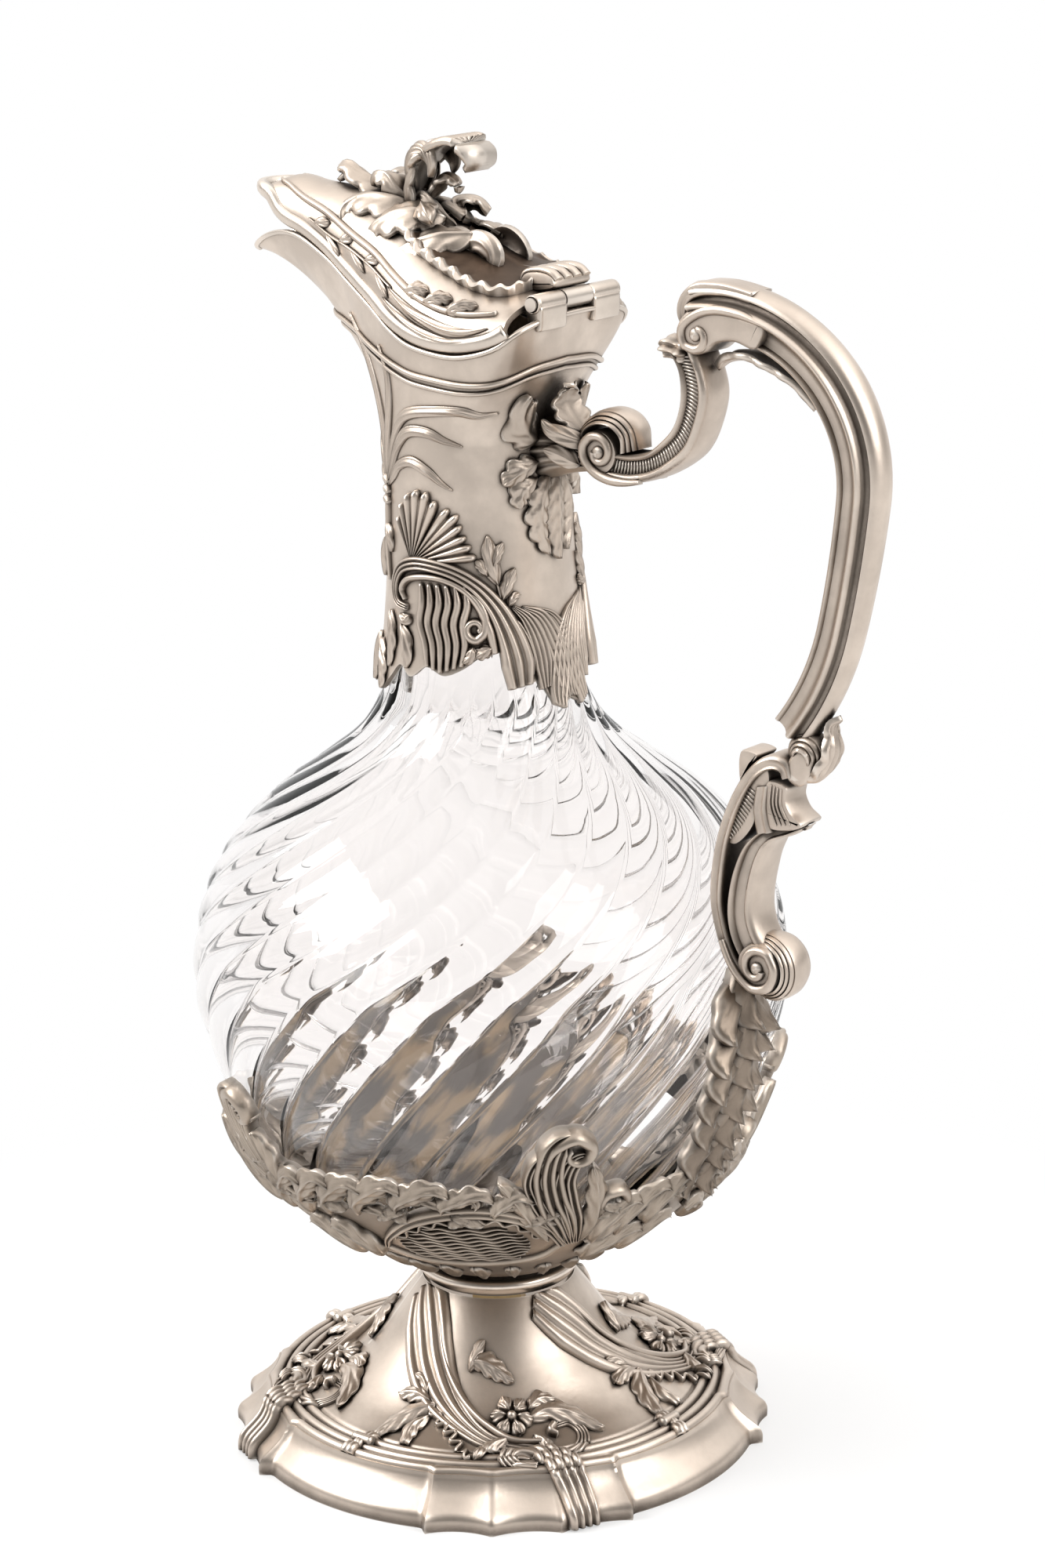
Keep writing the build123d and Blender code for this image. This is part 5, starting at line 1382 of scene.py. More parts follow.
def grip_head_piece():
    """The rolled end of the grip and the leaf under it."""
    casting = Casting()
    comma = [(76.9, 22.2), (70.9, 24.0), (64.6, 24.7), (60.4, 24.3), (57.3, 22.6), (55.7, 19.6),
        (56.9, 16.6), (59.6, 14.9), (61.8, 15.2), (65.0, 17.4), (69.7, 18.2), (74.6, 17.2)]
    slab(casting, up_by(comma), 5.1, 1.5)
    core = [(56.6, 20.0), (56.2, 24.0), (58.5, 26.2), (64, 27.0), (71, 26.2), (74, 22), (66, 18), (60, 17)]
    slab(casting, up_by(core), 2.5, 0.6)
    under_bead = [(57.8, 19.6), (57.1, 22.4), (57.9, 24.8), (60.4, 26.2), (64.6, 26.7), (67.9, 26.6),
        (72.5, 25.7)]
    over_bead = [(55.6, 19.2), (54.5, 22.8), (55.7, 26.4), (58.8, 28.9), (64.7, 29.5), (68.2, 29.2),
        (73.5, 28.2)]
    band(casting, up_by(under_bead), up_by(over_bead), [2.8, 3.4, 3.7, 3.7, 3.6, 3.5], plain_section)
    roll = [(78, 21.9), (70.9, 23.9), (64.8, 24.2), (60.4, 22.8), (57.3, 20.0), (57.9, 16.9), (60.2, 16.0)]
    coil = curled_line(up_by(roll), (60.8, horn_z + 18.9), 0.5, 0.4)
    for side in (-1, 1):
        casting.strip(on_side(side, 4.9), coil, [0.4, 0.9, 1.0, 1.0, 1.0, 0.8], rounded(1.0), 0.8, 80)
        casting.bead(on_side(side, 4.9), (60.7, horn_z + 19.0), 1.5, 0.9)
    leaf = [(62.5, 0, 11.6), (65.4, 0, 14.0), (70, 0, 14.8), (75.5, 0, 13.2), (81.5, 0, 10.2), (86, 0, 5.4)]
    free_leaf(casting, over_horn(leaf), (-0.4, 0, -1), 2.9, 5, 0.8, thick=1.4)
    return finished("grip_head", casting, JUG, chased_silver)


def lower_scroll_piece():
    """The long and the short scroll below the grip, their curled ends and the leafy curl over them."""
    casting = Casting()
    long_outer = [(82.4, -69.2), (81.4, -66.0), (78.7, -65.0), (74.8, -66.3), (70.9, -70.4), (66.9, -77.6),
        (64.4, -84.7), (63.0, -91.7), (62.7, -98.5), (64.1, -105.1), (66.6, -111.2), (71, -115)]
    long_inner = [(80.0, -70.0), (79.4, -68.6), (76.9, -68.6), (73.6, -71.2), (69.9, -77.5), (67.4, -84.4),
        (66.1, -91.4), (65.6, -98.3), (66.7, -103.4), (68.8, -109), (71.4, -112), (73, -113)]
    depths = [3.6, 4.4, 4.8, 4.8, 4.8, 4.8, 4.8]
    band(casting, up_by(long_inner), up_by(long_outer), depths, plain_section, 90)
    short_outer = [(85.6, -79.0), (81.5, -81.8), (77.6, -83.6), (75.6, -86.8), (74.3, -91), (73.4, -95.6),
        (73.2, -99.4), (74.2, -103), (76.2, -106)]
    short_inner = [(84.2, -80.6), (80.2, -80.2), (74.6, -81.8), (71.2, -85.2), (68.6, -90.8), (67.2, -96.6),
        (67.0, -101.4), (68.2, -106.2), (70.8, -110.8)]
    depths = [1.2, 2.8, 4.6, 4.8, 4.8, 4.8, 4.6]
    band(casting, up_by(short_inner), up_by(short_outer), depths, rim_section, 80)
    panel = [(77, -72), (73.6, -75.2), (73.2, -80.4), (68.2, -85.6), (64.8, -84), (67.2, -77.4),
        (71.4, -70.8), (76, -67)]
    slab(casting, up_by(panel), 3.5, 0.6)
    post = ([(73.9, -72.4), (73.4, -77.4), (74.2, -82.2)], [(77.3, -71.6), (76.8, -76.4), (77.8, -81.4)])
    band(casting, up_by(post[0]), up_by(post[1]), [4.2, 4.5, 4.4], plain_section, 30)
    spur = [(76.8, -70.8), (81.6, -71.4), (81.4, -74.2), (82.6, -76.6), (85.2, -78.8), (80, -80.8),
        (76.4, -80.2)]
    slab(casting, up_by(spur), 3.9, 0.9)
    for side in (-1, 1):
        for k in range(4):
            flute = [(78.0 + 0.8 * k, -71.2 - 0.2 * k), (77.6 + 0.9 * k, -75.4),
                (79.2 + 1.1 * k, -79.6 + 0.2 * k)]
            casting.strip(on_side(side, 3.8), up_by(flute), [0.2, 0.34, 0.2], rounded(0.5), 0.5, 20)
    centre = (75.0, horn_z - 110.6)
    slab(casting, circle_line(centre, 5.2, 0, 330), 5.0, 0.9)
    hood_inner = circle_line((centre[0] + 0.6, centre[1] - 0.2), 5.0, 100, -120, 14)
    hood_outer = circle_line((centre[0] + 0.8, centre[1] - 0.4), 7.2, 96, -112, 14)
    band(casting, hood_inner, hood_outer, [3.4, 4.6, 5.0, 5.0, 4.8, 4.2, 3.0], lined_section)
    roll = [(66.2, -106), (68.2, -110.4), (70.6, -113.2), (74.0, -115.2), (77.6, -114.2), (79.2, -110.6),
        (77.8, -107.4)]
    coil = curled_line(up_by(roll), centre, 0.8, 0.3)
    for side in (-1, 1):
        casting.strip(on_side(side, 5.2), coil, [0.6, 0.9, 1.0, 1.0, 0.9, 0.8], rounded(0.9), 0.9, 90)
        casting.bead(on_side(side, 5.2), centre, 1.4, 0.8)
    # The leafy curl outside the end of the grip
    curl_inner = circle_line((84.4, horn_z - 65.2), 1.6, 215, -60, 14)
    curl_outer = circle_line((84.8, horn_z - 64.6), 4.6, 205, -80, 14)
    band(casting, curl_inner, curl_outer, [2.4, 3.4, 4.0, 4.0, 3.6, 2.8], lined_section)
    core = [(81.2, -69.8), (81.4, -66), (84.6, -62.6), (87.4, -65.2), (86, -69.4), (83.8, -71)]
    slab(casting, up_by(core), 3.2, 1.0)
    leaf = [(82.5, 0, -70), (86.5, 0, -69), (90.4, 0, -63.6), (90.4, 0, -57.6), (92.4, 0, -56.2)]
    free_leaf(casting, over_horn(leaf), (1, 0, -0.3), 3.8, 4, 0.9, ribs=5)
    stub = [(69.6, -67.0), (70.4, -65.2), (74.2, -65.8), (72.4, -68.2), (70.0, -72.0)]
    slab(casting, up_by(stub), 3.6, 0.5)
    return finished("handle_lower_scrolls", casting, JUG, chased_silver, ["handle_lower_scroll"],
        sharp=50)


def panel_hatching():
    """Short bars across the panel between the lower scrolls."""
    places = []
    for side in (-1, 1):
        face = on_side(side, 3.4)
        for k in range(15):
            share = k / 14
            middle = np.array([73.2 - 6.0 * share, horn_z - 73.4 - 10.4 * share])
            length = 2.9 * math.sin(math.pi * (0.22 + 0.6 * share))
            places.append(stand(face, middle[0], middle[1], math.radians(-28 - 20 * share),
                (length, 0.42, 0.5)))
    copies("panel_hatching", unit_bar(), places, JUG, satin_silver)


glass_skin = turned_skin(stretch(crystal_curve, glass_base + 1, shoulder_z, 160))


def husk_drop():
    """Overlapping husk leaves down the crystal under the handle."""
    places = []
    for k in range(7):
        level = belly_z + 11.5 - 6.5 * k
        taper = 1.0 - 0.035 * k
        spot = on_skin(glass_skin, 0, level)
        for side in (-1, 1):
            turn = math.pi - side * (0.62 + 0.08 * (k % 2))
            places.append(stand(spot, side * 1.4, 0, turn, (12.5 * taper, 16.0 * taper, 13.0), 0.3))
        places.append(stand(spot, 0, 1.8, math.pi, (12.0 * taper, 14.5 * taper, 17.0), 1.2))
    copies("husk_garland", unit_leaf(2, 0.22, 0.9, 0.24), places, JUG, dark_silver, 0.08,
        ["handle_leaf_drop"])


upper_scroll_piece()
arch_hatching()
socket_piece()
grip_head_piece()
lower_scroll_piece()
panel_hatching()
husk_drop()

# Lid ornament

def lid_wall():
    """The near half of the lid as a skin: places are x and the distance up from the spring of the dome."""
    levels = np.linspace(0, 22, 90)
    points = []
    for x, half, edge, crest in zip(lid_x, lid_half, lid_edge, lid_crest):
        turn = np.linspace(0, math.pi / 2, 120)
        spring = dome_spring(edge, crest)
        arc = np.stack([0 * turn + x, -half * np.cos(turn), spring + (crest - spring) * np.sin(turn)], 1)
        points.append(np.stack([np.interp(levels, walked(arc), arc[:, k]) for k in range(3)], 1))
    skin = Skin(lid_x, levels, np.array(points))
    if skin.normals[60, 20, 2] < 0:
        skin.normals = -skin.normals
    return skin


lid_skin = lid_wall()


def on_wall(side):
    """Lays forms on a side of the lid; the side is 1 or -1."""
    def mapping(form):
        return lid_skin.at(form[..., 0], form[..., 1], form[..., 2]) * np.array([1, -side, 1])
    return mapping


def wall_places(points):
    """Places in the plan of the lid, as x and distance up its wall."""
    places = []
    for x, y in points:
        row = lid_skin.points[int(round(np.interp(x, lid_x, np.arange(len(lid_x)))))]
        places.append((x, np.interp(-abs(y), row[:60, 1] + 1e-6 * np.arange(60), lid_skin.levels[:60])))
    return places


def end_in_lid_wall(casting):
    """Raises what would come out under the lid, so that it ends inside the lid's wall."""
    for points in casting.points:
        x, y = points[:, 0], points[:, 1]
        inside = np.abs(y) < np.interp(x, lid_x, lid_half) - 0.6
        over_lid = (x > lid_x[0] + 1) & (x < lid_x[-1] - 0.2) & inside
        points[:, 2] = np.where(over_lid, np.maximum(points[:, 2], lid_height(x, y) - 0.5), points[:, 2])


def lid_leaves():
    """Curled acanthus leaves round the thumbpiece."""
    casting = Casting()

    def leaf(points, width, up, lobes, side=1):
        lift = (up[0], side * up[1], up[2])
        free_leaf(casting, over_horn(points, side), lift, width, lobes, 1.4, 0.5, cup=-0.5, cut=0.34)

    pairs = [
        ([(-12, 1.8, 38.4), (-19, 3.8, 40.4), (-25, 5.0, 40.6), (-29.8, 5.6, 38.9), (-31.6, 5.8, 36.4)],
            5.4, (0, 0.5, 1), 4),
        ([(-5, 3, 37.4), (-10.5, 6.6, 38.6), (-15.5, 8.6, 37.4), (-19.3, 9.4, 34.8), (-20.2, 9.6, 32.2)],
            5.6, (0, 0.7, 1), 4),
        ([(4, 4.5, 34.8), (-3, 8.6, 34.0), (-8.5, 11, 31.8), (-13.6, 12, 28.8), (-15.2, 12.2, 26.4)], 4.8,
            (0, 0.9, 1), 4),
        ([(-22, 1.5, 40.6), (-26, 4.6, 40.4), (-28.8, 7.4, 38.0), (-28.0, 9.0, 35.2)], 3.4, (-0.4, 1, 1),
            3),
        ([(-13.5, 1.4, 38.5), (-17.6, 2.2, 42.2), (-21.2, 2.8, 45.2), (-23.6, 2.8, 45.2),
            (-24.3, 2.8, 43.2)], 3.4, (-0.5, 0.4, 0.8), 3),
        ([(-9, 2, 37), (-8.4, 5.4, 39.4), (-6.0, 8.2, 39.6), (-3.6, 9.6, 37.8)], 3.0, (0.3, 1, 1), 3)]
    front = [(-13, 0.5, 38.0), (-21, 0.8, 41.0), (-27, 1, 42.4), (-31.5, 1, 44.4), (-35, 1, 46.6),
        (-37, 1, 45.8)]
    leaf(front + [(-36.2, 1, 43.6)], 4.6, (-0.3, 0, 1), 5)
    for side in (-1, 1):
        for points, width, up, lobes in pairs:
            leaf(points, width, up, lobes, side)
    back = [(-3, -2, 35.6), (-7.7, -2, 37.8), (-10.3, -2, 40.6), (-12, -2, 41.8), (-13.8, -2, 40.6)]
    leaf(back, 2.2, (1, -0.4, 0.8), 0)
    end_in_lid_wall(casting)
    return finished("lid_acanthus_leaves", casting, LID, leaf_silver, ["lid_acanthus"])


def lid_border():
    """The raised line inside the lid's edge with a laurel sprig and long blades beside it."""
    casting = Casting()
    for side in (-1, 1):
        spot = on_wall(side)
        line = wall_places([(-50, 3.6), (-47, 4.8), (-41, 6.4), (-33, 8.4), (-23.6, 11.3), (-15.1, 13.8),
            (-8.8, 16.2), (-2.8, 18.0), (2.5, 19.0), (9, 19.4), (15.2, 19.0), (20.1, 17.6)])
        casting.strip(spot, line, [0.5, 0.8, 0.9, 0.9, 0.9, 0.8, 0.6], rounded(1.1), 0.6, 110)
        sprig = wall_places([(-38, 7.4), (-31, 9.2), (-23.6, 11.3), (-15.1, 13.8), (-8, 16.3)])
        stem = smooth_line([(x, level - 2.9) for x, level in sprig], 60)
        casting.strip(spot, stem, [0.2, 0.4, 0.4, 0.3], rounded(0.8), 0.5, 60)
        ways = headings(stem)
        for k, lean in ((4, 0.5), (13, -0.5), (22, 0.5), (31, -0.5), (40, 0.5), (49, -0.5)):
            turn = math.atan2(ways[k, 1], ways[k, 0]) + lean
            heading = np.array([math.cos(turn), math.sin(turn)])
            leaf = [stem[k] + heading * reach for reach in (0.0, 2.6, 5.2)]
            casting.leaf(spot, leaf, 1.05, 0, 0.9, 0.5)
        for line, width, drop in (
                ([(-8.8, 16.2), (-2.8, 18.2), (3.7, 19.4), (9.3, 19.8), (15.4, 19.6), (20.0, 18.2)], 1.2,
                    3.0),
                ([(-10, 15.8), (-2.8, 18.2), (3.7, 19.4), (9.3, 19.8), (15.4, 19.6)], 1.0, 5.6)):
            line = [(x, max(level - drop, 0.6)) for x, level in wall_places(line)]
            casting.leaf(spot, line, width, 0, 0.9, 0.5, count=40, full=0.9)
        for x, y, reach in ((-3.0, 17.6, 5.5), (2.6, 18.4, 6.0), (9.0, 18.8, 6.0)):
            foot = np.array(wall_places([(x, y)])[0])
            casting.leaf(spot, [foot + (0, -1.6), foot + (0.5 * reach, 0.2), foot + (reach, 0.8)], 1.9, 3,
                1.5, 0.5)
    return finished("lid_border_and_laurel", casting, LID, chased_silver)


def thumb_plume():
    """The thumbpiece: a trough stem whose shell top curls back, with a ribbed lobe on each side."""
    casting = Casting()
    line = [(-13.2, 0, 34.0), (-14.6, 0, 40), (-13.9, 0, 45.8), (-10.8, 0, 50.2), (-6.2, 0, 52.8),
        (-1.6, 0, 53.5), (1.8, 0, 51.6), (2.5, 0, 49.2), (1.0, 0, 47.8)]
    widths = [3.4, 3.0, 2.9, 3.4, 4.4, 5.2, 5.6, 5.4, 3.8]
    form = strip_form([(0, 0), (0, 30), (0, 60)], widths, ridged(7, 1.5, 0.4), 0.3, 70)
    form[..., 1] = np.linspace(0, 1, len(form))[:, None]
    casting.lay(along_spine(over_horn(line), (-1, 0, 0.4), 90), form)
    low_lobe = [(-12.6, 1.4, 35.5), (-14.4, 3.0, 40), (-14.2, 3.6, 44.6), (-12.2, 4.0, 48.6)]
    high_lobe = [(-13.8, 1.6, 42.5), (-14.6, 2.6, 47.6), (-12.4, 3.4, 51.2), (-9.4, 3.8, 51.4),
        (-7.9, 3.8, 48.8), (-8.4, 3.6, 46.2)]
    for side in (-1, 1):
        free_leaf(casting, over_horn(low_lobe, side), (-0.5, side, 0.3), 2.3, 3, 0.9, cut=0.4)
        free_leaf(casting, over_horn(high_lobe, side), (-0.6, side * 0.8, 0.6), 2.9, 3, 0.9, ribs=5)
    back = [(-11.5, 0, 41.5), (-9, 0, 44.4), (-6.2, 0, 45.8), (-4.0, 0, 44.4), (-4.4, 0, 42.8)]
    free_leaf(casting, over_horn(back), (-0.3, 0, 1), 2.8, 3, 0.9, ribs=3)
    end_in_lid_wall(casting)
    return finished("thumbpiece_plume", casting, LID, leaf_silver, ["lid_thumbpiece"])


def ruffled_shell():
    """A hollow shell with a wavy border behind the leaves, a nearly black sheet over its inside that paints
    the shade of its hollow, and the scroll before it.
    """
    near = [(-9.0, -11.4), (-6.4, -12.8), (-2.3, -13.8), (1.4, -14.4), (4.9, -14.8), (9.7, -15.4),
        (13.4, -15.2)]
    near = smooth_line(near + [(17.0, -14.4), (19.3, -12.2), (20.4, -9), (20.8, -5), (20.9, 0)], 150)
    edge = np.vstack([near, (near * np.array([1, -1]))[-2::-1]])
    centre = np.stack([-1.5 + (edge[:, 0] + 9) * 0.5, 0 * edge[:, 0]], 1)
    turn = np.linspace(0, 21 * 2 * math.pi, len(edge))

    def ring(share, lift, sway):
        """The edge drawn in towards the middle by a share, lifted off the lid and waved."""
        spot = edge + (centre - edge) * share + (edge - centre) / 17 * (sway * np.sin(turn))[:, None]
        z = lid_height(spot[:, 0], spot[:, 1]) + lift + 0.5 * sway * np.cos(turn)
        return np.column_stack([spot, z])

    def shell(rows):
        made = Casting()
        made.grid(np.transpose(np.array(rows), (1, 0, 2)), across_closed=True, caps=True)
        return made

    profile = [(0, 2.2, 0.62), (0.04, 2.5, 0.6), (0.09, 1.9, 0.5), (0.16, 1.2, 0.28), (0.26, 0.8, 0.1),
        (0.4, 0.6, 0.05), (0.56, 0.5, 0), (0.74, 0.5, 0), (0.9, 0.5, 0), (1.0, 0.5, 0)]
    top = [ring(*values) for values in profile]
    casting = shell(top + [ring(min(share + 0.03, 1), -0.3, 0) for share, lift, sway in profile[::-2]])
    up = np.array([0, 0, 1])
    # A nearly black sheet just over the inside of the shell paints the shade of its hollow.
    shade_sheet = shell([row + 0.06 * up for row in top[2:]] + [row - 0.3 * up for row in top[:1:-1]])
    finished("lid_ruffled_shell_lining", shade_sheet, LID, shade_sheet_silver)
    roll = [(12.5, 25.6), (8.4, 27.4), (9.2, 30.6), (7.9, 32.8), (5.1, 34.0), (2.0, 32.6), (1.0, 29.6),
        (2.4, 27.2)]
    for side in (-1, 1):
        spine = over_horn([(x, 5.0, z) for x, z in roll + [(4.4, 26.6)]], side)
        free_leaf(casting, spine, (0, side, 0.3), 2.4, 0, 0.9, thick=1.3, full=0.9)
    core = [(2.0, 30.5), (7.5, 30.2), (12, 28.2), (16, 25.8), (15.6, 24), (8, 25.6), (1, 27)]
    slab(casting, up_by(core), 3.4, 1.2)
    end_in_lid_wall(casting)
    return finished("lid_ruffled_shell", casting, LID, chased_silver, ["lid_ruffle"],
        sharp=60)


def heel_scroll():
    """The ribbed scroll over the middle of the hinge."""
    casting = Casting()

    def by_pin(points):
        """Points with x and height counted from the pin."""
        return [(hinge[0] + x, hinge[2] + z) for x, z in points]

    slab(casting, by_pin([(-9.3, 2.0), (-8.2, 4.8), (-5, 5.6), (-1.7, 5.2), (-0.2, 4.2), (0, 2.6),
        (-3.5, 1.6)]), 6.2, 1.2)
    turn = np.linspace(0, 2 * math.pi, 13)[:-1]
    share = np.linspace(0, 1, 30)[:, None]
    rib = np.stack([1.2 * np.cos(turn) + 0 * share, share + 0 * turn, 0.7 * np.sin(turn) + 0 * share], 2)
    for y in (-4.6, -1.6, 1.6, 4.6):
        line = [(x, y, z) for x, z in by_pin([(-9.4, 1.6), (-8.4, 4.8), (-5, 5.8), (-1.7, 5.4),
            (0.1, 4.0)])]
        casting.lay(along_spine(smooth_line(line, 30), (0, 0, 1), 30), rib)
    end_in_lid_wall(casting)
    return finished("hinge_heel_scroll", casting, LID, chased_silver, ["lid_heel_scroll"],
        sharp=50)


lid_leaves()
lid_border()
thumb_plume()
ruffled_shell()
heel_scroll()


# Ornament on the neck, drawn on its near side and mirrored to the far side

def chart(skin, azimuth, level, points):
    """Places given as azimuth and level, as distances across and up from one place of a skin."""
    points = np.asarray(points, float)
    base = skin.at(0 * points[:, 1] + azimuth, points[:, 1], 0 * points[:, 1])
    reach = np.hypot(base[:, 0], base[:, 1])
    return np.stack([np.radians(points[:, 0] - azimuth) * reach, points[:, 1] - level], 1)


neck_middle, neck_low = -75, 190.0


def on_neck(side):
    """Lays forms on a side of the neck; the side is 1 for the near one and -1 for the far one."""
    return on_skin(neck_skin, side * neck_middle, neck_low, side)


def neck_places(*points):
    """Places on the near side of the neck, given as azimuth and height."""
    return chart(neck_skin, neck_middle, neck_low, points)


def neck_cartouche(side):
    """A fan shell over a double arch of wavy flutes, with a curl, a leaf sprig and feather lobes."""
    casting = Casting()
    spot = on_neck(side)
    at = neck_places
    root = at((-96, 201.0))[0]
    casting.lay(spot, fan_form(root, 118, 60, [8.5, 12.6, 15.6, 16.0, 14.4], 6, 1.7, scallop=0.13))
    casting.lay(spot, fan_form(root, 58, 4, [14.8, 15.6, 14.0, 14.4, 15.2], 6, 1.5, scallop=0.13))
    arch = at((-99, 191.4), (-108, 192.2), (-111, 195.6), (-105.5, 199.3), (-94, 201.0), (-81, 201.0),
        (-66, 199.7), (-53, 196.8), (-43.2, 192.6), (-36.6, 187.6), (-32.4, 182.0), (-31.0, 175.5))
    casting.strip(spot, arch, [0.7, 1.0, 1.3, 1.5, 1.5, 1.5, 1.6, 1.9, 2.4, 3.0, 3.4, 2.6],
        ridged(3, 2.3, 0.45), 0.7, 80)
    inner = at((-101, 193.0), (-104.5, 195.0), (-100, 197.2), (-88, 198.4), (-74, 198.2), (-62, 196.4),
        (-53, 193.0), (-47, 188.0), (-44, 182.8))
    casting.strip(spot, inner, [0.5, 0.8, 0.8, 0.8, 0.8, 0.9, 1.1, 1.2, 0.9], rounded(1.7), 0.7, 60)
    for k in range(6):
        top, foot = -88.5 + 5.6 * k, -82.5 + 3.9 * k
        line = at((top, 197.0), (top + 1.5, 193), (top + 0.4 - 0.3 * k, 189),
            ((top + foot) / 2 + 1.2, 184.6), (foot, 178.6 + 0.5 * abs(k - 2)))
        casting.strip(spot, line, [0.5, 0.95, 1.0, 0.95, 0.85, 0.5], rounded(1.5), 0.7, 36)
    curl = curled_line(at((-60, 195.6), (-54, 194.4), (-49, 190.6), (-49.6, 187.2), (-54.0, 185.6)),
        at((-54.4, 188.0))[0], -0.9, 0.3)
    casting.strip(spot, curl, [0.6, 1.1, 1.2, 1.1, 0.9, 0.8], rounded(1.7), 0.7, 60)
    for line, width in (
            (at((-41, 197.0), (-44.8, 201.4), (-46.6, 207.6)), 1.9),
            (at((-44, 200.6), (-41, 203.6), (-37.4, 206.0)), 1.3),
            (at((-47, 199), (-51, 201.4), (-54, 202.4)), 1.3),
            (at((-39, 193.8), (-35.4, 197.4), (-30.6, 200.4)), 1.7),
            (at((-36, 192.6), (-31.6, 194.4), (-28, 194.8)), 1.2),
            (at((-103, 188), (-98, 183.6), (-97, 178.6)), 1.9),
            (at((-104, 190), (-100, 188.6), (-96.4, 189.8)), 1.4),
            (at((-56, 184.4), (-58, 182.2), (-62, 181.0)), 1.6),
            (at((-45, 184.2), (-50, 183.2), (-55, 182.2)), 1.7)):
        casting.leaf(spot, line, width, 2, 1.3, curl=0.3)
    casting.strip(spot, at((-42, 190), (-40, 194), (-43.5, 200)), [0.5, 0.4, 0.25], rounded(0.9), 0.6, 24)
    for line, widths in (
            (at((-37, 191.4), (-31, 187), (-26.6, 182), (-25.6, 177.6)), [0.4, 1.5, 1.9, 1.9, 1.1]),
            (at((-33, 192.4), (-25, 189.6), (-18.6, 184.2), (-16.4, 174.6)), [0.4, 1.6, 2.2, 2.2, 1.2]),
            (at((-27, 192), (-16, 189.6), (-8, 184.0), (-4.0, 177.4), (-3.4, 171.6)),
                [0.4, 1.6, 2.3, 2.4, 2.3, 1.2]),
            (at((-18, 191.4), (-7, 189), (2, 183.0), (7.0, 176.0), (9.4, 170.4)),
                [0.3, 1.2, 2.2, 2.5, 2.4, 1.3])):
        casting.strip(spot, line, widths, ridged(4, 1.3, 0.55), 0.7, 44)
    for line, width in (
            (at((-128, 183), (-122, 177.6), (-119, 172.8)), 2.2),
            (at((-116, 190), (-113, 184), (-113, 178)), 1.8),
            (at((-134, 184), (-136, 178), (-134, 173.4)), 2.4),
            (at((-150, 182), (-152, 177), (-150, 172.6)), 2.6)):
        casting.leaf(spot, line, width, 3, 1.2, curl=0.2)
    name = "near" if side > 0 else "far"
    return finished("neck_cartouche_" + name, casting, JUG, chased_silver,
        ["neck_cartouches"] if side > 0 else [])


def throat_sprays():
    """Long blades that grow from a knot low on the throat, on both sides of the spout."""
    casting = Casting()
    at = neck_places
    for side in (1, -1):
        spot = on_neck(side)
        for line, width in (
                (at((-126, 217), (-119, 221.8), (-113, 226.6), (-101, 231.2), (-85, 233.6), (-69, 233.6),
                    (-55, 232.0), (-43, 231.8)), 1.25),
                (at((-125, 216.6), (-118, 219.8), (-111, 224.4), (-99, 228.2), (-86, 229.0), (-72, 227.4),
                    (-60, 226.2)), 1.2),
                (at((-124, 216), (-116, 218.4), (-109, 221.0), (-96, 222.4), (-84, 220.8), (-75, 218.6),
                    (-67, 217.0)), 1.2),
                (at((-127, 217), (-124, 224), (-118, 231), (-117, 236.5), (-121, 240)), 1.1),
                (at((-128, 217), (-131, 225), (-138, 233), (-146, 239.5)), 1.2),
                (at((-129, 216), (-136, 222), (-147, 227), (-158, 230.5)), 1.2),
                (at((-129, 215), (-137, 218), (-147, 219.4), (-157, 217.6)), 1.1)):
            casting.leaf(spot, line, width, 0, 0.75, 0.5, sunk=0.5, count=46, full=0.9)
        stem = at((-127.5, 218), (-127, 210), (-125.5, 202), (-120, 196))
        casting.strip(spot, stem, [0.7, 1.0, 0.9, 0.6], rounded(1.1), 0.6, 40)
        for level in (214.4, 216.6, 212.2):
            casting.strip(spot, at((-131, level), (-127.4, level + 0.8), (-124, level)), [0.7, 1.1, 0.7],
                rounded(1.5), 0.6, 16)
        for line in (
                at((-126, 208), (-122, 205.6), (-119, 202)),
                at((-129, 205), (-132.5, 201), (-133, 196))):
            casting.leaf(spot, line, 1.4, 2, 1.2)
    return finished("throat_sprays", casting, JUG, chased_silver, ["spout_spray"])


neck_cartouche(1)
neck_cartouche(-1)
throat_sprays()

# Ornament on the calyx

calyx_line = stretch(calyx_curve, calyx_low + 0.2, shoulder_z - 10, 260)
calyx_levels = walked(calyx_line)
calyx_skin = turned_skin(calyx_line, calyx_levels)


def calyx_level(z):
    """The level of the calyx skin at a height."""
    return np.interp(z, calyx_line[:, 1], calyx_levels)


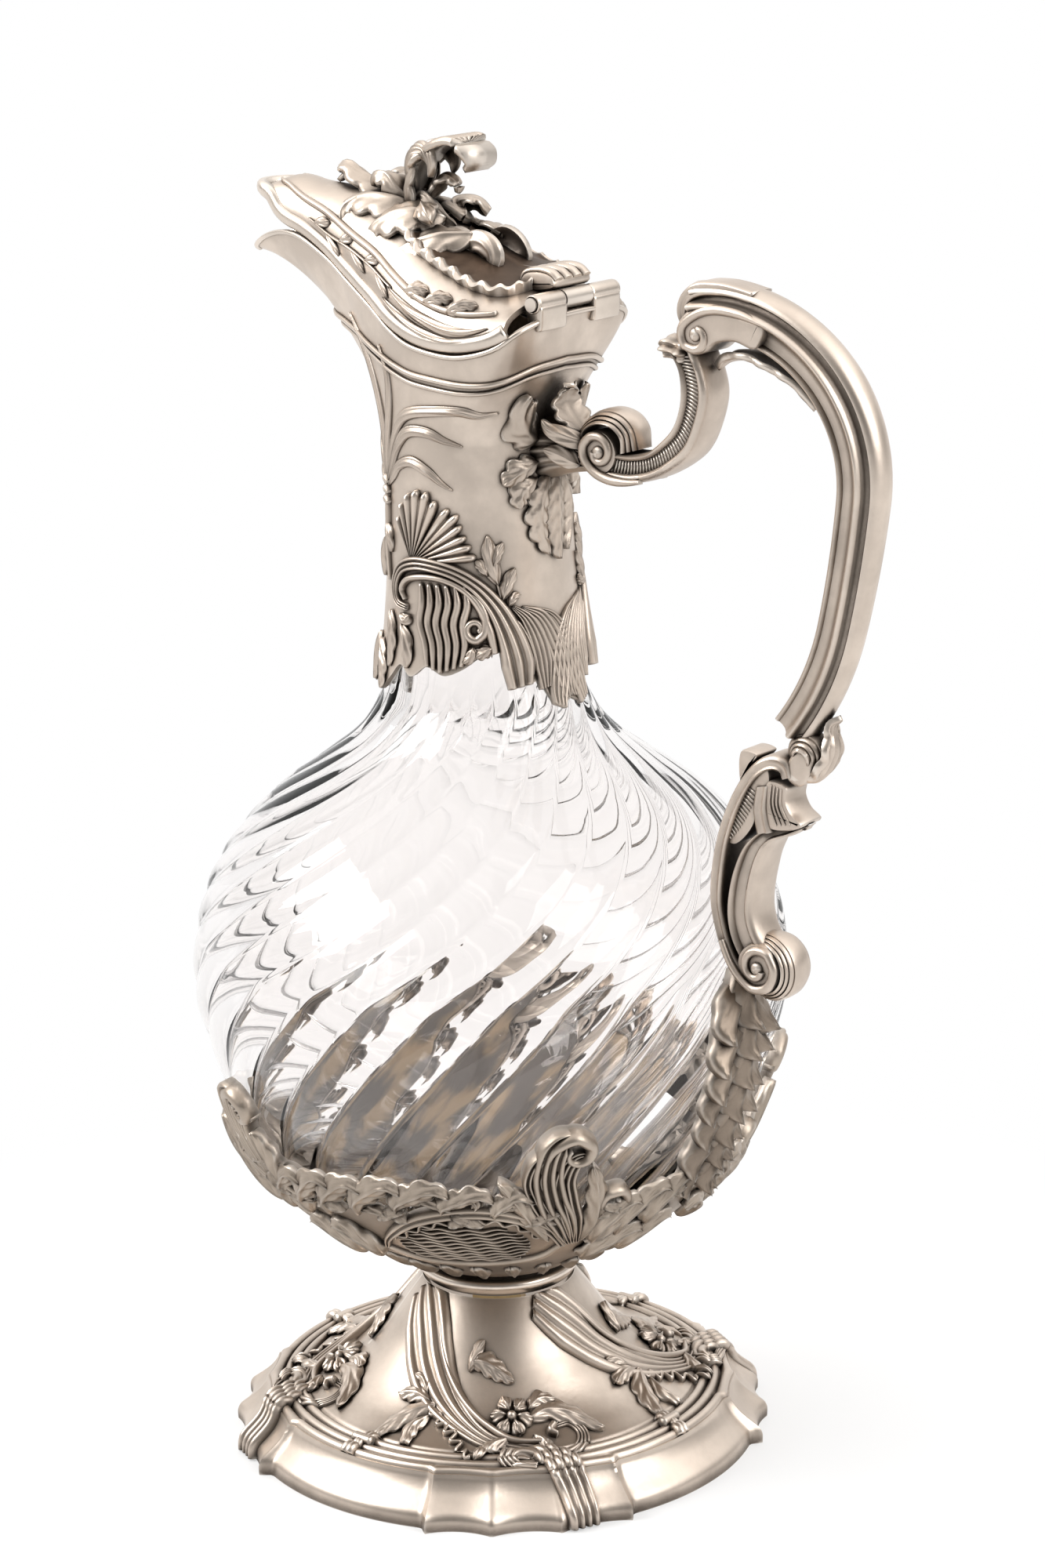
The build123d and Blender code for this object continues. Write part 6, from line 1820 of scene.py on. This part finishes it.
def calyx_cartouche(casting, middle, side):
    """An oval of wavy water lines under a heavy arched border with a frill."""
    low = calyx_level(64.0)
    spot = on_skin(calyx_skin, side * middle, low, side)

    def at(*points):
        return chart(calyx_skin, middle, low, [(middle + a, calyx_level(z)) for a, z in points])

    upper = at((-24, 58.6), (-21, 62.4), (-13, 68.6), (-5.5, 71.6), (3, 72.6), (11.5, 70.6), (18.5, 66.2),
        (23, 60.6))
    casting.strip(spot, upper, [0.6, 1.3, 1.8, 1.8, 1.8, 1.5, 0.8], ridged(2, 1.9, 0.5), 0.6, 60)
    lower = at((23, 60.6), (19, 57.0), (8, 55.0), (-4, 54.6), (-17, 55.6), (-24, 58.6))
    casting.strip(spot, lower, [0.6, 1.1, 1.2, 1.1, 0.6], rounded(1.3), 0.6, 50)
    edge = at((-19, 62.4), (-12, 66.6), (-5, 69.2), (3, 70.0), (10.5, 68.2), (16.5, 64.2))
    frill = waved(edge, 120, 0.75, 9)
    casting.strip(spot, frill, [0.35, 0.5, 0.5, 0.35], rounded(1.2), 0.6, 120)
    for k in range(10):
        z = 56.6 + 1.12 * k
        reach = 17.5 * math.sqrt(max(0.1, 1 - ((k - 3.4) / 7.4) ** 2))
        span = np.linspace(-reach - 1.5, reach - 2.5, 60)
        wave = np.sin(span * 0.95 + 0.9 * k) * 0.32
        line = at(*[(a, z + w) for a, w in zip(span, wave)])
        casting.strip(spot, line, [0.15, 0.42, 0.42, 0.42, 0.15], rounded(0.75), 0.5, 60)
    for line, width in (
            (at((4, 71.5), (9, 73.8), (15, 75.0)), 1.9),
            (at((0, 72.2), (-6, 74.2), (-11, 75.4)), 1.9),
            (at((12, 70.4), (17, 71.4), (21.5, 70.0)), 1.7),
            (at((-14, 68.8), (-20, 70.6), (-24.5, 70.4)), 1.8),
            (at((1, 72.4), (2.5, 74.8), (1.0, 77.0)), 1.5)):
        casting.leaf(spot, line, width, 3, 1.5, curl=0.6)


def calyx_plume(casting, middle, side, root=61.0, stand_out=1.0):
    """A tall acanthus plume that curls over at its tip, with a leaf and a curl beside it."""
    low = calyx_level(72.0)
    spot = on_skin(calyx_skin, side * middle, low, side)

    def at(*points):
        return chart(calyx_skin, middle, low, [(middle + a, calyx_level(max(z, root))) for a, z in points])

    for shift, width, high in ((0.0, 3.4, 2.4), (3.4, 2.6, 2.0), (-3.0, 2.2, 1.8)):
        line = at((4 + 0.4 * shift, 61), (0.5 + 0.6 * shift, 68), (-3 + 0.9 * shift, 75.5),
            (-4.2 + shift, 83 - 0.7 * abs(shift)), (-2.4 + shift, 89.6 - 1.3 * abs(shift)),
            (1.6 + shift, 91.0 - 1.6 * abs(shift)))
        form = strip_form(line, [0.8, 0.7 * width, width, width, width, 0.9 * width, 0.5],
            ridged(4, high * stand_out, 0.5), 2.1, 60)
        casting.lay(spot, form)
    tip = curled_line(at((-4.8, 84), (-3.4, 88.4), (0.6, 90.6), (3.6, 88.6)), at((1.0, 86.8))[0], -0.7, 0.4)
    casting.strip(spot, tip, [0.6, 1.4, 1.6, 1.3, 0.8], rounded(3.0 * stand_out), 2.0, 50)
    for line, width, lobes in (
            (at((6, 62), (7.5, 69), (6.6, 76), (4.6, 83)), 3.0, 4),
            (at((-2, 63), (-6.5, 69), (-10.5, 75.5), (-14, 80.6)), 2.6, 4),
            (at((8, 61), (13, 64.5), (17, 69.5)), 2.2, 3)):
        casting.leaf(spot, line, width, lobes, 1.9, curl=0.8, sunk=2.0)
    curl = curled_line(at((8, 60), (12.4, 65.6), (15.2, 70.4), (13, 74.4), (9.6, 74.4)),
        at((11.4, 71.8))[0], 0.8, 0.35)
    casting.strip(spot, curl, [0.6, 1.2, 1.3, 1.2, 0.8], rounded(2.0), 1.8, 60)


def calyx_foliage():
    """Acanthus leaves that curl over the edge of the cup, between the cartouches and the plumes."""
    casting = Casting()
    leaves = [(-107, 64, -99, 75.5, 3.0), (-99, 65, -90, 77, 3.4), (-91, 67, -82, 77.5, 3.6),
        (-82, 69, -73, 78.5, 3.6), (-72, 71, -63, 78.5, 3.4), (-62, 72, -54, 77.5, 3.0),
        (-51, 71, -46, 77, 2.6), (-27, 61, -20, 72, 3.2), (-21, 62, -13, 73.5, 3.4),
        (-13, 63, -6, 74.5, 3.2), (-26, 55, -15, 63, 2.8), (-15, 56, -6, 64, 2.8),
        (-118, 62, -126, 74, 3.2), (-127, 66, -136, 77, 3.4), (-140, 66, -148, 76, 3.2),
        (-151, 65, -160, 76, 3.2), (-165, 65, -173, 75, 3.2), (-84, 56, -92, 64, 2.6),
        (-92, 55, -101, 63, 2.6)]
    for side in (1, -1):
        for first, low, last, high, width in leaves:
            middle, level = (first + last) / 2, calyx_level(0.5 * (low + high))
            bend = 3.0 if last > first else -3.0
            line = chart(calyx_skin, middle, level,
                [(first, calyx_level(low)), (first + 0.15 * bend, calyx_level(low + 0.4 * (high - low))),
                (middle + bend * 0.1, calyx_level(low + 0.8 * (high - low))), (last, calyx_level(high)),
                (last + bend, calyx_level(high - 1.5))])
            casting.leaf(on_skin(calyx_skin, side * middle, level, side), line, width, 4, 2.2, 0.4,
                curl=1.0, sunk=1.6, cut=0.4)
    return finished("calyx_acanthus_border", casting, JUG, calyx_silver)


def calyx_ornament():
    """The cartouches, plumes and leaves of the calyx."""
    casting = Casting()
    for side in (1, -1):
        calyx_cartouche(casting, -57, side)
        calyx_cartouche(casting, -123, side)
    finished("calyx_water_cartouches", casting, JUG, calyx_silver, ["calyx_cartouches"])
    casting = Casting()
    for side in (1, -1):
        calyx_plume(casting, -36, side, stand_out=1.0 if side > 0 else 0.5)
        calyx_plume(casting, -112, side, 69.0, 0.7)
    finished("calyx_acanthus_plumes", casting, JUG, calyx_silver, ["calyx_plumes"])
    calyx_foliage()
    places = []
    for k in range(44):
        azimuth = -180 + 360 * (k + 0.5) / 44
        lean = 0.95 if k % 2 else -0.95
        spot = on_skin(calyx_skin, azimuth, calyx_level(calyx_edge_z - 3.0))
        places.append(stand(spot, 0, 0, lean + 0.3 * math.sin(3.1 * k),
            (5.4, 6.8 + 1.4 * math.sin(1.7 * k), 6.5), 0.1))
    copies("calyx_border_leaves", unit_leaf(3, 0.30, 0.85, 0.10), places, JUG,
        calyx_silver, 0.08)
    places = []
    for k in range(26):
        spot = on_skin(calyx_skin, 360 * k / 26 - 180, calyx_level(45.0))
        places.append(stand(spot, 0, 0, 0.25, (5.2, 9.5, 4.5), 0.0))
    copies("calyx_foot_leaves", unit_leaf(2, 0.30, 0.8, 0.05), places, JUG, calyx_silver,
        0.04)


calyx_ornament()

# Ornament on the foot: the same for each corner

foot_fall = np.minimum.accumulate(foot_line[:, 0] + 1e-4 * np.arange(len(foot_line))[::-1])


def foot_level(radius):
    """The level of the foot skin at a radius."""
    return np.interp(-np.asarray(radius, float), -foot_fall, foot_levels)


def on_foot(corner):
    """Lays forms drawn in plan, with the x axis towards a corner."""
    def mapping(form):
        azimuth = corner + np.degrees(np.arctan2(form[..., 1], form[..., 0]))
        level = foot_level(np.hypot(form[..., 0], form[..., 1]))
        return foot_skin.at(within_turn(azimuth), level, form[..., 2])
    return mapping


def polar(*points):
    """Points in plan from angles in degrees and radii."""
    return [(r * math.cos(math.radians(a)), r * math.sin(math.radians(a))) for a, r in points]


def foot_corner(casting, corner):
    """The strap, leaves, ribbon, flower and lined scroll of one corner."""
    spot = on_foot(corner)
    strap = polar((-70, 17.3), (-61, 19.4), (-49.5, 22.7), (-40, 26.7), (-29.8, 31.4), (-19.4, 36.4),
        (-10.3, 40.9), (-3.0, 43.2), (5, 44.8), (11.5, 46.0), (17.2, 44.4), (19.6, 40.6), (17.0, 37.6),
        (11.8, 37.9))
    casting.strip(spot, strap, [3.4, 4.7, 5.0, 4.8, 4.2, 3.4, 2.6, 2.1, 1.9, 1.8, 1.7, 1.5, 1.3, 1.0],
        ridged(4, 1.6, 0.3), 0.8, 130)
    edge = polar((-44, 20.2), (-36, 24.0), (-28, 28.0), (-19, 32.6), (-10, 37.4), (-2, 41.4), (8, 42.6))
    casting.strip(spot, edge, [0.5, 0.8, 0.9, 0.9, 0.7], rounded(1.9), 0.8, 60)
    curl = polar((11.5, 38.2), (9.8, 39.6), (11.6, 40.8))
    casting.strip(spot, curl, [1.0, 0.9, 0.6], rounded(2.2), 0.8, 16)
    for line, width, lobes in (
            (polar((3, 36.2), (11, 34.6), (19, 36.4), (26, 42.0)), 2.7, 4),
            (polar((4, 34), (9, 32.2), (15, 32.6)), 1.9, 3),
            (polar((-21, 25.6), (-15, 25.4), (-7, 26.6), (0, 28.7)), 2.0, 4),
            (polar((-20, 27), (-17, 23.8), (-13.6, 22.6)), 1.3, 2),
            (polar((-30, 33.4), (-36, 35.4), (-41, 39.4), (-44, 44.6)), 2.7, 4),
            (polar((-33, 33), (-40, 32.2), (-47, 33.2)), 2.0, 3),
            (polar((-31, 36), (-34.4, 40), (-33.6, 45.2)), 2.0, 3),
            (polar((-35, 31.8), (-39, 29.6), (-44, 29.0)), 1.6, 2),
            (polar((-3, 40.6), (-9, 43.4), (-13, 46.6)), 2.0, 3),
            (polar((4, 40.2), (7, 43), (8, 46.4)), 1.7, 3)):
        casting.leaf(spot, line, width, lobes, 1.6, curl=0.7)
    middle = polar((-33, 33.6), (-27, 36.6), (-21, 40.0), (-17.5, 43.6), (-14.0, 46.4))
    ribbon = waved(middle, 110, 1.0, 6)
    casting.strip(spot, ribbon, [0.4, 0.55, 0.4], rounded(1.3), 0.7, 110)
    centre = polar((-2.0, 35.4))[0]
    for k in range(6):
        turn = math.radians(60 * k + 20)
        heading = np.array([math.cos(turn), math.sin(turn)])
        line = [centre + heading * reach for reach in (0.9, 2.6, 4.6)]
        casting.leaf(spot, line, 1.7, 0, 1.9, 0.5, curl=0.5)
    casting.bead(spot, centre, 1.3, 2.8)
    # The lined scroll that runs over the rim
    over = on_skin(foot_skin, within_turn(corner), 0.0)
    hook = [(3.0, 50.5), (-1.5, 49.4), (-4.6, 47.6), (-2.0, 45.4), (4.0, 46.0), (8.5, 49.4), (10.6, 53.0)]
    places = [(corner + a, foot_level(radius)) for a, radius in hook]
    places += [(corner + a, level) for a, level in ((11.2, 5.0), (11.4, 2.6), (11.4, 0.5))]
    line = chart(foot_skin, corner, 0.0, places)
    widths = [0.8, 1.4, 1.9, 2.4, 3.0, 3.5, 3.6, 3.6, 3.6, 3.6]
    casting.strip(over, line, widths, ridged(4, 1.9, 0.5), 0.8, 90)
    tie = on_skin(foot_skin, within_turn(corner - 45), 0.0)
    for lean in (-0.7, 0.7):
        drawing = ((lean - 0.9, 51.6), (lean * 0.4, 47.6), (lean + 0.9, 43.9))
        line = [(x, foot_level(radius)) for x, radius in drawing]
        casting.strip(tie, line, [1.2, 0.9, 1.2], rounded(1.5), 0.7, 20)
    knot = [(x, foot_level(47.6)) for x in (-2.4, 2.4)]
    casting.strip(tie, knot, [0.8, 0.8], rounded(1.9), 0.6, 12)


def foot_ornament():
    """The four corners, each a piece of its own."""
    for name, corner in (("right", -45), ("back", 45), ("far", 135), ("left", -135)):
        casting = Casting()
        foot_corner(casting, corner)
        finished("foot_straps_" + name, casting, JUG, chased_silver)


foot_ornament()


def hinge_knuckles():
    """The two outer knuckles with their web on the mouth, and the domed heads of the pin."""
    casting = Casting()
    x0, z0 = hinge[0], hinge[2]
    outer, inner = node_box("hinge_bracket")[1][1], 4.5
    for side in (-1, 1):
        middle, half = side * (outer + inner) / 2, (outer - inner) / 2
        slab(casting, circle_line((x0, z0), 2.0, 0, 342, 20), half, 0.15, middle=middle)
        slab(casting, [(x0 - 1.9, z0 - 0.6), (x0 + 1.9, z0 - 0.4), (x0 + 2.1, z0 - 2.6),
            (x0 + 1.6, z0 - 5.4), (x0 - 0.6, z0 - 5.0), (x0 - 1.8, z0 - 2.4)], half, 0.3, middle=middle)
        casting.bead(on_side(side, outer), (x0, z0), 1.35, 0.75)
        ring = circle_line((x0, z0), 1.75, 0, 360, 30)
        casting.strip(on_side(side, outer), ring, [0.22, 0.22], rounded(0.4), 0.4, 40)
    return finished("hinge_knuckles", casting, JUG, bright_silver, ["hinge_bracket"], sharp=50)


hinge_knuckles()


# Floor, light and camera

view_azimuth, view_distance, view_height, view_target = 39.7, 800.0, 370.83, 150.0
photo_focal, photo_centre, photo_roll = 4896.2, (620.95, 992.62), 0.024
photo_width, photo_height = 1333, 2000
sensor_height = 36.0


def background_share(tree, seen, mirrored):
    """How much a ray shows the white background: from the camera, through glass or mirrored in metal."""
    share = combined(tree, "MAXIMUM", seen.outputs["Is Camera Ray"], seen.outputs["Is Transmission Ray"])
    return combined(tree, "MAXIMUM", share, mirrored)


def floor_and_backdrop():
    """White paper that keeps the shadow: it glows for those rays, less near the foot than further out."""
    floor = bpy.data.meshes.new("floor")
    floor.from_pydata([(-40, -40, 0), (40, -40, 0), (40, 40, 0), (-40, 40, 0)], [], [(0, 1, 2, 3)])
    piece = bpy.data.objects.new("floor", floor)
    bpy.context.scene.collection.objects.link(piece)
    made, tree, shader = new_material("white_paper")
    shader.inputs["Base Color"].default_value = (0.9, 0.9, 0.9, 1)
    shader.inputs["Roughness"].default_value = 0.9
    shader.inputs["Specular IOR Level"].default_value = 0.0
    glow = node(tree, "ShaderNodeEmission", {"Color": (1, 1, 1, 1), "Strength": 1.0})
    seen = node(tree, "ShaderNodeLightPath")
    share = background_share(tree, seen, seen.outputs["Is Glossy Ray"])
    place = node(tree, "ShaderNodeTexCoord").outputs["Object"]
    far = node(tree, "ShaderNodeVectorMath", links={0: place}, operation="LENGTH").outputs["Value"]
    share = combined(tree, "MULTIPLY", share, remapped(tree, far, 0.055, 0.22, 0.48, 1.0))
    blend = node(tree, "ShaderNodeMixShader", links={0: share, 1: shader.outputs[0], 2: glow.outputs[0]})
    tree.links.new(blend.outputs[0], tree.nodes["Material Output"].inputs["Surface"])
    floor.materials.append(made)


def studio_world():
    """A room that is dark low down and behind the camera, and a white background behind the jug."""
    world = bpy.data.worlds.new("studio")
    bpy.context.scene.world = world
    world.use_nodes = True
    tree = world.node_tree
    plain = tree.nodes["Background"]
    plain.inputs["Color"].default_value = (1, 0.985, 0.97, 1)
    heading = node(tree, "ShaderNodeTexCoord").outputs["Generated"]
    rise = node(tree, "ShaderNodeSeparateXYZ", links={0: heading}).outputs["Z"]
    towards = node(tree, "ShaderNodeVectorMath", links={0: heading}, operation="DOT_PRODUCT")
    a = math.radians(view_azimuth)
    towards.inputs[1].default_value = (math.sin(a), -math.cos(a), 0.1)
    lift = remapped(tree, rise, 0.0, 0.8, 0.20, 1.55)
    dim = remapped(tree, towards.outputs["Value"], 0.1, 0.85, 1.0, 0.20)
    tree.links.new(combined(tree, "MULTIPLY", lift, dim), plain.inputs["Strength"])
    white = node(tree, "ShaderNodeBackground", {"Color": (1, 1, 1, 1), "Strength": 1.0})
    through = remapped(tree, towards.outputs["Value"], -0.95, 0.0, 1.0, 0.70)
    seen = node(tree, "ShaderNodeLightPath")
    sight = combined(tree, "MAXIMUM", through, seen.outputs["Is Camera Ray"])
    tree.links.new(sight, white.inputs["Strength"])
    behind = remapped(tree, towards.outputs["Value"], -0.85, -0.25, 1.0, 0.0)
    mirrored = combined(tree, "MULTIPLY", seen.outputs["Is Glossy Ray"], behind)
    share = background_share(tree, seen, mirrored)
    blend = node(tree, "ShaderNodeMixShader", links={0: share, 1: plain.outputs[0], 2: white.outputs[0]})
    tree.links.new(blend.outputs[0], tree.nodes["World Output"].inputs["Surface"])


def soft_light(name, place, target, size, power):
    """A wide lamp aimed at a target."""
    lamp = bpy.data.lights.new(name, "AREA")
    lamp.shape, lamp.size, lamp.size_y, lamp.energy = "RECTANGLE", size[0], size[1], power
    piece = bpy.data.objects.new(name, lamp)
    piece.location = place
    piece.rotation_euler = (Vector(target) - Vector(place)).to_track_quat("-Z", "Y").to_euler()
    bpy.context.scene.collection.objects.link(piece)


def photo_camera():
    """The camera of the photo, with its shift and its roll."""
    camera = bpy.data.cameras.new("camera")
    camera.sensor_fit = "VERTICAL"
    camera.sensor_height = sensor_height
    camera.lens = photo_focal / photo_height * sensor_height
    camera.shift_x = (photo_width / 2 - photo_centre[0]) / photo_height
    camera.shift_y = (photo_centre[1] - photo_height / 2) / photo_height
    piece = bpy.data.objects.new("camera", camera)
    a = math.radians(view_azimuth)
    piece.location = Vector((math.sin(a) * view_distance, -math.cos(a) * view_distance, view_height)) * MM
    aim = Vector((0, 0, view_target * MM)) - piece.location
    aimed = Matrix.Translation(piece.location) @ aim.to_track_quat("-Z", "Y").to_matrix().to_4x4()
    piece.matrix_world = aimed @ Matrix.Rotation(-photo_roll, 4, "Z")
    bpy.context.scene.collection.objects.link(piece)
    bpy.context.scene.camera = piece


floor_and_backdrop()
studio_world()
soft_light("key", (-0.9, -0.9, 1.1), (0, 0, 0.15), (0.8, 0.8), 17)
soft_light("fill", (1.1, 0.1, 0.8), (0, 0, 0.15), (0.7, 1.0), 8)
photo_camera()

scene = bpy.context.scene
scene.view_settings.view_transform = "Standard"
